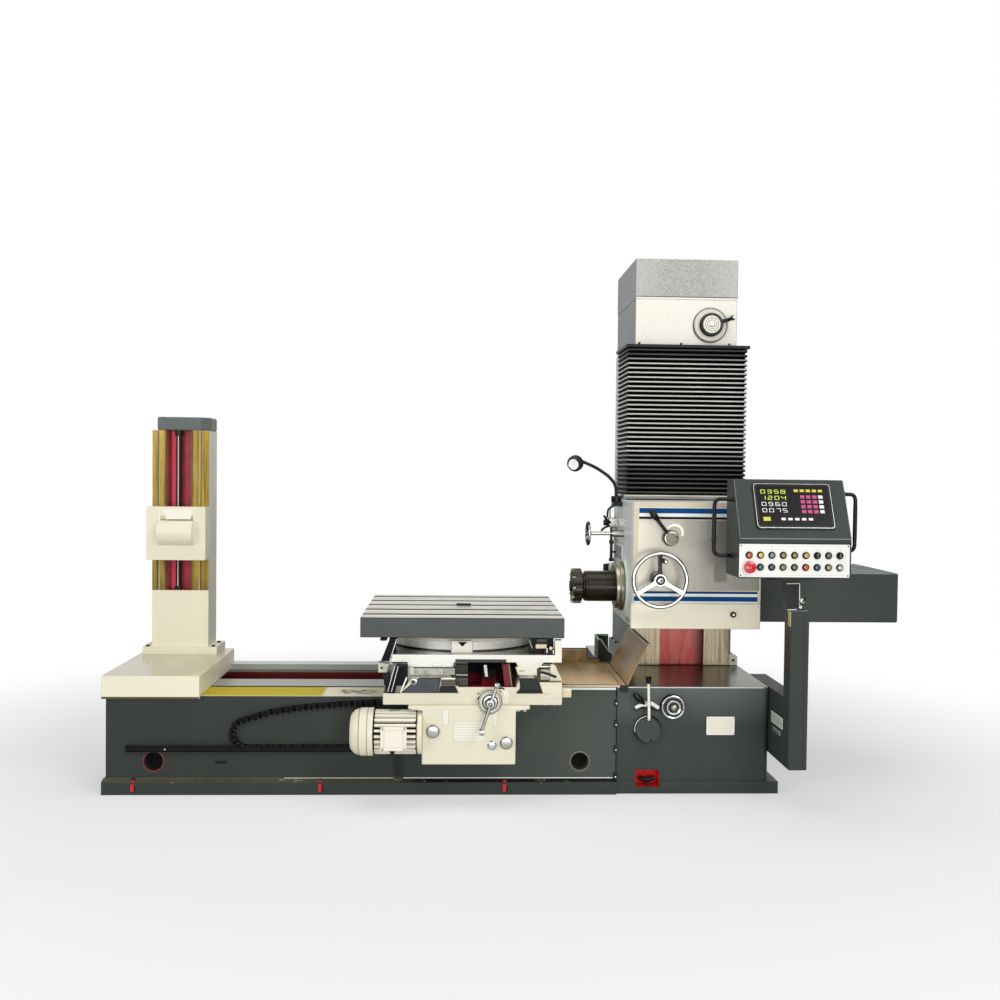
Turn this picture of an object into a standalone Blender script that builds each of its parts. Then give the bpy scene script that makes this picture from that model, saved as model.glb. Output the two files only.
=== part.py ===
import math

import bmesh
import bpy
from mathutils import Matrix, Vector

# Clearances, stock sizes and overshoot of cutting forms, in metres
GAP = 0.0003
SHEET = 0.004
CAST_EDGE = 0.004
PAST = 0.05
SINK = 0.010

# Bed: X is zero on the table's turning axis, Y on the spindle's plane, Z on the floor
FRONT_Y = -0.3125
BED_BACK_Y = 0.500
BED_LEFT_X = -1.760
SEAM_X = 0.783
BED_TOP_Z = 0.489
WAY_GROOVE_Y = (-0.085, -0.059)
WAY_GROOVE_DEEP = 0.008
TROUGH_Y = (0.128, 0.328)
TROUGH_FLOOR_Z = 0.340
REAR_RAIL_Y = 0.400
REAR_RAIL_Z = 0.520
FLANGE_OUT = 0.0225
FLANGE_LEFT_OUT = 0.016
FLANGE_TOP_Z = 0.062
FLANGE_SLOPE = 0.012
BED_RIB_X = (-0.336, -0.292)
BED_RIB_OUT = 0.012
CLEANOUT_Z = 0.163
CLEANOUT_DEEP = 0.070
LEFT_CLEANOUT_X = -1.526
LEFT_CLEANOUT_R = 0.048
RIGHT_CLEANOUT_X = 0.598
RIGHT_CLEANOUT_R = 0.044

# Cable chain and its tray along the bed's front
TRAY_X = (-1.655, -0.300)
TRAY_Z = (0.215, 0.246)
CHAIN_OUT = 0.0285
CHAIN_THICK = 0.030
CHAIN_BEND_X = -1.066
CHAIN_BEND_R = 0.070
CHAIN_LOW_END_X = -0.360
CHAIN_RISE = ((-0.950, 0.411), (-0.800, 0.434), (-0.600, 0.452), (-0.405, 0.462))
CHAIN_LINK = 0.036
CHAIN_NOTCH = 0.004

# Column base
BASE_RIGHT_X = 1.562
BASE_BACK_Y = 0.975
BASE_TOP_Z = 0.540
BASE_CORNER_R = 0.030
BASE_FLANGE_RIGHT_X = 1.611
BASE_FLANGE_OUT = 0.0085
BASE_POCKET_X = (0.881, 1.003)
BASE_POCKET_Z = (0.034, 0.119)
BASE_POCKET_DEEP = 0.070

# Column
WAY_FRONT_Y = 0.304
COLUMN_BACK_Y = 0.956
COLUMN_X = (0.945, 1.535)
COLUMN_WAYS_X = (0.973, 1.116, 1.365, 1.508)
COLUMN_RECESS = 0.045
COLUMN_SHOULDER_Y = 0.364
COLUMN_TOP_Z = 2.335
COLUMN_FOOT_OUT = 0.020
COLUMN_FOOT_BACK_OUT = 0.012
COLUMN_FOOT_HIGH = 0.055
COLUMN_FOOT_SET_BACK = 0.030

# Column cover, its cap and its crank
COVER_HIGH = 0.259
COVER_LEFT_OUT = 0.021
COVER_RIGHT_OUT = 0.016
COVER_BACK_OUT = 0.005
CAP_HIGH = 0.224
CAP_OUT = 0.002
COVER_EDGE = 0.003
CRANK_FROM_RIGHT = 0.152
CRANK_FROM_TOP = 0.142
CRANK_PLATE_R = 0.096
CRANK_PLATE_THICK = 0.022
CRANK_PLATE_RIM = 0.0154
CRANK_PLATE_FACE_R = 0.0883
CRANK_DRUM_FACE_R = 0.0583
CRANK_ARM_START = 0.06
CRANK_DRUM_R = 0.062
CRANK_DRUM_OUT = 0.048
CRANK_HUB_R = 0.020
CRANK_HUB_OUT = 0.070
CRANK_ARM = (0.105, 0.032)
CRANK_ARM_R = 0.008
CRANK_GRIP_R = 0.015
CRANK_GRIP_LONG = 0.070

# Pleated bellows
BELLOWS_OUT = 0.043
BELLOWS_RIGHT_OUT = 0.039
BELLOWS_FRONT = 0.064
BELLOWS_BACK = 0.116
BELLOWS_PLEAT = 0.022
BELLOWS_FOLDS = 32
BELLOWS_WALL = 0.007
BELLOWS_FOOT_THICK = 0.028
BELLOWS_FOOT_FRONT = 0.079
BELLOWS_TOP_CLEAR = 0.018

# Headstock
HEAD_LEFT_X = 0.858
HEAD_RIGHT_X = 1.502
HEAD_Z = (0.838, 1.472)
HEAD_CORE_FRONT = 0.0125
HEAD_PLATE_HIGH = 0.510
HEAD_PLATE_OVER = 0.004
HEAD_PLATE_RISE = 0.004
HEAD_LOWER_OUT = 0.018
HEAD_LOWER_LEFT = 0.014
HEAD_SHOE_WIDE = 0.030
HEAD_SHOE_DEEP = 0.042
HEAD_BOSS_R = 0.152
HEAD_BOSS_OUT = 0.010

# Drive box behind the spindle
TAIL_BOX_X = (1.600, 2.292)
TAIL_BOX_Y = (-0.130, 0.440)
TAIL_BOX_HIGH = 0.260
TAIL_BOX_RISE = 0.010
TAIL_NECK_BACK_Y = 0.130
TAIL_NECK_IN = 0.050
TAIL_BOX_EDGE = 0.006

# Spindle and cutter
SPINDLE_Z = 1.018
SLEEVE_R = 0.081
SLEEVE_FRONT_X = 0.646
SLEEVE_END_X = 1.120
SLEEVE_WEB = 0.010
SLEEVE_EDGE = 0.004
BAR_R = 0.055
SPINDLE_SIDES = 32
NOSE_RING_R = 0.1275
NOSE_RING_LONG = 0.052
NOSE_STEP = 0.0115
CUTTER_FACE_X = 0.576
CUTTER_BACK_X = 0.633
CUTTER_R = 0.094
CUTTER_GULLET_R = 0.080
CUTTER_TEETH = 10
CUTTER_HUB_R = 0.068
CUTTER_RECESS = 0.010
CUTTER_BOLT_R = 0.030
CUTTER_BOLT_OUT = 0.010

# Headstock hand controls
WHEEL_X = 0.972
WHEEL_Z = 1.092
WHEEL_OUT = 0.1075
WHEEL_R = 0.133
WHEEL_RIM = 0.0095
WHEEL_HUB_R = 0.034
WHEEL_SHAFT_R = 0.026
WHEEL_FACE = 0.022
WHEEL_SPOKE_WIDE = 0.024
WHEEL_SPOKE_THICK = 0.012
WHEEL_SPOKES = (91.0, 211.0, 331.0)
WHEEL_GRIP = (0.014, 0.098)
WHEEL_GRIP_R = 0.012
WHEEL_GRIP_LONG = 0.070
LEVER_X = 1.039
LEVER_Z = 1.296
LEVER_REACH = (-0.087, 0.114)
LEVER_HUB_R = 0.040
LEVER_HUB_OUT = 0.045
LEVER_ROD_OUT = 0.0345
LEVER_ROD_R = 0.007
LEVER_GRIP_R = 0.016
LEVER_GRIP_LONG = 0.060
SIDE_WHEEL_Y = 0.030
SIDE_WHEEL_Z = 1.296
SIDE_WHEEL_OUT = 0.190
SIDE_WHEEL_R = 0.058
SIDE_WHEEL_RIM = 0.007
SIDE_WHEEL_HUB_R = 0.014
SIDE_WHEEL_SHAFT_R = 0.009
SIDE_WHEEL_SPOKE_R = 0.005
SIDE_WHEEL_TURN = 0.5
SIDE_WHEEL_BOSS_R = 0.018
SIDE_WHEEL_BOSS_LONG = 0.056

# Work lamp
LAMP_Y = 0.100
LAMP_FOOT_HALF = 0.030
LAMP_FOOT_OUT = 0.052
LAMP_FOOT_Z = 1.440
LAMP_NECK_R = 0.010
LAMP_NECK_BEND = 0.014
LAMP_NECK_SHARES = ((0.85, 0.0), (1.85, 0.02), (2.05, 0.20), (1.75, 0.55))
LAMP_KNEE = 0.0344
LAMP_HEAD = (0.597, 0.044, 1.670)
LAMP_TURN = 60.0
LAMP_TILT = -14.0
LAMP_R = 0.043
LAMP_FRONT = 0.030
LAMP_REAR = 0.028
LAMP_GLASS_R = 0.030
LAMP_BAND_END = 0.012

# Base hand controls
BASE_LEVER_X = 0.938
BASE_LEVER_Z = 0.330
BASE_LEVER_REACH = (-0.008, 0.2595)
BASE_LEVER_HUB_R = 0.070
BASE_LEVER_HUB_OUT = 0.040
BASE_LEVER_NECK_R = 0.024
BASE_LEVER_ROD_R = 0.008
BASE_LEVER_GRIP_R = 0.014
BASE_LEVER_GRIP_LONG = 0.030
BASE_LEVER_DIAL_CLEAR = 0.0055
DIAL_X = 1.064
DIAL_Z = 0.444
DIAL_R = 0.062
DIAL_OUT = 0.050
DIAL_RIM_OUT = 0.030
DIAL_LIP_OUT = 0.036
DIAL_LIP_R = 0.054
DIAL_FACE_R = 0.040

# Chip tray and guard
TRAY_FROM_SADDLE = 0.020
CHIP_TRAY_RIGHT_X = 0.826
CHIP_TRAY_BACK_Y = 0.380
CHIP_TRAY_LIP = 0.012
CHIP_TRAY_STEP_X = 0.700
CHIP_TRAY_REAR_Z = 0.642
CHIP_TRAY_REAR_LOW_Z = 0.588
GUARD_HEEL_X = 0.800
GUARD_FOOT_X = 0.832
GUARD_TOP_X = 0.936
GUARD_TOP_Z = 0.762
GUARD_BACK_Y = 0.292
GUARD_INSET = 0.006
GUARD_LIP = 0.012

# Lower saddle
SADDLE_X = (-0.382, 0.485)
SADDLE_FRONT_Y = -0.500
SADDLE_SEAT_Z = 0.545
SADDLE_FACE_Z = 0.576
SADDLE_WAY_TOP_Z = 0.621
SADDLE_WALL_Z = 0.604
SADDLE_WALL_WIDE = 0.060
LEFT_WAY_X = (-0.243, -0.060)
LEFT_WAY_FOOT_X = (-0.297, -0.017)
RIGHT_WAY_X = (0.282, 0.352)
RIGHT_WAY_FOOT_X = (0.262, 0.387)
CROSS_SCREW_X = 0.130
CROSS_SCREW_Z = 0.625
CROSS_SCREW_R = 0.018
CROSS_SCREW_INSET = 0.020
CROSS_BEARING_HALF = 0.035
CROSS_BEARING_LONG = 0.040
CROSS_BEARING_TOP = 0.030

# Apron, its motor and its crank
APRON_FRONT_Y = -0.530
APRON_BACK_Y = -0.352
APRON_X = (-0.191, 0.260)
APRON_BOTTOM_Z = 0.206
APRON_SHOULDER_X = (-0.259, 0.328)
APRON_SHOULDER_Z = 0.466
APRON_SHOULDER_RISE = 0.008
APRON_CAPS = ((-0.139, 0.367, 0.024), (0.146, 0.300, 0.018), (0.215, 0.312, 0.025))
APRON_CAP_OUT = 0.008
MOTOR_Y = -0.475
MOTOR_Z = 0.353
MOTOR_LONG = 0.345
MOTOR_R = 0.115
MOTOR_COWL_LONG = 0.112
MOTOR_COWL_DOME = ((0.0, 0.0335), (0.018, 0.009), (0.046, 0.0))
MOTOR_BODY_R = 0.096
MOTOR_FIN_R = 0.106
MOTOR_FINS = 26
MOTOR_FIN_SHARE = 0.36
MOTOR_FLANGE_THICK = 0.026
MOTOR_FLANGE_R = 0.1075
MOTOR_BOX_X = (-0.386, -0.262)
MOTOR_BOX_OUT = 0.129
MOTOR_BOX_Z = (0.290, 0.404)
MOTOR_BOX_EDGE = 0.008
APRON_CRANK_X = 0.134
APRON_CRANK_Z = 0.512
APRON_DISC_R = 0.056
APRON_DISC_THICK = 0.018
APRON_CONE_R = 0.036
APRON_HUB_R = 0.022
APRON_HUB_OUT = 0.062
APRON_ARM_R = 0.009
APRON_ARM_OUT = 0.050
APRON_ARM_UP = (0.032, 0.090)
APRON_ARM_DOWN = (-0.040, -0.132)
APRON_KNOB_R = 0.017
APRON_KNOB_OUT = 0.0305
APRON_KNOB_IN = 0.012
APRON_END_R = 0.014
APRON_END_OUT = 0.049

# Cross slide, turning base and table
TURN_Y = 0.040
TABLE_HALF_X = 0.499
TABLE_HALF_Y = 0.480
TABLE_BOTTOM_Z = 0.805
TABLE_THICK = 0.0985
TABLE_EDGE = 0.006
SLOT_PITCH = 0.185
SLOT_COUNT = 5
SLOT_NECK = 0.022
SLOT_HEAD = 0.038
SLOT_NECK_DEEP = 0.020
SLOT_DEEP = 0.036
PLATE_X = (-0.343, 0.488)
PLATE_Z = (0.685, 0.722)
PLATE_LEFT_LEG_IN = 0.007
PLATE_RIGHT_LEG_OUT = (0.005, 0.014)
STOP_WIDE = 0.034
STOP_DEEP = 0.045
STOP_TOP_Z = 0.795
INDEX_X = (-0.056, 0.052)
INDEX_DEEP = 0.032
INDEX_HIGH = 0.034
ROUND_BASE_R = 0.386
ROUND_BASE_RIM = 0.022
ROUND_BASE_NECK_R = 0.370
ROUND_BASE_SIDES = 64

# Tail column on the left end of the bed
TAIL_LEFT_OUT = 0.017
TAIL_BASE_WIDE = 0.479
TAIL_FRONT_OUT = 0.0205
TAIL_TOP_Z = 0.592
TAIL_LAP = 0.012
TAIL_COLUMN_LEFT = 0.051
TAIL_COLUMN_WIDE = 0.308
TAIL_COLUMN_TOP_Z = 1.827
TAIL_COLUMN_SET_IN = 0.004
PLINTH_TOP_Z = 0.635
PLINTH_LEFT = 0.046
PLINTH_RIGHT = 0.051
PLINTH_FRONT = 0.018
TAIL_RECESS_LEFT = 0.074
TAIL_RECESS_WIDE = 0.139
TAIL_RECESS_DEEP = 0.058
TAIL_RECESS_BOTTOM_Z = 0.946
TAIL_GROOVES = (0.037, 0.257)
TAIL_GROOVE_WIDE = 0.006
TAIL_GROOVE_DEEP = 0.012
TAIL_CAP_LEFT = 0.025
TAIL_CAP_HIGH = 0.073
TAIL_CAP_CORNER = 0.050
TAIL_CAP_EDGE = 0.006
TAIL_SCREW_LEFT = 0.137
TAIL_SCREW_DEEP = 0.032
TAIL_SCREW_R = 0.013
TAIL_BLOCK_OUT = 0.104
TAIL_BLOCK_Z = (1.120, 1.409)
TAIL_BLOCK_SIDE = (0.003, 0.005)
TAIL_BOSS_Z = 1.268
TAIL_BOSS_R = 0.068
TAIL_BOSS_BACK = 0.012
TAIL_BOSS_X = (0.063, 0.251)
TAIL_POCKET_IN = 0.008
TAIL_POCKET_DEEP = 0.030
TAIL_POCKET_Z = (1.330, 1.396)

# Control pendant on its post
POST_WIDE = 0.0897
POST_Y = (-0.630, -0.530)
POST_BOTTOM_Z = 0.205
POST_TOP_Z = 0.971
POST_ARM_BACK_Y = 0.060
PIVOT_IN = 0.0437
BRACKET_RING_R = 0.036
BRACKET_RING_HIGH = 0.014
BRACKET_LEFT = 0.063
BRACKET_RIGHT = 0.002
BRACKET_DEEP = 0.030
BRACKET_TOP_PLATE = 0.016
BRACKET_TOP_HALF = 0.060
PENDANT_X = (1.285, 1.815)
PENDANT_Y = (-0.720, -0.588, -0.470)
PENDANT_Z = (1.135, 1.322, 1.597)
PENDANT_EDGE = 0.003
BEZEL_INSET = (0.083, 0.069)
BEZEL_SHARE = (0.15, 0.93)
BEZEL_THICK = 0.014
BEZEL_FRAME = 0.020
BEZEL_FRAME_SHARE = 0.06
BEZEL_RECESS = 0.007
HANDLE_R = 0.0095
HANDLE_BEND = 0.030
HANDLE_Y = -0.600
LEFT_HANDLE_OUT = 0.093
LEFT_HANDLE_Z = (0.097, 0.367)
RIGHT_HANDLE_OUT = 0.059
RIGHT_HANDLE_Z = (0.123, 0.395)

# Places that follow from the sizes above
COVER_SPLIT_Z = COLUMN_TOP_Z + COVER_HIGH
COVER_TOP_Z = COVER_SPLIT_Z + CAP_HIGH
COVER_X = (COLUMN_WAYS_X[0] - COVER_LEFT_OUT, COLUMN_WAYS_X[3] + COVER_RIGHT_OUT)
COVER_BACK_Y = COLUMN_BACK_Y + COVER_BACK_OUT
BELLOWS_X = (COLUMN_X[0] - BELLOWS_OUT, COLUMN_X[1] + BELLOWS_RIGHT_OUT)
BELLOWS_Y = (WAY_FRONT_Y - BELLOWS_FRONT, WAY_FRONT_Y + BELLOWS_BACK)
BELLOWS_FOOT_Z = HEAD_Z[1] + GAP
BELLOWS_BOTTOM_Z = HEAD_Z[1] + BELLOWS_FOOT_THICK
BELLOWS_TOP_Z = COLUMN_TOP_Z - BELLOWS_TOP_CLEAR
HEAD_TOP_Z = HEAD_Z[1] + HEAD_PLATE_RISE
HEAD_PLATE_Z = (HEAD_TOP_Z - HEAD_PLATE_HIGH, HEAD_TOP_Z)
HEAD_CORE_Y = (FRONT_Y + HEAD_CORE_FRONT, WAY_FRONT_Y - GAP)
TABLE_TOP_Z = TABLE_BOTTOM_Z + TABLE_THICK
TABLE_Y = (TURN_Y - TABLE_HALF_Y, TURN_Y + TABLE_HALF_Y)
TAIL_X = (BED_LEFT_X - TAIL_LEFT_OUT, BED_LEFT_X - TAIL_LEFT_OUT + TAIL_BASE_WIDE)
TAIL_COLUMN_X = (BED_LEFT_X + TAIL_COLUMN_LEFT, BED_LEFT_X + TAIL_COLUMN_LEFT + TAIL_COLUMN_WIDE)
POST_X = (BASE_RIGHT_X + GAP, BASE_RIGHT_X + GAP + POST_WIDE)
PIVOT = (POST_X[0] + PIVOT_IN, (POST_Y[0] + POST_Y[1]) / 2)
MOTOR_END_X = APRON_X[0] - GAP
WHEEL_Y = FRONT_Y - WHEEL_OUT
SIDE_WHEEL_X = HEAD_LEFT_X - SIDE_WHEEL_OUT
BASE_LEVER_ROD_OUT = DIAL_OUT + BASE_LEVER_DIAL_CLEAR + BASE_LEVER_ROD_R
CRANK_PLACE = (COVER_X[1] - CRANK_FROM_RIGHT, COVER_SPLIT_Z - CRANK_FROM_TOP)


# Helpers for materials and simple solids
def clear_scene():
    for item in list(bpy.data.objects):
        bpy.data.objects.remove(item, do_unlink=True)


def paint(name, color, metallic=0.0, roughness=0.5):
    made = bpy.data.materials.get(name)
    if made:
        return made
    made = bpy.data.materials.new(name)
    made.use_nodes = True
    shader = made.node_tree.nodes["Principled BSDF"]
    shader.inputs["Base Color"].default_value = (*color, 1.0)
    shader.inputs["Metallic"].default_value = metallic
    shader.inputs["Roughness"].default_value = roughness
    made.diffuse_color = (*color, 1.0)
    return made


def finish(name, bm):
    bmesh.ops.recalc_face_normals(bm, faces=bm.faces)
    mesh = bpy.data.meshes.new(name)
    bm.to_mesh(mesh)
    bm.free()
    made = bpy.data.objects.new(name, mesh)
    bpy.context.scene.collection.objects.link(made)
    return made


def block(name, x, y, z):
    bm = bmesh.new()
    bmesh.ops.create_cube(bm, size=1.0)
    size = Matrix.Diagonal((x[1] - x[0], y[1] - y[0], z[1] - z[0], 1.0))
    middle = Vector(((x[0] + x[1]) / 2, (y[0] + y[1]) / 2, (z[0] + z[1]) / 2))
    bmesh.ops.transform(bm, matrix=Matrix.Translation(middle) @ size, verts=bm.verts)
    return finish(name, bm)


def prism(name, outline, axis, low, high):
    """Extrudes a flat outline, given by its two other coordinates, along X, Y or Z."""
    place = {
        "X": lambda a, b, c: (c, a, b),
        "Y": lambda a, b, c: (a, c, b),
        "Z": lambda a, b, c: (a, b, c),
    }[axis]
    bm = bmesh.new()
    start = bm.faces.new([bm.verts.new(place(a, b, low)) for a, b in outline])
    made = bmesh.ops.extrude_face_region(bm, geom=[start])
    moved = [item for item in made["geom"] if isinstance(item, bmesh.types.BMVert)]
    bmesh.ops.translate(bm, verts=moved, vec=place(0.0, 0.0, high - low))
    return finish(name, bm)


def turned(name, profile, axis, centre, sides):
    """Spins a closed profile of (position along the axis, radius) round X, Y or Z."""
    bm = bmesh.new()
    on_axis = [abs(radius) < 1e-9 for _, radius in profile]
    points = [bm.verts.new((radius, 0.0, along)) for along, radius in profile]
    edges = []
    for index, point in enumerate(points):
        after = (index + 1) % len(points)
        if on_axis[index] and on_axis[after]:
            continue
        edges.append(bm.edges.new((point, points[after])))
    bmesh.ops.spin(
        bm,
        geom=points + edges,
        cent=(0.0, 0.0, 0.0),
        axis=(0.0, 0.0, 1.0),
        angle=math.tau,
        steps=sides,
        use_merge=True,
    )
    bmesh.ops.remove_doubles(bm, verts=bm.verts, dist=1e-6)
    turn = {
        "Z": Matrix.Identity(4),
        "X": Matrix.Rotation(math.pi / 2, 4, "Y"),
        "Y": Matrix.Rotation(-math.pi / 2, 4, "X"),
    }[axis]
    bmesh.ops.transform(bm, matrix=Matrix.Translation(centre) @ turn, verts=bm.verts)
    return finish(name, bm)


def drum(name, axis, centre, radius, low, high, sides=24):
    profile = [(low, 0.0), (low, radius), (high, radius), (high, 0.0)]
    return turned(name, profile, axis, centre, sides)


def clear_bore(radius, sides):
    """The corner radius of a many-sided bore whose flats clear a shaft that turns in it."""
    return (radius + GAP) / math.cos(math.pi / sides)


def ring(name, axis, centre, radius, thickness, along, sides, round_sides=8):
    """A round rim: a circle of the given thickness spun round the axis."""
    profile = []
    for step in range(round_sides):
        angle = math.tau * step / round_sides
        profile.append(
            (along + thickness * math.sin(angle), radius + thickness * math.cos(angle))
        )
    return turned(name, profile, axis, centre, sides)


def rounded_path(points, corner, steps):
    if corner <= 0.0:
        return [Vector(point) for point in points]
    path = [Vector(points[0])]
    for before, here, after in zip(points, points[1:], points[2:]):
        middle = Vector(here)
        into = (Vector(before) - middle).normalized() * corner
        away = (Vector(after) - middle).normalized() * corner
        for step in range(steps + 1):
            share = step / steps
            first = (middle + into).lerp(middle, share)
            second = middle.lerp(middle + away, share)
            path.append(first.lerp(second, share))
    path.append(Vector(points[-1]))
    return path


def bent_tube(name, points, radius, resolution=6, corner=0.0):
    """A round bar along a line of points, its corners rounded where a corner radius is given."""
    curve = bpy.data.curves.new(name, "CURVE")
    curve.dimensions = "3D"
    curve.bevel_depth = radius
    curve.bevel_resolution = 2
    curve.use_fill_caps = True
    curve.resolution_u = resolution
    spline = curve.splines.new("POLY")
    path = rounded_path(points, corner, resolution)
    spline.points.add(len(path) - 1)
    for point, place in zip(spline.points, path):
        point.co = (*place, 1.0)
    made = bpy.data.objects.new(name, curve)
    bpy.context.scene.collection.objects.link(made)
    return as_mesh(made)


def as_mesh(made):
    graph = bpy.context.evaluated_depsgraph_get()
    mesh = bpy.data.meshes.new_from_object(made.evaluated_get(graph))
    name = made.name
    bpy.data.objects.remove(made, do_unlink=True)
    bm = bmesh.new()
    bm.from_mesh(mesh)
    bpy.data.meshes.remove(mesh)
    bmesh.ops.remove_doubles(bm, verts=bm.verts, dist=1e-6)
    return finish(name, bm)


def combine(target, others, operation="UNION"):
    """Joins the others to the target, or cuts them from it, with exact Booleans."""
    for other in others:
        other.hide_render = True
        other.display_type = "WIRE"
        made = target.modifiers.new(other.name, "BOOLEAN")
        made.operation = operation
        made.solver = "EXACT"
        made.object = other
    return target


def cut(target, cutters):
    return combine(target, cutters, "DIFFERENCE")


def bevel(target, width, segments=1, angle=40.0):
    made = target.modifiers.new("edge", "BEVEL")
    made.width = width
    made.segments = segments
    made.limit_method = "ANGLE"
    made.angle_limit = math.radians(angle)
    return target


def dress(made, material):
    made.data.materials.clear()
    made.data.materials.append(material)
    return made


def smooth(made, angle=35.0):
    made.data.shade_smooth()
    made.data.set_sharp_from_angle(angle=math.radians(angle))
    return made


def materials():
    return {
        "dark": paint("machine grey", (0.075, 0.088, 0.088), 0.0, 0.45),
        "cream": paint("cream paint", (0.80, 0.76, 0.64), 0.0, 0.45),
        "pale": paint("pale grey paint", (0.50, 0.54, 0.50), 0.0, 0.45),
        "hammer": paint("hammertone", (0.42, 0.42, 0.40), 0.3, 0.4),
        "black": paint("black rubber", (0.02, 0.02, 0.02), 0.0, 0.6),
        "plastic": paint("black plastic", (0.03, 0.03, 0.03), 0.0, 0.4),
        "steel": paint("ground steel", (0.55, 0.54, 0.50), 0.9, 0.35),
        "chrome": paint("chrome", (0.80, 0.80, 0.80), 1.0, 0.12),
        "tool": paint("dark tool steel", (0.10, 0.09, 0.08), 0.8, 0.35),
        "tan": paint("tan paint", (0.42, 0.33, 0.24), 0.0, 0.5),
        "post": paint("dark green grey", (0.10, 0.115, 0.11), 0.0, 0.45),
    }


# Bed
def bed(coat):
    low, high = BED_LEFT_X, SEAM_X - GAP
    outline = [
        (FRONT_Y, 0.0),
        (FRONT_Y, BED_TOP_Z),
        (WAY_GROOVE_Y[0], BED_TOP_Z),
        (WAY_GROOVE_Y[0], BED_TOP_Z - WAY_GROOVE_DEEP),
        (WAY_GROOVE_Y[1], BED_TOP_Z - WAY_GROOVE_DEEP),
        (WAY_GROOVE_Y[1], BED_TOP_Z),
        (TROUGH_Y[0], BED_TOP_Z),
        (TROUGH_Y[0], TROUGH_FLOOR_Z),
        (TROUGH_Y[1], TROUGH_FLOOR_Z),
        (TROUGH_Y[1], BED_TOP_Z),
        (REAR_RAIL_Y, BED_TOP_Z),
        (REAR_RAIL_Y, REAR_RAIL_Z),
        (BED_BACK_Y, REAR_RAIL_Z),
        (BED_BACK_Y, 0.0),
    ]
    made = prism("bed", outline, "X", low, high)
    rise = FLANGE_TOP_Z + FLANGE_SLOPE
    foot = prism(
        "bed_flange_form",
        [
            (FRONT_Y - FLANGE_OUT, 0.0),
            (FRONT_Y - FLANGE_OUT, FLANGE_TOP_Z),
            (FRONT_Y + GAP, rise),
            (BED_BACK_Y - GAP, rise),
            (BED_BACK_Y + FLANGE_OUT, FLANGE_TOP_Z),
            (BED_BACK_Y + FLANGE_OUT, 0.0),
        ],
        "X",
        low - FLANGE_LEFT_OUT,
        high,
    )
    rib = block(
        "bed_rib_form",
        BED_RIB_X,
        (FRONT_Y - BED_RIB_OUT, FRONT_Y + SINK),
        (FLANGE_TOP_Z / 2, TRAY_Z[0] - GAP),
    )
    combine(made, [foot, rib])
    holes = []
    for name, x, radius in (
        ("bed_hole_left", LEFT_CLEANOUT_X, LEFT_CLEANOUT_R),
        ("bed_hole_right", RIGHT_CLEANOUT_X, RIGHT_CLEANOUT_R),
    ):
        holes.append(
            drum(name, "Y", (x, 0.0, CLEANOUT_Z), radius, FRONT_Y - PAST, FRONT_Y + CLEANOUT_DEEP, 20)
        )
    cut(made, holes)
    return dress(made, coat["dark"])


def chain_tray(coat):
    back = FRONT_Y - GAP
    front = FRONT_Y - CHAIN_OUT - SHEET - GAP
    outline = [
        (back, TRAY_Z[0]),
        (front, TRAY_Z[0]),
        (front, TRAY_Z[1]),
        (front + SHEET, TRAY_Z[1]),
        (front + SHEET, TRAY_Z[0] + SHEET),
        (back, TRAY_Z[0] + SHEET),
    ]
    return dress(prism("chain_tray", outline, "X", *TRAY_X), coat["plastic"])


def chain_line():
    """The chain's centre line in X and Z: a low run, a bend and a run rising to the saddle."""
    low_z = TRAY_Z[0] + SHEET + GAP + CHAIN_THICK / 2
    line = [Vector((CHAIN_LOW_END_X, low_z)), Vector((CHAIN_BEND_X, low_z))]
    for step in range(1, 9):
        angle = math.radians(-90 - 22 * step)
        side = CHAIN_BEND_R * math.cos(angle)
        rise = CHAIN_BEND_R * (1 + math.sin(angle))
        line.append(Vector((CHAIN_BEND_X + side, low_z + rise)))
    return line + [Vector(place) for place in CHAIN_RISE]


def along_line(line, pitch):
    """Points a pitch apart on a line, with its direction at each."""
    places = []
    rest = 0.0
    for here, after in zip(line, line[1:]):
        step = after - here
        run = rest
        while run < step.length:
            places.append((here + step.normalized() * run, step.normalized()))
            run += pitch
        rest = run - step.length
    return places


def drag_chain(coat):
    """Links side by side, each as deep as the chain, with a notch between them."""
    near = []
    far = []
    for place, along in along_line(chain_line(), CHAIN_LINK / 2):
        deep = CHAIN_THICK / 2 if len(near) % 2 else CHAIN_THICK / 2 - CHAIN_NOTCH
        side = Vector((-along.y, along.x)) * deep
        near.append(tuple(place + side))
        far.append(tuple(place - side))
    outline = near + far[::-1]
    made = prism("drag_chain", outline, "Y", FRONT_Y - CHAIN_OUT, FRONT_Y - GAP)
    return dress(made, coat["plastic"])


# Column, its base and its covers
def column_base(coat):
    corner = []
    for step in range(5):
        angle = math.radians(-90 + 22.5 * step)
        corner.append(
            (
                BASE_RIGHT_X - BASE_CORNER_R + BASE_CORNER_R * math.cos(angle),
                FRONT_Y + BASE_CORNER_R + BASE_CORNER_R * math.sin(angle),
            )
        )
    outline = [(SEAM_X, FRONT_Y)] + corner + [(BASE_RIGHT_X, BASE_BACK_Y), (SEAM_X, BASE_BACK_Y)]
    made = prism("column_base", outline, "Z", 0.0, BASE_TOP_Z)
    foot = block(
        "base_flange_form",
        (SEAM_X, BASE_FLANGE_RIGHT_X),
        (FRONT_Y - BASE_FLANGE_OUT, BASE_BACK_Y + BASE_FLANGE_OUT),
        (0.0, FLANGE_TOP_Z),
    )
    combine(made, [foot])
    pocket = block(
        "base_pocket_form",
        BASE_POCKET_X,
        (FRONT_Y - PAST, FRONT_Y + BASE_POCKET_DEEP),
        BASE_POCKET_Z,
    )
    cut(made, [pocket])
    return dress(made, coat["dark"])


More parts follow.
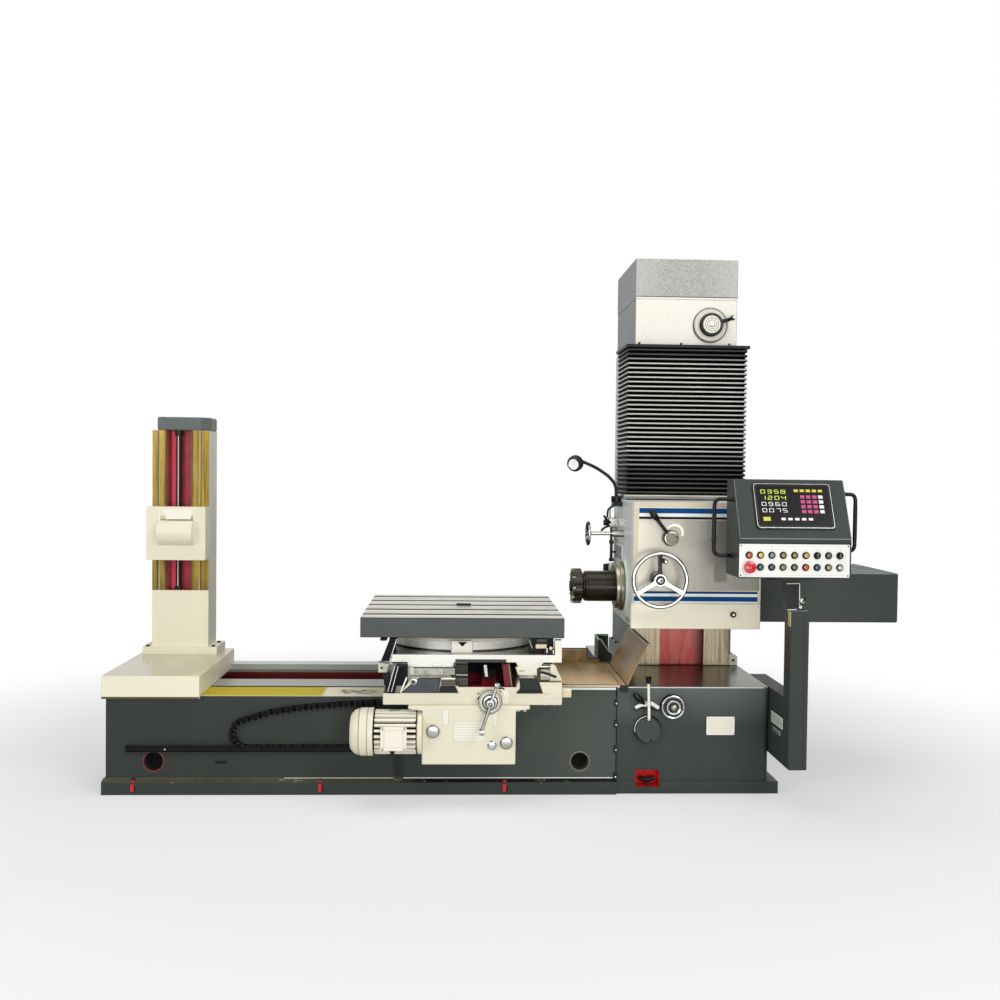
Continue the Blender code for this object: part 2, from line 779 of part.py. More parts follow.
def column(coat):
    left, left_in, right_in, right = COLUMN_WAYS_X
    recess_y = WAY_FRONT_Y + COLUMN_RECESS
    outline = [
        (left, WAY_FRONT_Y),
        (left_in, WAY_FRONT_Y),
        (left_in, recess_y),
        (right_in, recess_y),
        (right_in, WAY_FRONT_Y),
        (right, WAY_FRONT_Y),
        (right, COLUMN_SHOULDER_Y),
        (COLUMN_X[1], COLUMN_SHOULDER_Y),
        (COLUMN_X[1], COLUMN_BACK_Y),
        (COLUMN_X[0], COLUMN_BACK_Y),
        (COLUMN_X[0], COLUMN_SHOULDER_Y),
        (left, COLUMN_SHOULDER_Y),
    ]
    bottom = BASE_TOP_Z + GAP
    made = prism("column", outline, "Z", bottom, COLUMN_TOP_Z - GAP)
    foot = block(
        "column_foot_form",
        (COLUMN_X[0] - COLUMN_FOOT_OUT, COLUMN_X[1] + COLUMN_FOOT_OUT),
        (COLUMN_SHOULDER_Y + COLUMN_FOOT_SET_BACK, COLUMN_BACK_Y + COLUMN_FOOT_BACK_OUT),
        (bottom, bottom + COLUMN_FOOT_HIGH),
    )
    combine(made, [foot])
    return dress(made, coat["pale"])


def column_cover(coat):
    made = block(
        "column_cover",
        COVER_X,
        (WAY_FRONT_Y, COVER_BACK_Y),
        (COLUMN_TOP_Z, COVER_SPLIT_Z),
    )
    return dress(bevel(made, COVER_EDGE), coat["cream"])


def column_cap(coat):
    made = block(
        "column_cap",
        (COVER_X[0] - CAP_OUT, COVER_X[1] + CAP_OUT),
        (WAY_FRONT_Y - CAP_OUT, COVER_BACK_Y + CAP_OUT),
        (COVER_SPLIT_Z + GAP, COVER_TOP_Z),
    )
    return dress(bevel(made, COVER_EDGE), coat["hammer"])


def cover_crank(coat):
    """A graduated disc, a drum and a hub, with a short arm and its grip."""
    x, z = CRANK_PLACE
    wall = WAY_FRONT_Y - GAP
    profile = [
        (wall, 0.0),
        (wall, CRANK_PLATE_R),
        (wall - CRANK_PLATE_RIM, CRANK_PLATE_R),
        (wall - CRANK_PLATE_THICK, CRANK_PLATE_FACE_R),
        (wall - CRANK_PLATE_THICK, CRANK_DRUM_R),
        (wall - CRANK_DRUM_OUT, CRANK_DRUM_FACE_R),
        (wall - CRANK_DRUM_OUT, CRANK_HUB_R),
        (wall - CRANK_HUB_OUT, CRANK_HUB_R),
        (wall - CRANK_HUB_OUT, 0.0),
    ]
    made = turned("cover_crank", profile, "Y", (x, 0.0, z), 32)
    arm_y = wall - CRANK_HUB_OUT + CRANK_ARM_R + GAP
    reach = Vector((CRANK_ARM[0], 0.0, CRANK_ARM[1]))
    start = Vector((x, arm_y, z)) + reach * CRANK_ARM_START
    end = Vector((x, arm_y, z)) + reach
    arm = bent_tube("cover_crank_arm", [start, end], CRANK_ARM_R)
    grip_end = arm_y + CRANK_ARM_R + GAP
    grip = drum(
        "cover_crank_grip",
        "Y",
        (end.x + CRANK_ARM_R / 3, 0.0, end.z + CRANK_ARM_R / 8),
        CRANK_GRIP_R,
        grip_end - CRANK_GRIP_LONG,
        grip_end,
        12,
    )
    combine(made, [arm, grip])
    return smooth(dress(made, coat["chrome"]))


def bellows(coat):
    """A pleated skirt round the front and sides of the column."""
    bm = bmesh.new()
    inner_left = COLUMN_X[0] - BELLOWS_WALL
    inner_right = COLUMN_X[1] + BELLOWS_WALL
    inner_front = WAY_FRONT_Y - BELLOWS_WALL
    bottom = BELLOWS_BOTTOM_Z + GAP
    levels = 2 * BELLOWS_FOLDS
    rows = []
    for level in range(levels + 1):
        z = bottom + (BELLOWS_TOP_Z - bottom) * level / levels
        fold = 0.0 if level % 2 else BELLOWS_PLEAT
        left, right = BELLOWS_X[0] + fold, BELLOWS_X[1] - fold
        front = BELLOWS_Y[0] + fold
        outline = [
            (left, BELLOWS_Y[1]),
            (left, front),
            (right, front),
            (right, BELLOWS_Y[1]),
            (inner_right, BELLOWS_Y[1]),
            (inner_right, inner_front),
            (inner_left, inner_front),
            (inner_left, BELLOWS_Y[1]),
        ]
        rows.append([bm.verts.new((x, y, z)) for x, y in outline])
    for lower, upper in zip(rows, rows[1:]):
        for index in range(len(lower)):
            after = (index + 1) % len(lower)
            bm.faces.new((lower[index], lower[after], upper[after], upper[index]))
    bm.faces.new(rows[0][::-1])
    bm.faces.new(rows[-1])
    return dress(finish("bellows", bm), coat["black"])


# Chip tray and guard between the saddle and the column
def chip_tray(coat):
    floor_z = BASE_TOP_Z + GAP
    left = SADDLE_X[1] + TRAY_FROM_SADDLE
    front = (FRONT_Y, FRONT_Y + SHEET)
    back = (CHIP_TRAY_BACK_Y - SHEET, CHIP_TRAY_BACK_Y)
    made = block(
        "chip_tray",
        (left, CHIP_TRAY_RIGHT_X),
        (FRONT_Y, CHIP_TRAY_BACK_Y),
        (floor_z, floor_z + SHEET),
    )
    lip = block(
        "tray_lip_form",
        (left, CHIP_TRAY_RIGHT_X),
        front,
        (floor_z, floor_z + CHIP_TRAY_LIP),
    )
    skirt = block(
        "tray_skirt_form",
        (left, SEAM_X - CHIP_TRAY_LIP / 2),
        front,
        (BED_TOP_Z + GAP, floor_z + SHEET / 2),
    )
    rear = block(
        "tray_rear_form",
        (left, CHIP_TRAY_STEP_X),
        back,
        (BED_TOP_Z + GAP, CHIP_TRAY_REAR_Z),
    )
    rear_low = block(
        "tray_rear_low_form",
        (CHIP_TRAY_STEP_X - SINK, SEAM_X + SHEET / 2),
        back,
        (floor_z, CHIP_TRAY_REAR_LOW_Z),
    )
    combine(made, [lip, skirt, rear, rear_low])
    return dress(made, coat["tan"])


def chip_guard(coat):
    """The inclined sheet between the tray and the underside of the headstock, its top edge folded."""
    foot_z = BASE_TOP_Z + 2 * GAP + SHEET
    outline = [
        (GUARD_HEEL_X, foot_z),
        (GUARD_FOOT_X + SHEET, foot_z),
        (GUARD_TOP_X + SHEET, GUARD_TOP_Z - SHEET),
        (GUARD_TOP_X + GUARD_LIP, GUARD_TOP_Z - SHEET),
        (GUARD_TOP_X + GUARD_LIP, GUARD_TOP_Z),
        (GUARD_TOP_X, GUARD_TOP_Z),
        (GUARD_FOOT_X, foot_z + SHEET),
        (GUARD_HEEL_X, foot_z + SHEET),
    ]
    made = prism("chip_guard", outline, "Y", FRONT_Y + GUARD_INSET, GUARD_BACK_Y)
    return dress(made, coat["tan"])


# Headstock and spindle
def headstock(coat):
    """The housing, its front plate, the boss round the spindle and the shoes that clasp the ways."""
    made = block("headstock", (HEAD_LEFT_X, HEAD_RIGHT_X), HEAD_CORE_Y, HEAD_Z)
    plate = block(
        "head_plate_form",
        (HEAD_LEFT_X - HEAD_PLATE_OVER, HEAD_RIGHT_X + HEAD_PLATE_OVER),
        (FRONT_Y, HEAD_CORE_Y[0] + SINK),
        HEAD_PLATE_Z,
    )
    boss = drum(
        "head_boss_form",
        "X",
        (0.0, 0.0, SPINDLE_Z),
        HEAD_BOSS_R,
        HEAD_LEFT_X - HEAD_BOSS_OUT,
        HEAD_LEFT_X + SINK,
        SPINDLE_SIDES,
    )
    shoes = []
    for side, edge in ((-1, COLUMN_WAYS_X[0]), (1, COLUMN_WAYS_X[3])):
        near = edge + side * GAP
        far = near + side * HEAD_SHOE_WIDE
        inner = edge - side * HEAD_SHOE_WIDE
        height = (HEAD_Z[0] + SINK, HEAD_Z[1] - SINK)
        shoes.append(
            block(
                f"head_shoe_form_{side}",
                (min(near, far), max(near, far)),
                (HEAD_CORE_Y[1] - SINK, HEAD_CORE_Y[1] + HEAD_SHOE_DEEP),
                height,
            )
        )
        shoes.append(
            block(
                f"head_pad_form_{side}",
                (min(inner, far), max(inner, far)),
                (HEAD_CORE_Y[1] - HEAD_SHOE_DEEP, HEAD_CORE_Y[1]),
                height,
            )
        )
    combine(made, [plate, boss] + shoes)
    bore = drum(
        "head_bore_form",
        "X",
        (0.0, 0.0, SPINDLE_Z),
        clear_bore(SLEEVE_R, SPINDLE_SIDES),
        HEAD_LEFT_X - PAST,
        SLEEVE_END_X + GAP,
        SPINDLE_SIDES,
    )
    cut(made, [bore])
    return dress(made, coat["pale"])


def headstock_lower_cover(coat):
    made = block(
        "headstock_lower_cover",
        (HEAD_LEFT_X - HEAD_LOWER_LEFT, HEAD_RIGHT_X),
        (FRONT_Y - HEAD_LOWER_OUT, HEAD_CORE_Y[0] - GAP),
        (HEAD_Z[0], HEAD_PLATE_Z[0] - GAP),
    )
    return dress(bevel(made, CAST_EDGE), coat["cream"])


def bellows_foot(coat):
    made = block(
        "bellows_foot",
        (BELLOWS_X[0] - SHEET, BELLOWS_X[1] + SHEET / 2),
        (WAY_FRONT_Y - BELLOWS_FOOT_FRONT, WAY_FRONT_Y - BELLOWS_WALL),
        (BELLOWS_FOOT_Z, BELLOWS_BOTTOM_Z),
    )
    return dress(made, coat["hammer"])


def spindle_tail_box(coat):
    """The drive box right of the headstock and the neck that carries it."""
    bottom = HEAD_Z[0] + TAIL_BOX_RISE
    high = (bottom, bottom + TAIL_BOX_HIGH)
    made = block("spindle_tail_box", TAIL_BOX_X, TAIL_BOX_Y, high)
    neck = block(
        "tail_box_neck_form",
        (HEAD_RIGHT_X + HEAD_PLATE_OVER / 12, TAIL_BOX_X[0] + TAIL_NECK_IN),
        (TAIL_BOX_Y[0], TAIL_NECK_BACK_Y),
        high,
    )
    combine(made, [neck])
    return dress(bevel(made, TAIL_BOX_EDGE, 1, 60.0), coat["dark"])


def spindle_flange(coat):
    wall = HEAD_LEFT_X - HEAD_BOSS_OUT - GAP
    face = HEAD_LEFT_X - NOSE_RING_LONG
    hole = clear_bore(SLEEVE_R, SPINDLE_SIDES)
    profile = [
        (wall, hole),
        (wall, NOSE_RING_R),
        (face + 2 * NOSE_STEP, NOSE_RING_R),
        (face + NOSE_STEP, NOSE_RING_R - NOSE_STEP),
        (face, NOSE_RING_R - NOSE_STEP),
        (face, hole),
    ]
    made = turned("spindle_flange", profile, "X", (0.0, 0.0, SPINDLE_Z), SPINDLE_SIDES)
    return smooth(dress(made, coat["tool"]))


def spindle_sleeve(coat):
    hole = BAR_R + GAP
    profile = [
        (SLEEVE_FRONT_X, hole),
        (SLEEVE_FRONT_X, SLEEVE_R - SLEEVE_EDGE),
        (SLEEVE_FRONT_X + SLEEVE_EDGE, SLEEVE_R),
        (SLEEVE_END_X, SLEEVE_R),
        (SLEEVE_END_X, 0.0),
        (SLEEVE_END_X - SLEEVE_WEB, 0.0),
        (SLEEVE_END_X - SLEEVE_WEB, hole),
    ]
    made = turned("spindle_sleeve", profile, "X", (0.0, 0.0, SPINDLE_Z), SPINDLE_SIDES)
    return smooth(dress(made, coat["tool"]))


def boring_spindle(coat):
    made = drum(
        "boring_spindle",
        "X",
        (0.0, 0.0, SPINDLE_Z),
        BAR_R,
        CUTTER_BACK_X + GAP,
        SLEEVE_END_X - SLEEVE_WEB - GAP,
        SPINDLE_SIDES,
    )
    return smooth(dress(made, coat["steel"]))


def face_mill(coat):
    """A ring of teeth with raked gullets between them, a recessed face and a central bolt."""
    outline = []
    shares = (
        (0.00, CUTTER_GULLET_R),
        (0.10, CUTTER_R),
        (0.50, CUTTER_R),
        (0.68, CUTTER_R - CUTTER_RECESS / 2),
        (0.84, CUTTER_GULLET_R),
    )
    for tooth in range(CUTTER_TEETH):
        for share, radius in shares:
            angle = math.tau * (tooth + share) / CUTTER_TEETH
            outline.append((radius * math.cos(angle), SPINDLE_Z + radius * math.sin(angle)))
    made = prism("face_mill", outline, "X", CUTTER_FACE_X, CUTTER_BACK_X)
    centre = (0.0, 0.0, SPINDLE_Z)
    recess = drum(
        "cutter_recess_form",
        "X",
        centre,
        CUTTER_HUB_R,
        CUTTER_FACE_X - PAST,
        CUTTER_FACE_X + CUTTER_RECESS,
        24,
    )
    cut(made, [recess])
    bolt = drum(
        "cutter_bolt_form",
        "X",
        centre,
        CUTTER_BOLT_R,
        CUTTER_FACE_X - CUTTER_BOLT_OUT,
        CUTTER_FACE_X + 2 * CUTTER_RECESS,
        12,
    )
    combine(made, [bolt])
    return dress(made, coat["tool"])


# Hand controls on the headstock
def spokes(name, centre, radius, width, thick, along, angles):
    """Flat spokes in the plane across Y, from the hub to the rim."""
    made = []
    middle = Vector(centre)
    for index, degrees in enumerate(angles):
        angle = math.radians(degrees)
        direction = Vector((math.cos(angle), math.sin(angle)))
        side = Vector((-direction.y, direction.x)) * width / 2
        hub = middle + direction * width / 2
        rim = middle + direction * radius
        outline = [tuple(hub + side), tuple(rim + side), tuple(rim - side), tuple(hub - side)]
        made.append(
            prism(f"{name}_{index}", outline, "Y", along - thick / 2, along + thick / 2)
        )
    return made


def handwheel(coat):
    centre = (WHEEL_X, 0.0, WHEEL_Z)
    wall = FRONT_Y - GAP
    boss = WHEEL_HUB_R - WHEEL_SHAFT_R
    profile = [
        (wall, 0.0),
        (wall, WHEEL_HUB_R),
        (wall - 5 * boss, WHEEL_HUB_R),
        (wall - 6 * boss, WHEEL_SHAFT_R),
        (WHEEL_Y - WHEEL_FACE + boss, WHEEL_SHAFT_R),
        (WHEEL_Y - WHEEL_FACE, WHEEL_SHAFT_R - boss),
        (WHEEL_Y - WHEEL_FACE, 0.0),
    ]
    made = turned("handwheel", profile, "Y", centre, 20)
    rim = ring("handwheel_rim", "Y", centre, WHEEL_R, WHEEL_RIM, WHEEL_Y, 36)
    bars = spokes(
        "handwheel_spoke",
        (WHEEL_X, WHEEL_Z),
        WHEEL_R,
        WHEEL_SPOKE_WIDE,
        WHEEL_SPOKE_THICK,
        WHEEL_Y,
        WHEEL_SPOKES,
    )
    grip = drum(
        "handwheel_grip",
        "Y",
        (WHEEL_X + WHEEL_GRIP[0], 0.0, WHEEL_Z + WHEEL_GRIP[1]),
        WHEEL_GRIP_R,
        WHEEL_Y - WHEEL_GRIP_LONG,
        WHEEL_Y + WHEEL_SPOKE_THICK / 4,
        12,
    )
    combine(made, [rim] + bars + [grip])
    return smooth(dress(made, coat["chrome"]))


def lever(name, place, reach, hub_r, hub_out, rod_out, rod_r, grip_r, grip_long):
    """A hub on the front of the machine, a rod and a grip along the rod's end."""
    wall = FRONT_Y - GAP
    made = drum(name, "Y", (place[0], 0.0, place[1]), hub_r, wall - hub_out, wall, 20)
    rod_y = wall - rod_out
    start = Vector((place[0], rod_y, place[1]))
    end = start + Vector((reach[0], 0.0, reach[1]))
    along = (end - start).normalized() * grip_long / 2
    rod = bent_tube(f"{name}_rod", [start, end], rod_r)
    grip = bent_tube(f"{name}_grip", [end - along, end + along], grip_r)
    return smooth(combine(made, [rod, grip]))


def speed_lever(coat):
    made = lever(
        "speed_lever",
        (LEVER_X, LEVER_Z),
        LEVER_REACH,
        LEVER_HUB_R,
        LEVER_HUB_OUT,
        LEVER_ROD_OUT,
        LEVER_ROD_R,
        LEVER_GRIP_R,
        LEVER_GRIP_LONG,
    )
    return dress(made, coat["chrome"])


def base_lever(coat):
    """The rod stands out on a neck, so that it swings past the dial's front."""
    made = lever(
        "base_lever",
        (BASE_LEVER_X, BASE_LEVER_Z),
        BASE_LEVER_REACH,
        BASE_LEVER_HUB_R,
        BASE_LEVER_HUB_OUT,
        BASE_LEVER_ROD_OUT,
        BASE_LEVER_ROD_R,
        BASE_LEVER_GRIP_R,
        BASE_LEVER_GRIP_LONG,
    )
    wall = FRONT_Y - GAP
    neck = drum(
        "base_lever_neck_form",
        "Y",
        (BASE_LEVER_X, 0.0, BASE_LEVER_Z),
        BASE_LEVER_NECK_R,
        wall - BASE_LEVER_ROD_OUT - 1.5 * BASE_LEVER_ROD_R,
        wall - BASE_LEVER_HUB_OUT + SINK,
        16,
    )
    combine(made, [neck])
    return smooth(dress(made, coat["dark"]))


def base_dial(coat):
    wall = FRONT_Y - GAP
    profile = [
        (wall, 0.0),
        (wall, DIAL_R),
        (wall - DIAL_RIM_OUT, DIAL_R),
        (wall - DIAL_LIP_OUT, DIAL_LIP_R),
        (wall - DIAL_LIP_OUT, DIAL_FACE_R),
        (wall - DIAL_OUT, DIAL_FACE_R),
        (wall - DIAL_OUT, 0.0),
    ]
    made = turned("base_dial", profile, "Y", (DIAL_X, 0.0, DIAL_Z), 24)
    return smooth(dress(made, coat["chrome"]))


def side_handwheel(coat):
    centre = (0.0, SIDE_WHEEL_Y, SIDE_WHEEL_Z)
    wall = HEAD_LEFT_X - GAP
    face = SIDE_WHEEL_X - SIDE_WHEEL_HUB_R
    boss = wall - SIDE_WHEEL_BOSS_LONG
    shoulder = SIDE_WHEEL_HUB_R - SIDE_WHEEL_SHAFT_R
    profile = [
        (face, 0.0),
        (face, SIDE_WHEEL_HUB_R),
        (SIDE_WHEEL_X + SIDE_WHEEL_HUB_R - shoulder, SIDE_WHEEL_HUB_R),
        (SIDE_WHEEL_X + SIDE_WHEEL_HUB_R, SIDE_WHEEL_SHAFT_R),
        (boss - shoulder, SIDE_WHEEL_SHAFT_R),
        (boss, SIDE_WHEEL_BOSS_R),
        (wall, SIDE_WHEEL_BOSS_R),
        (wall, 0.0),
    ]
    made = turned("side_handwheel", profile, "X", centre, 16)
    rim = ring("side_wheel_rim", "X", centre, SIDE_WHEEL_R, SIDE_WHEEL_RIM, SIDE_WHEEL_X, 28)
    middle = Vector((SIDE_WHEEL_X, SIDE_WHEEL_Y, SIDE_WHEEL_Z))
    bars = []
    for index in range(3):
        angle = math.tau * index / 3 + SIDE_WHEEL_TURN
        tip = middle + Vector((0.0, math.cos(angle), math.sin(angle))) * SIDE_WHEEL_R
        bars.append(bent_tube(f"side_wheel_spoke_{index}", [middle, tip], SIDE_WHEEL_SPOKE_R))
    combine(made, [rim] + bars)
    return smooth(dress(made, coat["chrome"]))


def lamp_aim():
    turn = Matrix.Rotation(math.radians(LAMP_TURN), 4, "Z")
    return turn @ Matrix.Rotation(math.radians(LAMP_TILT), 4, "Y")


def lamp_arm(coat):
    """A foot on the headstock's side and a bent neck up to the lamp."""
    wall = HEAD_LEFT_X - GAP
    foot_high = 2 * LAMP_FOOT_HALF
    made = block(
        "lamp_arm",
        (wall - LAMP_FOOT_OUT, wall),
        (LAMP_Y - LAMP_FOOT_HALF, LAMP_Y + LAMP_FOOT_HALF),
        (LAMP_FOOT_Z, LAMP_FOOT_Z + foot_high),
    )
    back = lamp_aim() @ Vector((1.0, 0.0, 0.0))
    rear = Vector(LAMP_HEAD) + back * (LAMP_REAR + GAP)
    base = Vector((wall - LAMP_FOOT_HALF, LAMP_Y, LAMP_FOOT_Z))
    rise = Vector((0.0, 0.0, foot_high))
    knee = rear + back * LAMP_KNEE
    reach = knee - (base + rise)
    path = [base + rise * up + reach * over for up, over in LAMP_NECK_SHARES] + [knee, rear]
    neck = bent_tube("lamp_neck_form", path, LAMP_NECK_R, 5, LAMP_NECK_BEND)
    combine(made, [neck])
    return dress(made, coat["plastic"])


def lamp_head(coat):
    profile = [
        (-LAMP_FRONT, 0.0),
        (-LAMP_FRONT, LAMP_GLASS_R),
        (-LAMP_FRONT / 2, LAMP_R),
        (LAMP_BAND_END, LAMP_R),
        (LAMP_REAR, LAMP_R / 2),
        (LAMP_REAR, 0.0),
    ]
    made = turned("lamp_head", profile, "X", (0.0, 0.0, 0.0), 20)
    made.data.transform(Matrix.Translation(LAMP_HEAD) @ lamp_aim())
    return smooth(dress(made, coat["plastic"]))


# Saddle, apron and table
def lower_saddle(coat):
    left, right = SADDLE_X
    wall_x = right - SADDLE_WALL_WIDE
    outline = [
        (left, BED_TOP_Z + GAP),
        (right, BED_TOP_Z + GAP),
        (right, SADDLE_WALL_Z),
        (wall_x, SADDLE_WALL_Z),
        (wall_x, SADDLE_SEAT_Z),
        (RIGHT_WAY_FOOT_X[1], SADDLE_SEAT_Z),
        (RIGHT_WAY_X[1], SADDLE_WAY_TOP_Z),
        (RIGHT_WAY_X[0], SADDLE_WAY_TOP_Z),
        (RIGHT_WAY_FOOT_X[0], SADDLE_FACE_Z),
        (LEFT_WAY_FOOT_X[1], SADDLE_FACE_Z),
        (LEFT_WAY_X[1], SADDLE_WAY_TOP_Z),
        (LEFT_WAY_X[0], SADDLE_WAY_TOP_Z),
        (LEFT_WAY_FOOT_X[0], SADDLE_SEAT_Z),
        (left, SADDLE_SEAT_Z),
    ]
    made = prism("lower_saddle", outline, "Y", SADDLE_FRONT_Y, BED_BACK_Y)
    relief = block(
        "saddle_relief_form",
        (left - PAST, right + PAST),
        (REAR_RAIL_Y - GAP, BED_BACK_Y + PAST),
        (BED_TOP_Z - PAST, REAR_RAIL_Z + GAP),
    )
    cut(made, [relief])
    return dress(made, coat["cream"])


def cross_screw(coat):
    low = SADDLE_FRONT_Y + CROSS_SCREW_INSET
    high = BED_BACK_Y - CROSS_SCREW_INSET
    made = drum("cross_screw", "Y", (CROSS_SCREW_X, 0.0, CROSS_SCREW_Z), CROSS_SCREW_R, low, high, 16)
    ends = []
    for index, start in enumerate((low + SHEET, high - CROSS_BEARING_LONG - SHEET)):
        ends.append(
            block(
                f"screw_bearing_form_{index}",
                (CROSS_SCREW_X - CROSS_BEARING_HALF, CROSS_SCREW_X + CROSS_BEARING_HALF),
                (start, start + CROSS_BEARING_LONG),
                (SADDLE_FACE_Z + GAP, CROSS_SCREW_Z + CROSS_BEARING_TOP),
            )
        )
    combine(made, ends)
    return dress(made, coat["steel"])


def apron(coat):
    """The feed box under the saddle's front, with shoulders and three round plugs."""
    shoulder_top = APRON_SHOULDER_Z + APRON_SHOULDER_RISE
    outline = [
        (APRON_X[0], APRON_BOTTOM_Z),
        (APRON_X[1], APRON_BOTTOM_Z),
        (APRON_X[1], APRON_SHOULDER_Z),
        (APRON_SHOULDER_X[1], shoulder_top),
        (APRON_SHOULDER_X[1], BED_TOP_Z),
        (APRON_SHOULDER_X[0], BED_TOP_Z),
        (APRON_SHOULDER_X[0], shoulder_top),
        (APRON_X[0], APRON_SHOULDER_Z),
    ]
    made = prism("apron", outline, "Y", APRON_FRONT_Y, APRON_BACK_Y)
    bevel(made, CAST_EDGE, 1, 60.0)
    plugs = []
    for index, (x, z, radius) in enumerate(APRON_CAPS):
        plugs.append(
            drum(
                f"apron_plug_form_{index}",
                "Y",
                (x, 0.0, z),
                radius,
                APRON_FRONT_Y - APRON_CAP_OUT,
                APRON_FRONT_Y + SINK,
                16,
            )
        )
    combine(made, plugs)
    return dress(made, coat["cream"])


def motor_fins():
    """A ribbed barrel: a gear-like outline with narrow ridges round it."""
    outline = []
    for fin in range(MOTOR_FINS):
        for share, radius in (
            (-MOTOR_FIN_SHARE / 2, MOTOR_BODY_R),
            (-MOTOR_FIN_SHARE / 4, MOTOR_FIN_R),
            (MOTOR_FIN_SHARE / 4, MOTOR_FIN_R),
            (MOTOR_FIN_SHARE / 2, MOTOR_BODY_R),
        ):
            angle = math.tau * (fin + share) / MOTOR_FINS
            outline.append((MOTOR_Y + radius * math.sin(angle), MOTOR_Z + radius * math.cos(angle)))
    return outline


def feed_motor(coat):
    """A flange motor: a domed fan cowl, a finned barrel, a flange and a terminal box."""
    left = MOTOR_END_X - MOTOR_LONG
    cowl_end = left + MOTOR_COWL_LONG
    flange = MOTOR_END_X - MOTOR_FLANGE_THICK
    made = prism("feed_motor", motor_fins(), "X", cowl_end - SINK, flange + SINK)
    centre = (0.0, MOTOR_Y, MOTOR_Z)
    cowl = turned(
        "motor_cowl_form",
        [
            (left, 0.0),
            *[(left + along, MOTOR_R - inset) for along, inset in MOTOR_COWL_DOME],
            (cowl_end, MOTOR_R),
            (cowl_end, 0.0),
        ],
        "X",
        centre,
        28,
    )
    plate = drum("motor_flange_form", "X", centre, MOTOR_FLANGE_R, flange, MOTOR_END_X, 28)
    box = block(
        "motor_box_form",
        MOTOR_BOX_X,
        (MOTOR_Y - MOTOR_BOX_OUT, MOTOR_Y),
        MOTOR_BOX_Z,
    )
    bevel(box, MOTOR_BOX_EDGE)
    combine(made, [cowl, plate, box])
    return dress(made, coat["cream"])


def apron_crank(coat):
    wall = APRON_FRONT_Y - GAP
    x, z = APRON_CRANK_X, APRON_CRANK_Z
    cone = wall - APRON_DISC_THICK - APRON_HUB_R / 2
    profile = [
        (wall, 0.0),
        (wall, APRON_DISC_R),
        (wall - APRON_DISC_THICK, APRON_DISC_R),
        (cone, APRON_CONE_R),
        (cone, APRON_HUB_R),
        (wall - APRON_HUB_OUT, APRON_HUB_R),
        (wall - APRON_HUB_OUT, 0.0),
    ]
    made = turned("apron_crank", profile, "Y", (x, 0.0, z), 24)
    arm_y = wall - APRON_ARM_OUT
    upper = (x + APRON_ARM_UP[0], arm_y, z + APRON_ARM_UP[1])
    lower = (x + APRON_ARM_DOWN[0], arm_y, z + APRON_ARM_DOWN[1])
    arm = bent_tube("crank_arm_form", [upper, lower], APRON_ARM_R)
    inner = arm_y + APRON_KNOB_IN
    grips = []
    for name, place, radius, out in (
        ("crank_knob_form", upper, APRON_KNOB_R, APRON_KNOB_OUT),
        ("crank_end_form", lower, APRON_END_R, APRON_END_OUT),
    ):
        grips.append(drum(name, "Y", (place[0], 0.0, place[2]), radius, arm_y - out, inner, 12))
    combine(made, [arm] + grips)
    return smooth(dress(made, coat["chrome"]))


def upper_saddle(coat):
    """The cross slide: a plate on two legs, a stop at its right front and the angle pointer."""
    low, high = PLATE_Z
    leg_bottom = SADDLE_WAY_TOP_Z + GAP
    left_leg = (LEFT_WAY_X[0] - PLATE_LEFT_LEG_IN, LEFT_WAY_X[1] + PLATE_LEFT_LEG_IN)
    right_leg = (RIGHT_WAY_X[0] - PLATE_RIGHT_LEG_OUT[0], RIGHT_WAY_X[1] + PLATE_RIGHT_LEG_OUT[1])
    left, right = PLATE_X
    outline = [
        (left, low),
        (left_leg[0], low),
        (left_leg[0], leg_bottom),
        (left_leg[1], leg_bottom),
        (left_leg[1], low),
        (right_leg[0], low),
        (right_leg[0], leg_bottom),
        (right_leg[1], leg_bottom),
        (right_leg[1], low),
        (right, low),
        (right, high),
        (left, high),
    ]
    front = TABLE_Y[0]
    made = prism("upper_saddle", outline, "Y", front, BED_BACK_Y)
    stop = block(
        "stop_bracket_form",
        (right - STOP_WIDE, right),
        (front, front + STOP_DEEP),
        (low + SINK, STOP_TOP_Z),
    )
    pointer_back = TURN_Y - ROUND_BASE_R - SHEET
    pointer = block(
        "angle_pointer_form",
        INDEX_X,
        (pointer_back - INDEX_DEEP, pointer_back),
        (high - SINK, high + INDEX_HIGH),
    )
    combine(made, [stop, pointer])
    return dress(made, coat["cream"])


def round_base(coat):
    low, high = PLATE_Z[1] + GAP, TABLE_BOTTOM_Z - GAP
    profile = [
        (low, 0.0),
        (low, ROUND_BASE_R),
        (high - ROUND_BASE_RIM, ROUND_BASE_R),
        (high - ROUND_BASE_RIM / 3, ROUND_BASE_NECK_R),
        (high, ROUND_BASE_NECK_R),
        (high, 0.0),
    ]
    made = turned("round_base", profile, "Z", (0.0, TURN_Y, 0.0), ROUND_BASE_SIDES)
    return smooth(dress(made, coat["cream"]))


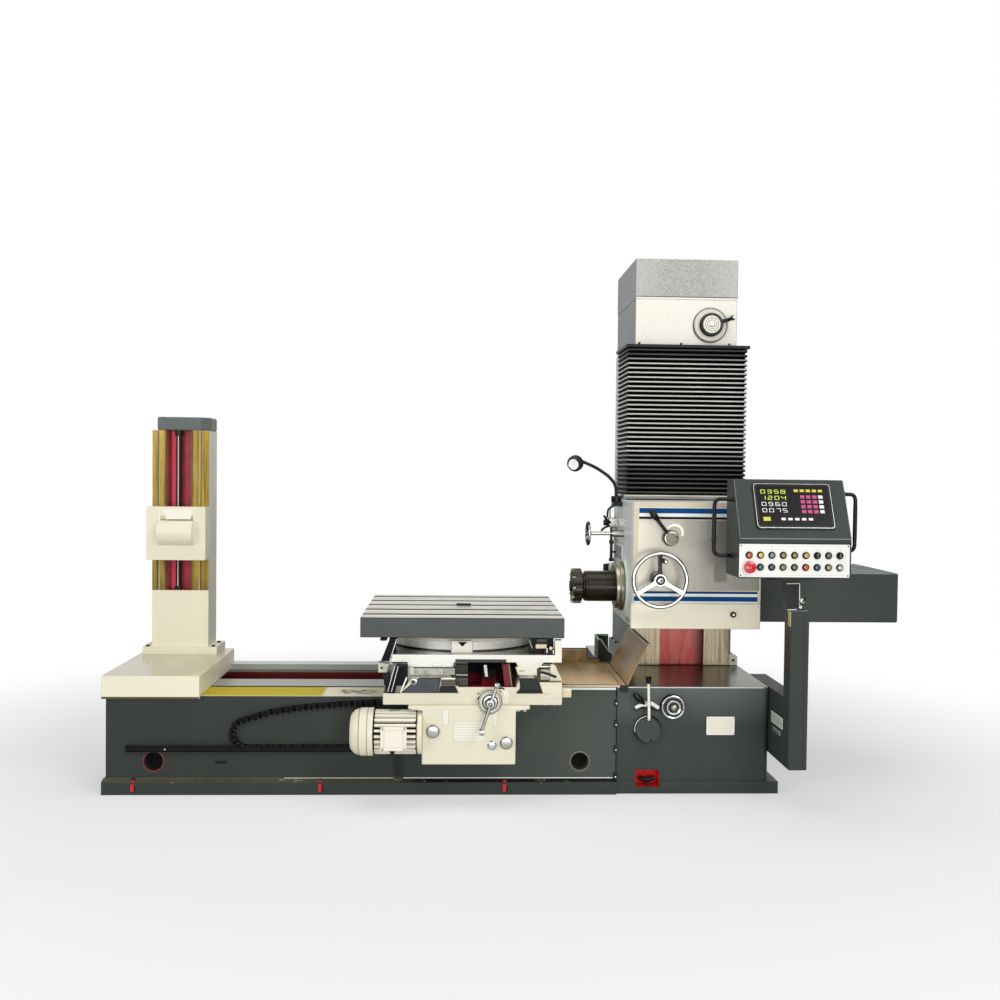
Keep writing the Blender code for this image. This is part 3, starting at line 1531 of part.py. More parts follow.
def table(coat):
    front, back = TABLE_Y
    low, high = TABLE_BOTTOM_Z, TABLE_TOP_Z
    outline = [(back, low), (front, low), (front, high - TABLE_EDGE), (front + TABLE_EDGE, high)]
    for slot in range(SLOT_COUNT):
        y = TURN_Y + (slot - (SLOT_COUNT - 1) / 2) * SLOT_PITCH
        outline += [
            (y - SLOT_NECK / 2, high),
            (y - SLOT_NECK / 2, high - SLOT_NECK_DEEP),
            (y - SLOT_HEAD / 2, high - SLOT_NECK_DEEP),
            (y - SLOT_HEAD / 2, high - SLOT_DEEP),
            (y + SLOT_HEAD / 2, high - SLOT_DEEP),
            (y + SLOT_HEAD / 2, high - SLOT_NECK_DEEP),
            (y + SLOT_NECK / 2, high - SLOT_NECK_DEEP),
            (y + SLOT_NECK / 2, high),
        ]
    outline += [(back - TABLE_EDGE, high), (back, high - TABLE_EDGE)]
    made = prism("table", outline, "X", -TABLE_HALF_X, TABLE_HALF_X)
    return dress(made, coat["dark"])


# Tail column
def tail_base(coat):
    front = FRONT_Y - TAIL_FRONT_OUT
    lap = BED_TOP_Z - TAIL_LAP
    outline = [
        (front, lap),
        (front, TAIL_TOP_Z),
        (BED_BACK_Y, TAIL_TOP_Z),
        (BED_BACK_Y, REAR_RAIL_Z + GAP),
        (REAR_RAIL_Y - GAP, REAR_RAIL_Z + GAP),
        (REAR_RAIL_Y - GAP, BED_TOP_Z + GAP),
        (FRONT_Y - GAP, BED_TOP_Z + GAP),
        (FRONT_Y - GAP, lap),
    ]
    return dress(prism("tail_base", outline, "X", *TAIL_X), coat["cream"])


def tail_column(coat):
    """The bearer's column: a plinth, a deep slot for the screw and a groove in each way."""
    bottom = TAIL_TOP_Z + GAP
    left, right = TAIL_COLUMN_X
    back = BED_BACK_Y - TAIL_COLUMN_SET_IN
    made = block("tail_column", TAIL_COLUMN_X, (WAY_FRONT_Y, back), (bottom, TAIL_COLUMN_TOP_Z))
    plinth = block(
        "tail_plinth_form",
        (left - PLINTH_LEFT, right + PLINTH_RIGHT),
        (WAY_FRONT_Y - PLINTH_FRONT, BED_BACK_Y),
        (bottom, PLINTH_TOP_Z),
    )
    combine(made, [plinth])
    above = TAIL_COLUMN_TOP_Z + PAST
    recess_x = left + TAIL_RECESS_LEFT
    cutters = [
        block(
            "tail_recess_form",
            (recess_x, recess_x + TAIL_RECESS_WIDE),
            (WAY_FRONT_Y - PAST, WAY_FRONT_Y + TAIL_RECESS_DEEP),
            (TAIL_RECESS_BOTTOM_Z, above),
        )
    ]
    for index, offset in enumerate(TAIL_GROOVES):
        x = left + offset
        cutters.append(
            block(
                f"tail_groove_form_{index}",
                (x - TAIL_GROOVE_WIDE / 2, x + TAIL_GROOVE_WIDE / 2),
                (WAY_FRONT_Y - PAST, WAY_FRONT_Y + TAIL_GROOVE_DEEP),
                (TAIL_RECESS_BOTTOM_Z, above),
            )
        )
    cut(made, cutters)
    return dress(made, coat["cream"])


def tail_cap(coat):
    left, right = TAIL_COLUMN_X[0] + TAIL_CAP_LEFT, TAIL_COLUMN_X[1]
    front = WAY_FRONT_Y + TAIL_COLUMN_SET_IN
    back = BED_BACK_Y - TAIL_COLUMN_SET_IN
    outline = [
        (left, back),
        (left, front),
        (right - TAIL_CAP_CORNER, front),
        (right, front + TAIL_CAP_CORNER),
        (right, back),
    ]
    bottom = TAIL_COLUMN_TOP_Z + GAP
    made = prism("tail_cap", outline, "Z", bottom, TAIL_COLUMN_TOP_Z + TAIL_CAP_HIGH)
    return dress(bevel(made, TAIL_CAP_EDGE), coat["dark"])


def tail_screw(coat):
    made = drum(
        "tail_screw",
        "Z",
        (TAIL_COLUMN_X[0] + TAIL_SCREW_LEFT, WAY_FRONT_Y + TAIL_SCREW_DEEP, 0.0),
        TAIL_SCREW_R,
        TAIL_RECESS_BOTTOM_Z + GAP,
        TAIL_COLUMN_TOP_Z - GAP,
        14,
    )
    return dress(made, coat["steel"])


def tail_block(coat):
    """The bearing block for the boring bar, with a lying boss under a sloped pocket."""
    front, back = WAY_FRONT_Y - TAIL_BLOCK_OUT, WAY_FRONT_Y - GAP
    left = TAIL_COLUMN_X[0] - TAIL_BLOCK_SIDE[0]
    right = TAIL_COLUMN_X[1] + TAIL_BLOCK_SIDE[1]
    made = block("tail_block", (left, right), (front, back), TAIL_BLOCK_Z)
    boss_x = (TAIL_COLUMN_X[0] + TAIL_BOSS_X[0], TAIL_COLUMN_X[0] + TAIL_BOSS_X[1])
    pocket = prism(
        "tail_pocket_form",
        [
            (front - TAIL_POCKET_DEEP, TAIL_POCKET_Z[1]),
            (front + TAIL_POCKET_DEEP, TAIL_POCKET_Z[0]),
            (front + TAIL_POCKET_DEEP, TAIL_BOSS_Z),
            (front - TAIL_POCKET_DEEP, TAIL_BOSS_Z),
        ],
        "X",
        boss_x[0] + TAIL_POCKET_IN,
        boss_x[1] - TAIL_POCKET_IN / 2,
    )
    boss = drum(
        "tail_boss_form",
        "X",
        (0.0, front + TAIL_BOSS_BACK, TAIL_BOSS_Z),
        TAIL_BOSS_R,
        boss_x[0],
        boss_x[1],
        24,
    )
    cut(made, [pocket])
    combine(made, [boss])
    return dress(made, coat["cream"])


# Control pendant
def pendant_post(coat):
    made = block("pendant_post", POST_X, POST_Y, (POST_BOTTOM_Z, POST_TOP_Z))
    arm = block("post_arm_form", POST_X, (POST_Y[0], POST_ARM_BACK_Y), (POST_BOTTOM_Z, BASE_TOP_Z))
    combine(made, [arm])
    return dress(bevel(made, CAST_EDGE, 1, 60.0), coat["post"])


def pendant_bracket(coat):
    """The swivel on the post: a ring, an upright plate and the plate that carries the box."""
    x, y = PIVOT
    top = PENDANT_Z[0] - GAP
    bottom = POST_TOP_Z + GAP
    made = drum("pendant_bracket", "Z", (x, y, 0.0), BRACKET_RING_R, bottom, bottom + BRACKET_RING_HIGH, 20)
    web = block(
        "bracket_web_form",
        (x - BRACKET_LEFT, x + BRACKET_RIGHT),
        (y - BRACKET_DEEP, y + BRACKET_DEEP),
        (bottom + GAP, top - GAP),
    )
    plate = block(
        "bracket_plate_form",
        (x - 2 * BRACKET_LEFT, x + BRACKET_TOP_HALF),
        (y - BRACKET_TOP_HALF, y + BRACKET_TOP_HALF),
        (top - BRACKET_TOP_PLATE, top),
    )
    combine(made, [web, plate])
    return dress(made, coat["post"])


def pendant_box(coat):
    front, top_front, back = PENDANT_Y
    low, fold, top = PENDANT_Z
    outline = [(back, low), (front, low), (front, fold), (top_front, top), (back, top)]
    made = prism("pendant_box", outline, "X", *PENDANT_X)
    return dress(bevel(made, PENDANT_EDGE, 1, 25.0), coat["post"])


def screen_bezel(coat):
    """A frame round a recessed screen, lying on the sloping face of the pendant box."""
    low_x, high_x = PENDANT_X[0] + BEZEL_INSET[0], PENDANT_X[1] - BEZEL_INSET[1]
    front, top_front, _ = PENDANT_Y
    _, fold, top = PENDANT_Z
    along = Vector((top_front - front, top - fold))
    length = along.length
    along.normalize()
    out = Vector((-along.y, along.x))
    start = Vector((front, fold))

    def slab(name, x, share, depth):
        corners = [
            start + along * share[0] * length + out * depth[0],
            start + along * share[1] * length + out * depth[0],
            start + along * share[1] * length + out * depth[1],
            start + along * share[0] * length + out * depth[1],
        ]
        return prism(name, [tuple(corner) for corner in corners], "X", *x)

    made = slab("screen_bezel", (low_x, high_x), BEZEL_SHARE, (GAP, BEZEL_THICK))
    window = slab(
        "bezel_window_form",
        (low_x + BEZEL_FRAME, high_x - BEZEL_FRAME),
        (BEZEL_SHARE[0] + BEZEL_FRAME_SHARE, BEZEL_SHARE[1] - BEZEL_FRAME_SHARE),
        (BEZEL_THICK - BEZEL_RECESS, PAST),
    )
    cut(made, [window])
    return dress(made, coat["plastic"])


def pendant_handle(name, wall, out, heights, material):
    """A bent bar whose two ends stand on a side of the box."""
    inset = math.copysign(GAP, out)
    low, high = (PENDANT_Z[0] + height for height in heights)
    end = wall + out
    path = [
        (wall + inset, HANDLE_Y, low),
        (end, HANDLE_Y, low),
        (end, HANDLE_Y, high),
        (wall + inset, HANDLE_Y, high),
    ]
    return smooth(dress(bent_tube(name, path, HANDLE_R, 5, HANDLE_BEND), material))


def pendant_handle_left(coat):
    return pendant_handle(
        "pendant_handle_left", PENDANT_X[0], -LEFT_HANDLE_OUT, LEFT_HANDLE_Z, coat["black"]
    )


def pendant_handle_right(coat):
    return pendant_handle(
        "pendant_handle_right", PENDANT_X[1], RIGHT_HANDLE_OUT, RIGHT_HANDLE_Z, coat["black"]
    )


FIXED = (
    bed,
    chain_tray,
    drag_chain,
    column_base,
    column,
    column_cover,
    column_cap,
    bellows,
    chip_tray,
    chip_guard,
    base_dial,
    pendant_post,
)

# Each moving group: its pivot's name, a place on its joint's axis, the group that carries it, its pieces
MOVING = (
    ("cover_crank_axis", (CRANK_PLACE[0], WAY_FRONT_Y, CRANK_PLACE[1]), None, (cover_crank,)),
    ("base_lever_axis", (BASE_LEVER_X, FRONT_Y, BASE_LEVER_Z), None, (base_lever,)),
    (
        "headstock_axis",
        (HEAD_LEFT_X, WAY_FRONT_Y, HEAD_Z[0]),
        None,
        (
            headstock,
            headstock_lower_cover,
            bellows_foot,
            spindle_tail_box,
            spindle_flange,
            lamp_arm,
            lamp_head,
        ),
    ),
    ("handwheel_axis", (WHEEL_X, FRONT_Y, WHEEL_Z), "headstock_axis", (handwheel,)),
    ("speed_lever_axis", (LEVER_X, FRONT_Y, LEVER_Z), "headstock_axis", (speed_lever,)),
    (
        "side_handwheel_axis",
        (HEAD_LEFT_X, SIDE_WHEEL_Y, SIDE_WHEEL_Z),
        "headstock_axis",
        (side_handwheel,),
    ),
    ("spindle_axis", (HEAD_LEFT_X, 0.0, SPINDLE_Z), "headstock_axis", (spindle_sleeve,)),
    ("feed_axis", (SLEEVE_FRONT_X, 0.0, SPINDLE_Z), "spindle_axis", (boring_spindle, face_mill)),
    (
        "saddle_axis",
        (0.0, SADDLE_FRONT_Y, BED_TOP_Z),
        None,
        (lower_saddle, cross_screw, apron, feed_motor),
    ),
    (
        "apron_crank_axis",
        (APRON_CRANK_X, APRON_FRONT_Y, APRON_CRANK_Z),
        "saddle_axis",
        (apron_crank,),
    ),
    ("cross_axis", (0.0, TABLE_Y[0], SADDLE_WAY_TOP_Z), "saddle_axis", (upper_saddle, round_base)),
    ("table_axis", (0.0, TURN_Y, TABLE_BOTTOM_Z), "cross_axis", (table,)),
    (
        "tail_axis",
        (TAIL_X[0], FRONT_Y, BED_TOP_Z),
        None,
        (tail_base, tail_column, tail_cap, tail_screw),
    ),
    ("tail_block_axis", (TAIL_COLUMN_X[0], WAY_FRONT_Y, TAIL_BOSS_Z), "tail_axis", (tail_block,)),
    (
        "pendant_axis",
        (PIVOT[0], PIVOT[1], POST_TOP_Z),
        None,
        (pendant_bracket, pendant_box, screen_bezel, pendant_handle_left, pendant_handle_right),
    ),
)


def hang(item, carrier, place):
    """Parents an item to a pivot without moving it."""
    item.parent = carrier
    item.matrix_parent_inverse = Matrix.Translation(place).inverted()


def build():
    clear_scene()
    coat = materials()
    for make in FIXED:
        make(coat)
    pivots = {}
    for name, place, carrier, makers in MOVING:
        pivot = bpy.data.objects.new(name, None)
        pivot.location = place
        bpy.context.scene.collection.objects.link(pivot)
        pivots[name] = (pivot, place)
        if carrier:
            hang(pivot, *pivots[carrier])
        for make in makers:
            hang(make(coat), pivot, place)


build()
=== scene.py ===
import math

import bmesh
import bpy
from mathutils import Matrix, Vector

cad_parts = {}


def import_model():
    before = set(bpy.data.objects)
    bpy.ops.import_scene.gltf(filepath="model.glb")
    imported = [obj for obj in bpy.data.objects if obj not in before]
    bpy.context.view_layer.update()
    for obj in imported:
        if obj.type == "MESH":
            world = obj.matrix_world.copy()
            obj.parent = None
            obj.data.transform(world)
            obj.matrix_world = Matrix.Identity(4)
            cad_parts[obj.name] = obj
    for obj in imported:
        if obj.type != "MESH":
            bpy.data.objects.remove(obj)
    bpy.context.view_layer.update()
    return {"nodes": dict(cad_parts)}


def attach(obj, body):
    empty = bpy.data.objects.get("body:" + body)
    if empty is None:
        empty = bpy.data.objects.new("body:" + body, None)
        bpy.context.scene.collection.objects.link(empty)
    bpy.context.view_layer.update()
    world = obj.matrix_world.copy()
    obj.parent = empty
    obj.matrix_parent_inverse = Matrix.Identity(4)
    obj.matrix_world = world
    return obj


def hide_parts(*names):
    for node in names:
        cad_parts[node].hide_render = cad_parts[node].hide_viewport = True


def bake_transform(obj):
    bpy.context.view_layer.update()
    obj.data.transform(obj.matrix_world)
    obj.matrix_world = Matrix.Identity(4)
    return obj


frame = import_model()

NODES = frame["nodes"]
TAU = math.tau

# Places on the machine, in metres, in the frame of the solids
FRONT_Y = -0.3125
BED_TOP_Z = 0.489
BED_BACK_Y = 0.500
BASE_TOP_Z = 0.540
WAY_Y = 0.304
SPINDLE_Z = 1.018
HEAD_LEFT_X = 0.858
PLATE_LOW_Z = 0.966
HEAD_TOP_Z = 1.476
SADDLE_Y = -0.500
APRON_Y = -0.530
TURN_Y = 0.040
CAP_LINE_Z = 2.6085
BELLOWS_BACK_Y = 0.620
GAP_TO_WALL = 0.0008
LEVEL_SCREW_X = (-1.624, -0.701, 0.219)
COLUMN_BACK_Y = 0.956
BASE_BACK_Y = 0.975
CRANK_X = 0.134
CRANK_Z = 0.512
PENDANT_FACE_Y = -0.720


# colours and node nets
def lin(red, green, blue):
    """A display colour from 0 to 255 as the linear colour that shaders take."""
    made = []
    for value in (red, green, blue):
        share = value / 255
        made.append(share / 12.92 if share <= 0.04045 else ((share + 0.055) / 1.055) ** 2.4)
    return tuple(made)


def shade(colour, factor):
    return tuple(min(max(part * factor, 0.0), 1.0) for part in colour)


class Net:
    """One material: its nodes are added by short calls."""

    def __init__(self, name):
        self.material = bpy.data.materials.new(name)
        self.material.use_nodes = True
        self.tree = self.material.node_tree
        self.shader = self.tree.nodes["Principled BSDF"]
        self.place = self.tree.nodes.new("ShaderNodeTexCoord")
        self.parts = None
        self.facing = None

    def add(self, kind, **values):
        made = self.tree.nodes.new(kind)
        for key, value in values.items():
            setattr(made, key, value)
        return made

    def feed(self, socket, value):
        if isinstance(value, bpy.types.NodeSocket):
            self.tree.links.new(value, socket)
        elif isinstance(value, (tuple, list)) and len(value) == 3 and socket.type == "RGBA":
            socket.default_value = (*value, 1.0)
        else:
            socket.default_value = value

    def axis(self, index):
        if self.parts is None:
            self.parts = self.add("ShaderNodeSeparateXYZ")
            self.tree.links.new(self.place.outputs["Object"], self.parts.inputs[0])
        return self.parts.outputs[index]

    def normal(self, index):
        if self.facing is None:
            self.facing = self.add("ShaderNodeSeparateXYZ")
            self.tree.links.new(self.place.outputs["Normal"], self.facing.inputs[0])
        return self.facing.outputs[index]

    def noise(self, scale, detail=3.0, stretch=None, rough=0.5):
        source = self.place.outputs["Object"]
        if stretch:
            mapping = self.add("ShaderNodeMapping")
            mapping.inputs["Scale"].default_value = stretch
            self.tree.links.new(source, mapping.inputs["Vector"])
            source = mapping.outputs[0]
        made = self.add("ShaderNodeTexNoise")
        made.inputs["Scale"].default_value = scale
        made.inputs["Detail"].default_value = detail
        made.inputs["Roughness"].default_value = rough
        self.tree.links.new(source, made.inputs["Vector"])
        return made.outputs["Fac"]

    def ramp(self, value, low, high, to_low=0.0, to_high=1.0):
        made = self.add("ShaderNodeMapRange")
        self.feed(made.inputs["Value"], value)
        made.inputs["From Min"].default_value = low
        made.inputs["From Max"].default_value = high
        made.inputs["To Min"].default_value = to_low
        made.inputs["To Max"].default_value = to_high
        return made.outputs["Result"]

    def math(self, operation, first, second=0.0):
        made = self.add("ShaderNodeMath", operation=operation)
        self.feed(made.inputs[0], first)
        self.feed(made.inputs[1], second)
        return made.outputs[0]

    def mix(self, share, first, second):
        made = self.add("ShaderNodeMix", data_type="RGBA")
        self.feed(made.inputs["Factor"], share)
        self.feed(made.inputs["A"], first)
        self.feed(made.inputs["B"], second)
        return made.outputs["Result"]

    def blend(self, share, first, second):
        made = self.add("ShaderNodeMix", data_type="FLOAT")
        self.feed(made.inputs["Factor"], share)
        self.feed(made.inputs["A"], first)
        self.feed(made.inputs["B"], second)
        return made.outputs["Result"]

    def band(self, value, low, high, soft=0.0008):
        rise = self.ramp(value, low - soft, low + soft)
        fall = self.ramp(value, high - soft, high + soft, 1.0, 0.0)
        return self.math("MULTIPLY", rise, fall)

    def both(self, *masks):
        made = masks[0]
        for mask in masks[1:]:
            made = self.math("MULTIPLY", made, mask)
        return made

    def up(self):
        """A mask of the faces that look up."""
        return self.ramp(self.normal(2), 0.6, 0.8)

    def front(self):
        """A mask of the faces that look to the front."""
        return self.ramp(self.normal(1), -0.8, -0.6, 1.0, 0.0)

    def wrap(self, value, half):
        """Folds a value into the span from -half to half, again and again."""
        made = self.add("ShaderNodeMath", operation="WRAP")
        self.feed(made.inputs[0], value)
        made.inputs[1].default_value = half
        made.inputs[2].default_value = -half
        return made.outputs[0]

    def colour(self, value):
        self.feed(self.shader.inputs["Base Color"], value)

    def set(self, key, value):
        self.feed(self.shader.inputs[key], value)

    def bump(self, height, strength=0.3, distance=0.001):
        made = self.add("ShaderNodeBump")
        made.inputs["Strength"].default_value = strength
        made.inputs["Distance"].default_value = distance
        self.tree.links.new(height, made.inputs["Height"])
        self.tree.links.new(made.outputs[0], self.shader.inputs["Normal"])


def painted(net, colour, mottle=0.05, grime=0.10, dirt=lin(92, 80, 60)):
    """Paint with broad unevenness, faint runs and specks of old oil."""
    broad = net.ramp(net.noise(2.3, 4.0), 0.35, 0.65)
    made = net.mix(broad, shade(colour, 1 - mottle), shade(colour, 1 + mottle * 0.6))
    runs = net.ramp(net.noise(9.0, 3.0, (1.0, 1.0, 0.12)), 0.56, 0.80, 0.0, grime * 0.7)
    made = net.mix(runs, made, dirt)
    specks = net.ramp(net.noise(140.0, 2.0), 0.69, 0.76, 0.0, grime * 1.3)
    return net.mix(specks, made, shade(dirt, 0.7))


def paint(
    name, colour, rough=0.42, mottle=0.05, grime=0.10, peel=0.10, coat=0.0, dirt=lin(92, 80, 60), shine=0.5
):
    net = Net(name)
    net.set("Specular IOR Level", shine)
    net.colour(painted(net, colour, mottle, grime, dirt))
    net.set("Roughness", net.ramp(net.noise(7.0, 4.0), 0.3, 0.7, rough - 0.07, rough + 0.10))
    net.set("Coat Weight", coat)
    net.bump(net.noise(260.0, 2.0), peel, 0.0006)
    return net.material


def speckled(net, colour, dark, light, scale):
    """Structure paint: a ground with darker and lighter grains."""
    grain = net.noise(scale, 3.0, None, 0.7)
    made = net.mix(net.ramp(grain, 0.36, 0.50), dark, colour)
    made = net.mix(net.ramp(grain, 0.54, 0.68), made, light)
    made = net.mix(net.ramp(net.noise(2.6, 3.0), 0.35, 0.7, 0.0, 0.10), made, shade(colour, 0.86))
    return made, grain


def grey_sides(net, made, side):
    flat = net.mix(net.ramp(net.noise(3.0, 4.0), 0.3, 0.7), shade(side, 0.93), shade(side, 1.05))
    aside = net.math("ABSOLUTE", net.normal(0), 0.0)
    return net.mix(net.ramp(aside, 0.6, 0.75), made, flat)


def speckle(name, colour, dark, light, scale=210.0, rough=0.45, side=None):
    """Hammer-finish or fine structure paint, with its sides in another colour where one is given."""
    net = Net(name)
    made, grain = speckled(net, colour, dark, light, scale)
    if side:
        made = grey_sides(net, made, side)
    net.colour(made)
    net.set("Roughness", net.ramp(grain, 0.35, 0.65, rough - 0.08, rough + 0.10))
    net.bump(grain, 0.22, 0.0010)
    return net.material


def metal(
    name, colour, rough=0.25, stretch=(1.0, 1.0, 1.0), streak=160.0, contrast=0.12, shine=1.0, grain=0.12
):
    """Bare metal whose tool marks run along the axis with the smallest stretch."""
    net = Net(name)
    lines = net.noise(streak, 3.0, stretch, 0.6)
    broad = net.noise(5.0, 4.0)
    made = net.mix(net.ramp(lines, 0.35, 0.65), shade(colour, 1 - contrast), shade(colour, 1 + contrast))
    made = net.mix(net.ramp(broad, 0.45, 0.75, 0.0, 0.30), made, shade(colour, 0.72))
    net.colour(made)
    net.set("Metallic", shine)
    net.set("Roughness", net.ramp(broad, 0.3, 0.7, max(rough - 0.06, 0.03), rough + 0.10))
    net.bump(lines, grain, 0.0004)
    return net.material


# materials
M = {
    "cream": paint("cream_enamel", lin(226, 219, 195), 0.40, 0.03, 0.10, coat=0.15),
    "cream_light": paint("cream_enamel_light", lin(236, 231, 214), 0.38, 0.03, 0.08, coat=0.15),
    "beige": paint("beige_border", lin(214, 202, 176), 0.42, 0.04, 0.10),
    "dark": paint(
        "machine_grey_enamel", lin(64, 69, 65), 0.40, 0.10, 0.12, 0.12, 0.0, lin(104, 96, 78), 0.20
    ),
    "darker": paint("deep_grey_enamel", lin(34, 37, 36), 0.42, 0.08, 0.12, 0.12, 0.0, lin(70, 66, 54), 0.20),
    "pendant": paint("pendant_grey", lin(56, 62, 58), 0.42, 0.07, 0.08, 0.14, 0.0, lin(96, 92, 80), 0.18),
    "pale": paint("pale_grey_enamel", lin(218, 225, 217), 0.36, 0.04, 0.10, 0.10, 0.1, shine=0.35),
    "pale_mid": paint("mid_grey_enamel", lin(138, 145, 140), 0.42, 0.05, 0.12, shine=0.3),
    "cap_grey": paint("tail_cap_grey", lin(94, 100, 97), 0.42, 0.05, 0.08, 0.12, 0.0, lin(70, 66, 56), 0.25),
    "blue": paint("blue_stripe", lin(2, 72, 130), 0.46, 0.10, 0.05, shine=0.06),
    "navy": paint("dark_blue_line", lin(6, 22, 52), 0.46, 0.06, 0.05, shine=0.06),
    "white": paint("white_enamel", lin(238, 238, 232), 0.38, 0.02, 0.05),
    "data_plate": paint("grey_data_plate", lin(142, 141, 128), 0.46, 0.05, 0.05, shine=0.10),
    "red": paint("red_enamel", lin(150, 38, 40), 0.42, 0.10, 0.20, dirt=lin(60, 24, 20)),
    # dark oily steel; at the way end beside the wiper it also stands for painted shade
    "oil_and_shade_block": paint(
        "oily_steel_and_painted_shade", lin(86, 82, 72), 0.36, 0.30, 0.40, dirt=lin(30, 28, 22), shine=0.2
    ),
    "signal_red": paint(
        "signal_red_enamel", lin(214, 34, 40), 0.42, 0.10, 0.20, dirt=lin(60, 24, 20), shine=0.3
    ),
    "red_bright": paint(
        "crimson_enamel", lin(190, 52, 70), 0.42, 0.10, 0.10, dirt=lin(90, 24, 30), shine=0.25
    ),
    "strip": paint("brown_wiper_strip", lin(84, 66, 42), 0.42, 0.20, 0.25, dirt=lin(196, 180, 140)),
    "rose": paint("faded_red_enamel", lin(108, 30, 36), 0.42, 0.14, 0.20, dirt=lin(60, 24, 26), shine=0.2),
    "slate": paint("slate_blue_rubber", lin(62, 68, 74), 0.34, 0.10, 0.10, dirt=lin(30, 32, 36), shine=0.3),
    "edge_white": paint("washed_white_metal", lin(238, 234, 220), 0.36, 0.05, 0.10, dirt=lin(170, 164, 146)),
    "steel_light": metal("bright_ground_steel", lin(150, 148, 138), 0.30, (0.5, 1.0, 1.0), 36.0, 0.30, 0.5),
    "red_dark": paint("oxide_red_inside", lin(92, 20, 20), 0.50, 0.14, 0.25, dirt=lin(30, 16, 14)),
    "green_white": paint("pale_green_edge", lin(176, 198, 178), 0.42, 0.05, 0.10),
    "steel": metal("turned_steel", lin(196, 193, 184), 0.26, (1.0, 1.0, 1.0), 120.0),
    "steel_x": metal("ground_steel_along", lin(190, 187, 176), 0.28, (0.04, 1.0, 1.0), 130.0),
    "gunmetal": metal("blackened_steel", lin(35, 33, 25), 0.30, (1.0, 1.0, 1.0), 120.0, 0.20, 0.75),
    "nose": metal("oiled_steel_ring", lin(150, 147, 128), 0.30, (1.0, 1.0, 1.0), 160.0, 0.10),
    "cutter": metal("cutter_body_steel", lin(52, 46, 40), 0.34, (1.0, 1.0, 1.0), 150.0, 0.25, 0.75),
    "carbide": metal("carbide_insert", lin(176, 168, 150), 0.30, (1.0, 1.0, 1.0), 200.0, 0.12, 0.9),
    "bolt": metal("black_oxide_screw", lin(40, 40, 40), 0.36, (1.0, 1.0, 1.0), 220.0, 0.20, 0.8),
    "zinc": metal("zinc_plated_screw", lin(186, 184, 172), 0.30, (1.0, 1.0, 1.0), 220.0, 0.14),
    # light edges: worn paint on some parts, a painted highlight line on the tray's inner edge
    "edge_light": paint("worn_light_edge_and_painted_highlight", lin(226, 206, 170), 0.40, 0.06, 0.12, shine=0.3),
    "bronze_edge": paint("worn_bronze_edge", lin(150, 124, 84), 0.40, 0.08, 0.12, shine=0.3),
    # brass-toned painted highlight for a lit edge
    "brass": metal("brass_tone_painted_highlight", lin(196, 176, 122), 0.34, (1.0, 1.0, 0.1), 160.0, 0.14, 0.9),
}


def rubber(name, colour, rough=0.45, grain=0.25, shine=0.25):
    net = Net(name)
    net.set("Specular IOR Level", shine)
    fine = net.noise(480.0, 3.0)
    dust = net.ramp(net.noise(6.0, 5.0), 0.50, 0.80, 0.0, 0.30)
    net.colour(net.mix(dust, shade(colour, 0.9), shade(colour, 1.9)))
    net.set("Roughness", net.ramp(fine, 0.3, 0.7, rough - 0.08, rough + 0.12))
    net.bump(fine, grain, 0.0005)
    return net.material


M["rubber"] = rubber("black_rubber", lin(14, 15, 16), 0.46)
M["plastic"] = rubber("black_plastic_grain", lin(17, 18, 18), 0.38, 0.12)
M["gloss"] = rubber("glossy_black_knob", lin(6, 6, 7), 0.20, 0.02, 0.22)
M["pleat"] = rubber("bellows_cloth_black", lin(7, 7, 7), 0.55, 0.30, 0.15)
# light ridge colours of the bellows: painted highlights, strong, half and faint
M["pleat_highlight"] = rubber("bellows_cloth_painted_highlight", lin(196, 198, 190), 0.36, 0.20)
M["pleat_half_highlight"] = rubber("bellows_cloth_half_painted_highlight", lin(136, 138, 134), 0.38, 0.25)
M["pleat_faint_highlight"] = rubber("bellows_cloth_faint_painted_highlight", lin(62, 64, 62), 0.38, 0.25)
M["tray_black"] = rubber("tray_black_enamel", lin(7, 8, 8), 0.40, 0.10, 0.12)
M["link"] = rubber("chain_link_nylon", lin(9, 9, 10), 0.42, 0.15, 0.12)
M["link_light"] = rubber("chain_pin_worn", lin(84, 86, 84), 0.42, 0.10, 0.20)
M["hole"] = rubber("dark_inside", lin(9, 9, 9), 0.8, 0.1)


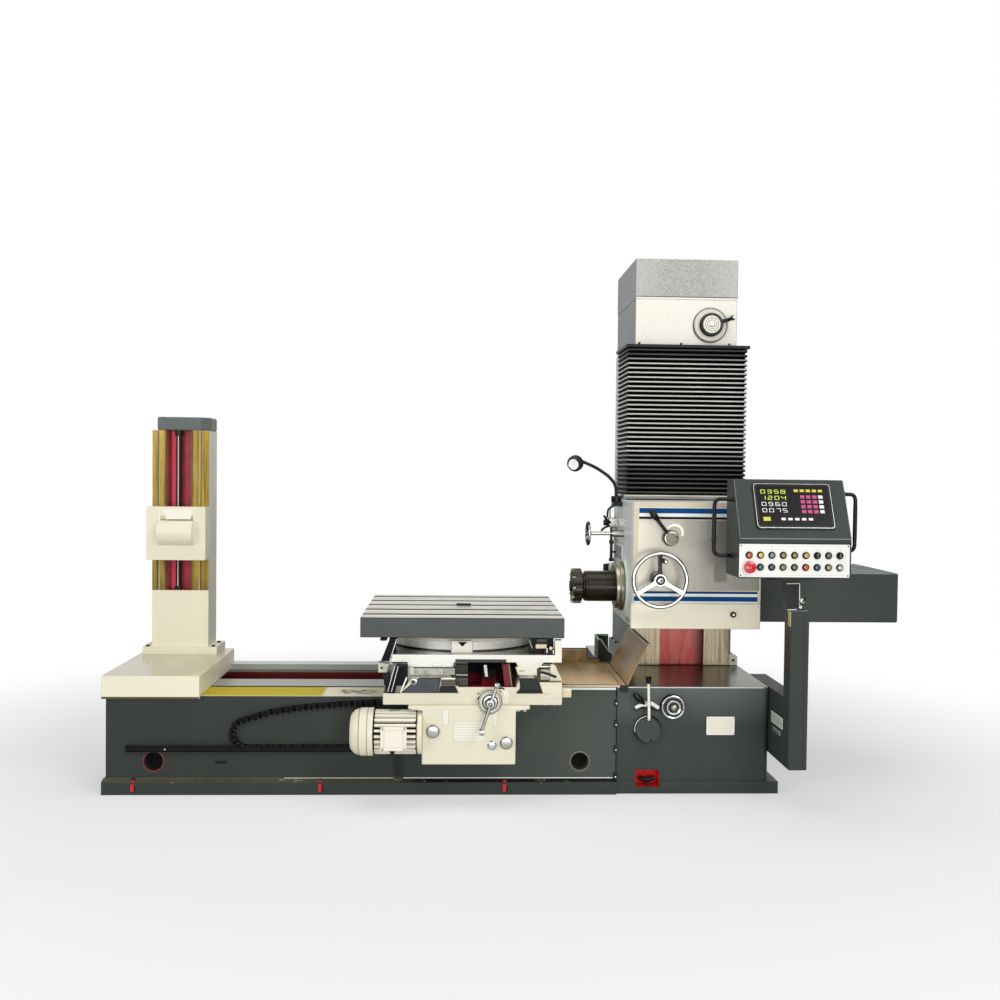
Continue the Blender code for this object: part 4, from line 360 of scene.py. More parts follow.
def bed_material():
    """The bed's paint and, by height and depth, its ways, trough and rails."""
    net = Net("bed_paint_and_ways")
    x, y, z = net.axis(0), net.axis(1), net.axis(2)
    up = net.up()
    base = painted(net, lin(50, 56, 52), 0.12, 0.12, lin(92, 86, 70))
    base = net.mix(net.ramp(x, -0.30, 0.60), base, painted(net, lin(70, 76, 71), 0.08, 0.12))
    base = net.mix(net.band(z, 0.0, 0.062, 0.004), base, painted(net, lin(52, 59, 54), 0.10, 0.12))
    # flange ledge: olive paint at the left; to the right, painted shade under the highlight bead turns it
    # black
    ledge = net.mix(
        net.ramp(x, -0.35, -0.20), painted(net, lin(84, 80, 62), 0.20, 0.4, lin(50, 44, 32)),
        lin(20, 21, 20)
    )
    base = net.mix(net.band(z, 0.0625, 0.0800, 0.0015), base, ledge)
    chip = net.both(
        net.band(z, 0.0600, 0.0765, 0.001), net.ramp(net.noise(26.0, 4.0, (1.0, 1.0, 3.0), 0.7), 0.64, 0.68)
    )
    base = net.mix(net.math("MULTIPLY", chip, 0.6), base, lin(196, 190, 168))
    tool = net.noise(90.0, 4.0, (0.03, 1.0, 1.0), 0.65)
    patch = net.noise(4.0, 4.0, (0.4, 1.0, 1.0))
    gold = net.mix(net.ramp(tool, 0.3, 0.7), lin(170, 150, 14), lin(206, 188, 44))
    gold = net.mix(net.ramp(patch, 0.60, 0.80, 0.0, 0.3), gold, lin(222, 208, 110))
    scraped = net.ramp(net.noise(34.0, 4.0, None, 0.7), 0.46, 0.54)
    marks = net.both(net.band(y, -0.250, -0.150, 0.01), net.band(x, -0.62, -0.44, 0.01))
    worn = net.mix(net.both(net.math("SUBTRACT", 1.0, scraped), marks), lin(228, 220, 194), lin(120, 112, 92))
    gold = net.mix(net.ramp(x, -0.705, -0.690), gold, worn)
    rule = net.both(net.band(x, -0.690, -0.392), net.band(y, -0.300, -0.272))
    tick = net.both(
        net.band(net.wrap(x, 0.005), -0.0005, 0.0005, 0.0003), net.ramp(y, -0.288, -0.287, 1.0, 0.0)
    )
    gold = net.mix(rule, gold, net.mix(tick, lin(238, 238, 232), lin(20, 20, 20)))
    flat = net.mix(net.ramp(tool, 0.3, 0.7), lin(130, 133, 124), lin(172, 173, 164))
    brown = net.mix(net.ramp(tool, 0.3, 0.7), lin(58, 54, 44), lin(112, 106, 92))
    rail = net.mix(net.ramp(tool, 0.3, 0.7), lin(176, 184, 170), lin(206, 212, 202))
    top = net.mix(net.band(y, -0.33, -0.085), flat, gold)
    top = net.mix(net.band(y, -0.312, -0.296), top, lin(214, 206, 168))
    top = net.mix(net.band(y, -0.086, -0.058), top, lin(52, 46, 36))
    top = net.mix(net.band(y, 0.327, 0.401), top, brown)
    top = net.mix(net.band(y, 0.399, 0.51), top, rail)
    high = net.band(z, 0.478, 0.53)
    made = net.mix(net.both(up, high), base, top)
    inside = net.both(net.band(y, 0.127, 0.329), net.band(z, 0.33, 0.4885))
    red = painted(net, lin(92, 24, 22), 0.16, 0.3, lin(34, 20, 16))
    made = net.mix(inside, made, red)
    rail_face = net.both(net.band(y, 0.395, 0.401), net.band(z, 0.4895, 0.521))
    made = net.mix(rail_face, made, lin(164, 168, 160))
    net.colour(made)
    shiny = net.both(up, high)
    net.set("Metallic", net.math("MULTIPLY", shiny, 0.30))
    net.set("Specular IOR Level", 0.20)
    rough = net.ramp(net.noise(7.0, 4.0), 0.3, 0.7, 0.36, 0.52)
    rough = net.blend(shiny, rough, net.ramp(tool, 0.3, 0.7, 0.26, 0.44))
    net.set("Roughness", net.blend(net.both(shiny, net.band(y, -0.33, -0.085)), rough, 0.66))
    height = net.blend(shiny, net.noise(260.0, 2.0), tool)
    net.bump(height, 0.12, 0.0006)
    return net.material


def base_material():
    """Grey paint, with oily scraped metal on top, a painted highlight on the top's left part, and a red
    pocket.
    """
    net = Net("base_paint_and_top")
    x, y, z = net.axis(0), net.axis(1), net.axis(2)
    up = net.up()
    base = painted(net, lin(54, 61, 57), 0.12, 0.12, lin(92, 86, 70))
    face = net.ramp(z, 0.34, 0.53)
    base = net.mix(face, base, painted(net, lin(94, 99, 95), 0.07, 0.08, lin(92, 86, 70)))
    base = net.mix(net.both(net.ramp(x, 0.93, 0.86), face), base, painted(net, lin(68, 75, 71), 0.07, 0.08))
    net.set("Specular IOR Level", 0.20)
    smear = net.noise(16.0, 4.0, (0.35, 1.0, 1.0), 0.6)
    top = net.mix(net.ramp(smear, 0.35, 0.7), lin(74, 72, 60), lin(116, 112, 96))
    # painted highlight on the left part of the top
    left = net.both(net.ramp(x, 1.08, 1.00), net.ramp(y, -0.20, 0.22))
    top = net.mix(net.math("MULTIPLY", left, 0.75), top, lin(176, 168, 146))
    red = net.both(net.band(x, 1.10, 1.37, 0.02), net.ramp(y, -0.28, 0.20, 0.35, 1.0))
    top = net.mix(net.math("MULTIPLY", red, 0.8), top, lin(84, 30, 30))
    seam = net.math("SUBTRACT", x, net.ramp(y, -0.2554, 0.2771, 1.0057, 1.1081))
    top = net.mix(net.band(seam, -0.002, 0.002), top, lin(20, 20, 18))
    high = net.band(z, 0.53, 0.56)
    made = net.mix(net.both(up, high), base, top)
    pocket = net.both(
        net.band(x, 0.8800, 1.0040), net.band(z, 0.0330, 0.1200), net.band(y, -0.3110, -0.2380, 0.0005)
    )
    made = net.mix(pocket, made, painted(net, lin(214, 38, 36), 0.15, 0.3, lin(60, 12, 12)))
    net.colour(made)
    shiny = net.both(up, high)
    net.set("Metallic", net.math("MULTIPLY", shiny, 0.5))
    net.set("Roughness", net.blend(shiny, net.ramp(net.noise(7.0, 4.0), 0.3, 0.7, 0.36, 0.52), 0.24))
    net.bump(net.noise(260.0, 2.0), 0.12, 0.0006)
    return net.material


def column_material():
    """Worn scraped ways at the front, a red back to the recess and grey sides."""
    net = Net("column_paint_and_ways")
    x, y, z = net.axis(0), net.axis(1), net.axis(2)
    front = net.front()
    low = painted(net, lin(132, 140, 133), 0.05, 0.12)
    base = net.mix(net.ramp(z, 0.95, 1.45), low, painted(net, lin(206, 212, 204), 0.04, 0.10))
    streak = net.noise(60.0, 5.0, (1.0, 1.0, 0.05), 0.7)
    cloud = net.noise(14.0, 4.0, (1.0, 1.0, 0.4))
    way = net.mix(net.ramp(streak, 0.30, 0.62), lin(156, 128, 86), lin(252, 236, 200))
    way = net.mix(net.ramp(cloud, 0.5, 0.75, 0.0, 0.6), way, lin(244, 236, 212))
    face = net.both(front, net.band(y, 0.300, 0.306))
    edge = net.math("MAXIMUM", net.band(x, 0.969, 0.982), net.band(x, 1.355, 1.374))
    way = net.mix(net.math("MULTIPLY", edge, 0.7), way, lin(232, 220, 190))
    made = net.mix(face, base, way)
    recess = net.both(net.band(x, 1.1155, 1.3655), net.band(y, 0.3045, 0.351))
    grain = net.noise(30.0, 4.0, (1.0, 1.0, 0.25), 0.6)
    red = net.mix(net.ramp(grain, 0.35, 0.7), lin(244, 98, 94), lin(255, 158, 148))
    red = net.mix(net.ramp(x, 1.300, 1.352, 0.0, 0.85), red, lin(96, 14, 18))
    made = net.mix(recess, made, red)
    net.colour(made)
    net.set("Specular IOR Level", 0.30)
    net.set("Metallic", net.math("MULTIPLY", face, 0.15))
    rough = net.ramp(net.noise(7.0, 4.0), 0.3, 0.7, 0.34, 0.50)
    net.set("Roughness", net.blend(face, rough, net.ramp(streak, 0.3, 0.7, 0.26, 0.44)))
    net.bump(net.blend(face, net.noise(260.0, 2.0), streak), 0.14, 0.0006)
    return net.material


def table_material():
    """Ground and scratched top, dark slots with a painted highlight on each slot's near lip and painted
    shadow on its far lip and inner walls, and grey painted edges.
    """
    net = Net("table_top_and_edges")
    y, z = net.axis(1), net.axis(2)
    up = net.up()
    base = painted(net, lin(72, 77, 75), 0.07, 0.10, lin(60, 56, 46))
    base = net.mix(net.band(z, 0.8975, 0.905, 0.0004), base, lin(52, 55, 53))
    net.set("Specular IOR Level", 0.25)
    lines = net.noise(70.0, 4.0, (0.05, 1.0, 1.0), 0.6)
    stain = net.noise(6.0, 5.0, (0.7, 1.0, 1.0), 0.6)
    top = net.mix(net.ramp(lines, 0.3, 0.7), lin(172, 168, 152), lin(220, 216, 202))
    top = net.mix(net.ramp(stain, 0.50, 0.70, 0.0, 0.6), top, lin(146, 138, 118))
    from_slot = net.wrap(net.math("SUBTRACT", y, TURN_Y), 0.0925)
    # painted highlight on the near lip of each slot
    top = net.mix(
        net.math("MULTIPLY", net.band(from_slot, -0.0360, -0.0100, 0.0030), 0.9), top, lin(252, 251, 244)
    )
    # painted shadow on the far lip of each slot
    slot_shadow_band = net.band(from_slot, 0.0070, 0.0340, 0.0030)
    top = net.mix(slot_shadow_band, top, lin(24, 22, 18))
    made = net.mix(net.both(up, net.band(z, 0.9025, 0.91)), base, top)
    slot_y = net.math("ABSOLUTE", from_slot, 0.0)
    # painted shade on the slots' inner walls
    inner = net.both(net.ramp(slot_y, 0.0200, 0.0196), net.band(z, 0.866, 0.9020))
    side = net.ramp(net.math("ABSOLUTE", net.normal(0), 0.0), 0.5, 0.7, 1.0, 0.0)
    made = net.mix(net.both(inner, side), made, lin(26, 25, 21))
    net.colour(made)
    shiny = net.both(up, net.band(z, 0.9025, 0.91))
    bright = net.math("MULTIPLY", shiny, net.math("SUBTRACT", 1.0, slot_shadow_band))
    net.set("Metallic", net.math("MULTIPLY", bright, 0.5))
    rough = net.ramp(net.noise(7.0, 4.0), 0.3, 0.7, 0.34, 0.50)
    ground = net.blend(slot_shadow_band, net.ramp(lines, 0.3, 0.7, 0.22, 0.42), 0.80)
    net.set("Roughness", net.blend(shiny, rough, ground))
    net.bump(net.blend(shiny, net.noise(260.0, 2.0), lines), 0.12, 0.0006)
    return net.material


def tail_material():
    """Cream paint with golden ways and a dark red slot."""
    net = Net("tail_column_paint_and_ways")
    x, y, z = net.axis(0), net.axis(1), net.axis(2)
    front = net.front()
    side = net.ramp(net.normal(0), 0.6, 0.8)
    base = painted(net, lin(234, 228, 202), 0.03, 0.10)
    base = net.mix(side, base, painted(net, lin(206, 206, 188), 0.04, 0.12))
    streak = net.noise(60.0, 5.0, (1.0, 1.0, 0.04), 0.7)
    gold = net.mix(net.ramp(streak, 0.3, 0.7), lin(92, 66, 8), lin(190, 158, 46))
    gold = net.mix(
        net.ramp(net.noise(11.0, 4.0, (1.0, 1.0, 0.3)), 0.55, 0.75, 0.0, 0.4), gold, lin(206, 188, 104)
    )
    for place in (-1.6780, -1.6380, -1.4920, -1.4440):
        gold = net.mix(net.band(x, place - 0.0022, place + 0.0022), gold, lin(26, 20, 8))
    gold = net.mix(net.ramp(z, 1.12, 0.98, 0.0, 0.5), gold, lin(70, 54, 18))
    face = net.both(front, net.band(y, 0.300, 0.306), net.band(z, 0.945, 1.83))
    made = net.mix(face, base, gold)
    recess = net.both(net.band(x, -1.6355, -1.4955), net.band(y, 0.3045, 0.364), net.band(z, 0.945, 1.83))
    red = net.mix(net.ramp(net.noise(12.0, 4.0), 0.4, 0.7), lin(136, 12, 26), lin(176, 38, 54))
    # painted shade: a black line in the gap beside the guide strip
    red = net.mix(net.band(x, -1.6060, -1.5990), red, lin(30, 8, 10))
    made = net.mix(recess, made, red)
    net.colour(made)
    net.set("Metallic", net.math("MULTIPLY", face, 0.35))
    rough = net.ramp(net.noise(7.0, 4.0), 0.3, 0.7, 0.34, 0.50)
    net.set("Roughness", net.blend(face, rough, net.ramp(streak, 0.3, 0.7, 0.26, 0.42)))
    net.bump(net.blend(face, net.noise(260.0, 2.0), streak), 0.14, 0.0006)
    return net.material


def sheet_material(name, axis, low, high, dark, light):
    """Thin sheet with brown enamel, with a painted sheen that lightens it towards one end, and lighter
    streaks along its length.
    """
    net = Net(name)
    place = net.axis(axis)
    broad = net.noise(5.0, 4.0, (1.0, 0.5, 1.0), 0.55)
    share = net.math("ADD", net.ramp(place, low, high), net.ramp(broad, 0.3, 0.7, -0.25, 0.25))
    made = net.mix(net.ramp(share, 0.0, 1.0), dark, light)
    lines = net.noise(40.0, 4.0, (1.0, 0.1, 1.0))
    made = net.mix(net.ramp(lines, 0.5, 0.8, 0.0, 0.35), made, shade(light, 1.2))
    net.colour(made)
    net.set("Metallic", 0.05)
    net.set("Specular IOR Level", 0.10)
    net.set("Roughness", net.ramp(broad, 0.3, 0.7, 0.28, 0.46))
    net.bump(net.noise(120.0, 3.0), 0.10, 0.0008)
    return net.material


def panel_material():
    """Silver-grey brushed panel of the headstock, with a painted reflection that darkens it to the right."""
    net = Net("silver_grey_panel")
    x = net.axis(0)
    # painted reflection: the panel darkens towards its right end
    made = net.mix(net.ramp(x, 0.88, 1.26), lin(198, 191, 175), lin(124, 121, 112))
    made = net.mix(net.ramp(x, 1.26, 1.49), made, lin(118, 116, 108))
    cloud = net.noise(3.0, 3.0)
    made = net.mix(net.ramp(cloud, 0.4, 0.75, 0.0, 0.25), made, lin(176, 171, 158))
    fine = net.noise(300.0, 3.0, (1.0, 1.0, 0.06))
    made = net.mix(net.ramp(fine, 0.4, 0.7, 0.0, 0.10), made, lin(230, 226, 214))
    net.colour(made)
    net.set("Metallic", 0.25)
    net.set("Roughness", net.ramp(fine, 0.3, 0.7, 0.30, 0.42))
    net.bump(fine, 0.06, 0.0004)
    return net.material


def foot_material():
    """Rolled metal strip with dark and light lines along it."""
    net = Net("rolled_foot_strip")
    z = net.axis(2)
    lines = net.noise(90.0, 3.0, (0.03, 1.0, 1.0), 0.6)
    made = net.mix(net.ramp(lines, 0.3, 0.7), lin(120, 120, 112), lin(176, 175, 166))
    for low, high, tone in (
        (1.4718, 1.4760, lin(24, 24, 22)), (1.4835, 1.4862, lin(66, 66, 60)),
        (1.4950, 1.5005, lin(212, 210, 200))
    ):
        made = net.mix(net.band(z, low, high, 0.0006), made, tone)
    net.colour(made)
    net.set("Metallic", 0.35)
    net.set("Roughness", net.ramp(lines, 0.3, 0.7, 0.30, 0.42))
    net.bump(lines, 0.06, 0.0004)
    return net.material


def plate_top_material():
    """Cream casting whose top face is smeared metal, with a painted dark reflection at its left end, a
    painted highlight along its front, and a painted shadow line along part of the lower front edge.
    """
    net = Net("cross_slide_paint_and_top")
    z = net.axis(2)
    up = net.up()
    base = painted(net, lin(240, 238, 226), 0.03, 0.10)
    smear = net.noise(9.0, 4.0, (0.4, 1.0, 1.0), 0.6)
    x, y = net.axis(0), net.axis(1)
    top = net.mix(net.ramp(smear, 0.38, 0.62), lin(104, 103, 95), lin(198, 196, 186))
    # painted reflection: the top darkens towards its left end
    top = net.mix(net.ramp(x, -0.18, -0.26), top, lin(40, 42, 44))
    # painted highlight along the top's front
    top = net.mix(net.ramp(y, -0.39, -0.43), top, lin(206, 205, 196))
    mask = net.both(up, net.band(z, 0.715, 0.73))
    front = net.both(net.ramp(net.normal(1), -0.6, -0.8), net.band(z, 0.684, 0.7005))
    shadow = net.both(front, net.band(x, -0.035, 0.215, 0.002))
    base = net.mix(shadow, base, lin(16, 15, 14))
    net.colour(net.mix(mask, base, top))
    net.set("Metallic", net.math("MULTIPLY", mask, 0.5))
    net.set("Roughness", net.blend(mask, net.ramp(net.noise(7.0, 4.0), 0.3, 0.7, 0.34, 0.50), 0.20))
    net.bump(net.noise(260.0, 2.0), 0.10, 0.0006)
    return net.material


def ring_material():
    """Turned ring: a light rim at the top, greyer than the white body, a dark line between them and a painted
    shadow line at its foot.
    """
    net = Net("turned_base_ring")
    z = net.axis(2)
    lines = net.noise(220.0, 3.0, (0.2, 0.2, 1.0))
    made = net.mix(net.ramp(lines, 0.3, 0.7), lin(246, 243, 232), lin(254, 253, 248))
    made = net.mix(net.ramp(z, 0.782, 0.790, 0.0, 0.5), made, lin(196, 192, 178))
    made = net.mix(net.band(z, 0.7935, 0.7955, 0.0004), made, lin(70, 68, 60))
    # painted shadow line where the ring meets the plate below
    made = net.mix(net.band(z, 0.7223, 0.7262, 0.0004), made, lin(16, 16, 15))
    net.colour(made)
    net.set("Metallic", 0.1)
    net.set("Roughness", net.ramp(lines, 0.3, 0.7, 0.30, 0.42))
    net.bump(lines, 0.02, 0.0004)
    return net.material


def tail_base_material():
    """Cream enamel, with a darker, yellower glossy top that darkens further towards the back and has darker
    pools.
    """
    net = Net("tail_base_enamel")
    y = net.axis(1)
    up = net.up()
    base = painted(net, lin(234, 228, 202), 0.03, 0.08)
    pool = net.noise(2.4, 3.0, (1.0, 0.6, 1.0), 0.4)
    top = net.mix(net.ramp(y, -0.30, 0.34), lin(226, 217, 184), lin(206, 198, 168))
    top = net.mix(net.ramp(pool, 0.44, 0.56), lin(196, 188, 160), top)
    net.colour(net.mix(up, base, top))
    net.set("Coat Weight", 0.15)
    net.set("Specular IOR Level", 0.35)
    net.set("Roughness", net.blend(up, net.ramp(net.noise(7.0, 4.0), 0.3, 0.7, 0.33, 0.50), 0.22))
    net.bump(net.noise(260.0, 2.0), 0.10, 0.0006)
    return net.material


def trough_material():
    """Back of the trough: wine red at the floor, turned black higher up by painted shadow under the cross
    slide.
    """
    net = Net("trough_back")
    grain = net.noise(12.0, 4.0)
    low = net.mix(net.ramp(grain, 0.35, 0.7), lin(72, 4, 18), lin(104, 12, 30))
    # painted shadow: black above the floor
    net.colour(net.mix(net.ramp(net.axis(2), 0.596, 0.622), low, lin(12, 7, 7)))
    net.set("Specular IOR Level", 0.05)
    net.set("Roughness", net.ramp(grain, 0.3, 0.7, 0.46, 0.62))
    net.bump(net.noise(260.0, 2.0), 0.10, 0.0006)
    return net.material


def saddle_material():
    """Cream casting, with dark ways and a deep red trough between them."""
    net = Net("saddle_paint_and_ways")
    x, z = net.axis(0), net.axis(2)
    base = painted(net, lin(222, 215, 192), 0.04, 0.12)
    up = net.up()
    streak = net.noise(60.0, 4.0, (1.0, 0.05, 1.0), 0.65)
    way = net.mix(net.ramp(streak, 0.3, 0.7), lin(120, 120, 112), lin(196, 196, 186))
    ways = net.math("MAXIMUM", net.band(x, -0.244, -0.059), net.band(x, 0.281, 0.353))
    made = net.mix(net.both(up, ways, net.band(z, 0.615, 0.625)), base, way)
    trough = net.both(up, net.band(x, -0.017, 0.262), net.band(z, 0.570, 0.580))
    red = net.mix(net.ramp(net.noise(8.0, 4.0), 0.4, 0.7), lin(70, 8, 18), lin(136, 20, 40))
    made = net.mix(trough, made, red)
    left = net.both(up, net.band(x, -0.39, -0.296), net.band(z, 0.540, 0.550))
    made = net.mix(left, made, lin(60, 56, 48))
    net.colour(made)
    mask = net.both(up, ways, net.band(z, 0.615, 0.625))
    net.set("Metallic", net.math("MULTIPLY", mask, 0.75))
    net.set("Roughness", net.ramp(net.noise(7.0, 4.0), 0.3, 0.7, 0.32, 0.48))
    net.bump(net.noise(260.0, 2.0), 0.10, 0.0006)
    return net.material


def cap_material():
    """Grey hammer finish over a band in the cover's colour, with a dark line between them at the front."""
    net = Net("cap_hammer_finish")
    z = net.axis(2)
    grey, grain = speckled(net, lin(166, 165, 160), lin(128, 127, 121), lin(196, 195, 190), 150.0)
    edge = net.math("ABSOLUTE", net.math("SUBTRACT", net.axis(0), 1.238), 0.0)
    grey = net.mix(net.ramp(edge, 0.10, 0.30, 0.0, 0.35), grey, lin(206, 205, 199))
    cream = speckled(net, lin(236, 233, 222), lin(224, 217, 200), lin(242, 240, 233), 190.0)[0]
    made = net.mix(net.ramp(z, CAP_LINE_Z - 0.0005, CAP_LINE_Z + 0.0005), cream, grey)
    made = net.mix(net.band(z, CAP_LINE_Z - 0.0035, CAP_LINE_Z + 0.0015), made, lin(28, 28, 26))
    net.colour(grey_sides(net, made, lin(114, 119, 118)))
    net.set("Roughness", net.ramp(grain, 0.35, 0.65, 0.36, 0.52))
    net.bump(grain, 0.22, 0.0010)
    return net.material


def glow(name, colour, strength=0.55):
    """A lit mark on a screen or a lamp's diffuser, faintly uneven."""
    net = Net(name)
    cells = net.noise(900.0, 2.0)
    made = net.mix(net.ramp(cells, 0.4, 0.6), shade(colour, 0.8), colour)
    net.colour(made)
    net.feed(net.shader.inputs["Emission Color"], made)
    net.set("Emission Strength", strength)
    net.set("Roughness", 0.3)
    return net.material


def chrome_painted_reflection(name, front, side, rough):
    """Polished metal with a painted reflection: faces turned away from the front get a darker base colour."""
    net = Net(name)
    facing = net.math("ABSOLUTE", net.normal(1), 0.0)
    cloud = net.noise(24.0, 3.0)
    # painted reflection: the base colour darkens as the face turns away from the front
    made = net.mix(net.ramp(facing, 0.64, 0.96), side, front)
    net.colour(net.mix(net.ramp(cloud, 0.45, 0.75, 0.0, 0.25), made, shade(side, 1.6)))
    net.set("Metallic", 1.0)
    net.set("Roughness", net.ramp(cloud, 0.3, 0.7, rough, rough + 0.06))
    return net.material


M["chrome"] = chrome_painted_reflection("bright_chrome", lin(222, 223, 222), lin(22, 23, 23), 0.09)
M["satin"] = chrome_painted_reflection("satin_chrome", lin(190, 190, 183), lin(48, 48, 45), 0.24)
M["bed"] = bed_material()
M["base"] = base_material()
M["column"] = column_material()
M["table"] = table_material()
M["tail"] = tail_material()
M["tan"] = sheet_material("tray_sheet_enamel", 1, 0.34, -0.30, lin(148, 124, 84), lin(226, 188, 138))
M["guard"] = sheet_material("guard_sheet_enamel", 2, 0.76, 0.56, lin(114, 97, 68), lin(184, 150, 100))
M["panel"] = panel_material()
M["plate_top"] = plate_top_material()
M["foot"] = foot_material()
M["saddle"] = saddle_material()
M["ring"] = ring_material()
M["tail_base"] = tail_base_material()
M["trough"] = trough_material()
M["hub_face"] = speckle("cast_hub_face", lin(132, 124, 104), lin(84, 78, 62), lin(196, 188, 166), 420.0, 0.42)
M["cover"] = speckle(
    "cover_structure_cream", lin(236, 233, 222), lin(224, 217, 200), lin(242, 240, 233), 190.0, 0.48,
    lin(120, 126, 125)
)
M["cap"] = cap_material()
M["digit"] = glow("screen_digits", lin(190, 214, 70))
M["key_yellow"] = glow("key_yellow", lin(206, 196, 60), 0.15)
M["key_pink"] = glow("key_magenta", lin(186, 60, 120), 0.15)
M["key_white"] = glow("key_white", lin(232, 232, 228), 0.15)
M["lens"] = glow("lamp_diffuser", lin(236, 238, 236), 0.25)


def cap_colour(name, rgb):
    net = Net("push_" + name)
    centre = net.noise(90.0, 2.0)
    net.colour(net.mix(net.ramp(centre, 0.4, 0.6), shade(lin(*rgb), 0.82), shade(lin(*rgb), 1.1)))
    net.set("Roughness", net.ramp(centre, 0.3, 0.7, 0.16, 0.26))
    net.set("Coat Weight", 0.4)
    net.bump(net.noise(300.0, 2.0), 0.05, 0.0004)
    return net.material


# building pieces
ALL = []


class Piece:
    """Many small forms joined into one mesh that rides on a body."""

    def __init__(self, name, body, slot, replaces=()):
        self.name = name
        self.body = body
        self.slot = slot
        self.gone = replaces
        self.bm = bmesh.new()
        self.materials = []

    def index(self, material):
        if isinstance(material, str):
            material = M[material]
        if material not in self.materials:
            self.materials.append(material)
        return self.materials.index(material)

    def take(self, bm, material, edge=0.0, segments=2, matrix=None, angle=30.0):
        """Bevels a form's sharp edges, sets its material and adds it to the piece."""
        bmesh.ops.recalc_face_normals(bm, faces=bm.faces)
        if edge > 0.0:
            sharp = [
                item
                for item in bm.edges
                if len(item.link_faces) == 2 and item.calc_face_angle(0.0) > math.radians(angle)
            ]
            if sharp:
                bmesh.ops.bevel(
                    bm,
                    geom=sharp,
                    offset=edge,
                    segments=segments,
                    profile=0.5,
                    affect="EDGES",
                    clamp_overlap=True,
                )
        slot = self.index(material)
        for face in bm.faces:
            face.material_index = slot
            face.smooth = True
        if matrix is not None:
            bmesh.ops.transform(bm, matrix=matrix, verts=bm.verts)
        mesh = bpy.data.meshes.new("form")
        bm.to_mesh(mesh)
        bm.free()
        self.bm.from_mesh(mesh)
        bpy.data.meshes.remove(mesh)

    def box(self, x, y, z, material, edge=0.0015, segments=2, matrix=None):
        bm = bmesh.new()
        bmesh.ops.create_cube(bm, size=1.0)
        size = Matrix.Diagonal((x[1] - x[0], y[1] - y[0], z[1] - z[0], 1.0))
        middle = Vector(((x[0] + x[1]) / 2, (y[0] + y[1]) / 2, (z[0] + z[1]) / 2))
        bmesh.ops.transform(bm, matrix=Matrix.Translation(middle) @ size, verts=bm.verts)
        self.take(bm, material, edge, segments, matrix)

    def prism(self, outline, axis, low, high, material, edge=0.0, segments=2, matrix=None, angle=30.0):
        place = {
            "X": lambda a, b, c: (c, a, b),
            "Y": lambda a, b, c: (a, c, b),
            "Z": lambda a, b, c: (a, b, c),
        }[axis]
        bm = bmesh.new()
        start = bm.faces.new([bm.verts.new(place(a, b, low)) for a, b in outline])
        made = bmesh.ops.extrude_face_region(bm, geom=[start])
        moved = [item for item in made["geom"] if isinstance(item, bmesh.types.BMVert)]
        bmesh.ops.translate(bm, verts=moved, vec=place(0.0, 0.0, high - low))
        self.take(bm, material, edge, segments, matrix, angle)

    def lathe(self, profile, axis, centre, material, sides=64, edge=0.0, matrix=None):
        """Spins a profile of (position along the axis, radius) that ends on the axis or closes a ring."""
        bm = bmesh.new()
        closed = profile[0] == profile[-1]
        points = profile[:-1] if closed else profile
        rings = []
        for along, radius in points:
            if radius < 1e-7:
                rings.append([bm.verts.new((0.0, 0.0, along))])
                continue
            ring = []
            for step in range(sides):
                angle = TAU * step / sides
                ring.append(bm.verts.new((radius * math.cos(angle), radius * math.sin(angle), along)))
            rings.append(ring)
        pairs = list(zip(rings, rings[1:]))
        if closed:
            pairs.append((rings[-1], rings[0]))
        for low, high in pairs:
            for step in range(sides):
                after = (step + 1) % sides
                corners = [
                    low[step % len(low)],
                    low[after % len(low)],
                    high[after % len(high)],
                    high[step % len(high)],
                ]
                corners = list(dict.fromkeys(corners))
                if len(corners) > 2:
                    bm.faces.new(corners)
        turn = {
            "Z": Matrix.Identity(4),
            "X": Matrix.Rotation(math.pi / 2, 4, "Y"),
            "Y": Matrix.Rotation(-math.pi / 2, 4, "X"),
        }[axis]
        whole = Matrix.Translation(centre) @ turn
        if matrix is not None:
            whole = matrix @ whole
        self.take(bm, material, edge, 2, whole, 28.0)

    def drum(self, axis, centre, radius, low, high, material, edge=0.001, sides=32, matrix=None):
        profile = [(low, 0.0), (low, radius), (high, radius), (high, 0.0)]
        self.lathe(profile, axis, centre, material, sides, edge, matrix)

    def rim(self, axis, centre, radius, thick, along, material, sides=72, round_sides=14, matrix=None):
        profile = []
        for step in range(round_sides):
            angle = TAU * step / round_sides
            profile.append((along + thick * math.sin(angle), radius + thick * math.cos(angle)))
        profile.append(profile[0])
        self.lathe(profile, axis, centre, material, sides, 0.0, matrix)

    def tube(self, points, radius, material, sides=12, corner=0.0, steps=6, radii=None):
        """A round bar along points, with rounded corners and closed ends."""
        path = [Vector(point) for point in points]
        if corner > 0.0:
            path = rounded(path, corner, steps)
        bm = bmesh.new()
        rings = []
        up = Vector((0.0, 0.0, 1.0))
        first = (path[1] - path[0]).normalized()
        side = first.cross(up)
        if side.length < 0.1:
            side = first.cross(Vector((0.0, 1.0, 0.0)))
        side.normalize()
        for index, here in enumerate(path):
            before = path[max(index - 1, 0)]
            after = path[min(index + 1, len(path) - 1)]
            along = (after - before).normalized()
            side = (side - along * side.dot(along)).normalized()
            other = along.cross(side)
            wide = radii[index] if radii else radius
            ring = []
            for step in range(sides):
                angle = TAU * step / sides
                ring.append(bm.verts.new(here + (side * math.cos(angle) + other * math.sin(angle)) * wide))
            rings.append(ring)
        for low, high in zip(rings, rings[1:]):
            for step in range(sides):
                after = (step + 1) % sides
                bm.faces.new((low[step], low[after], high[after], high[step]))
        bm.faces.new(rings[0][::-1])
        bm.faces.new(rings[-1])
        self.take(bm, material, min(radius * 0.3, 0.0015) if not radii else 0.0, 2, None, 50.0)

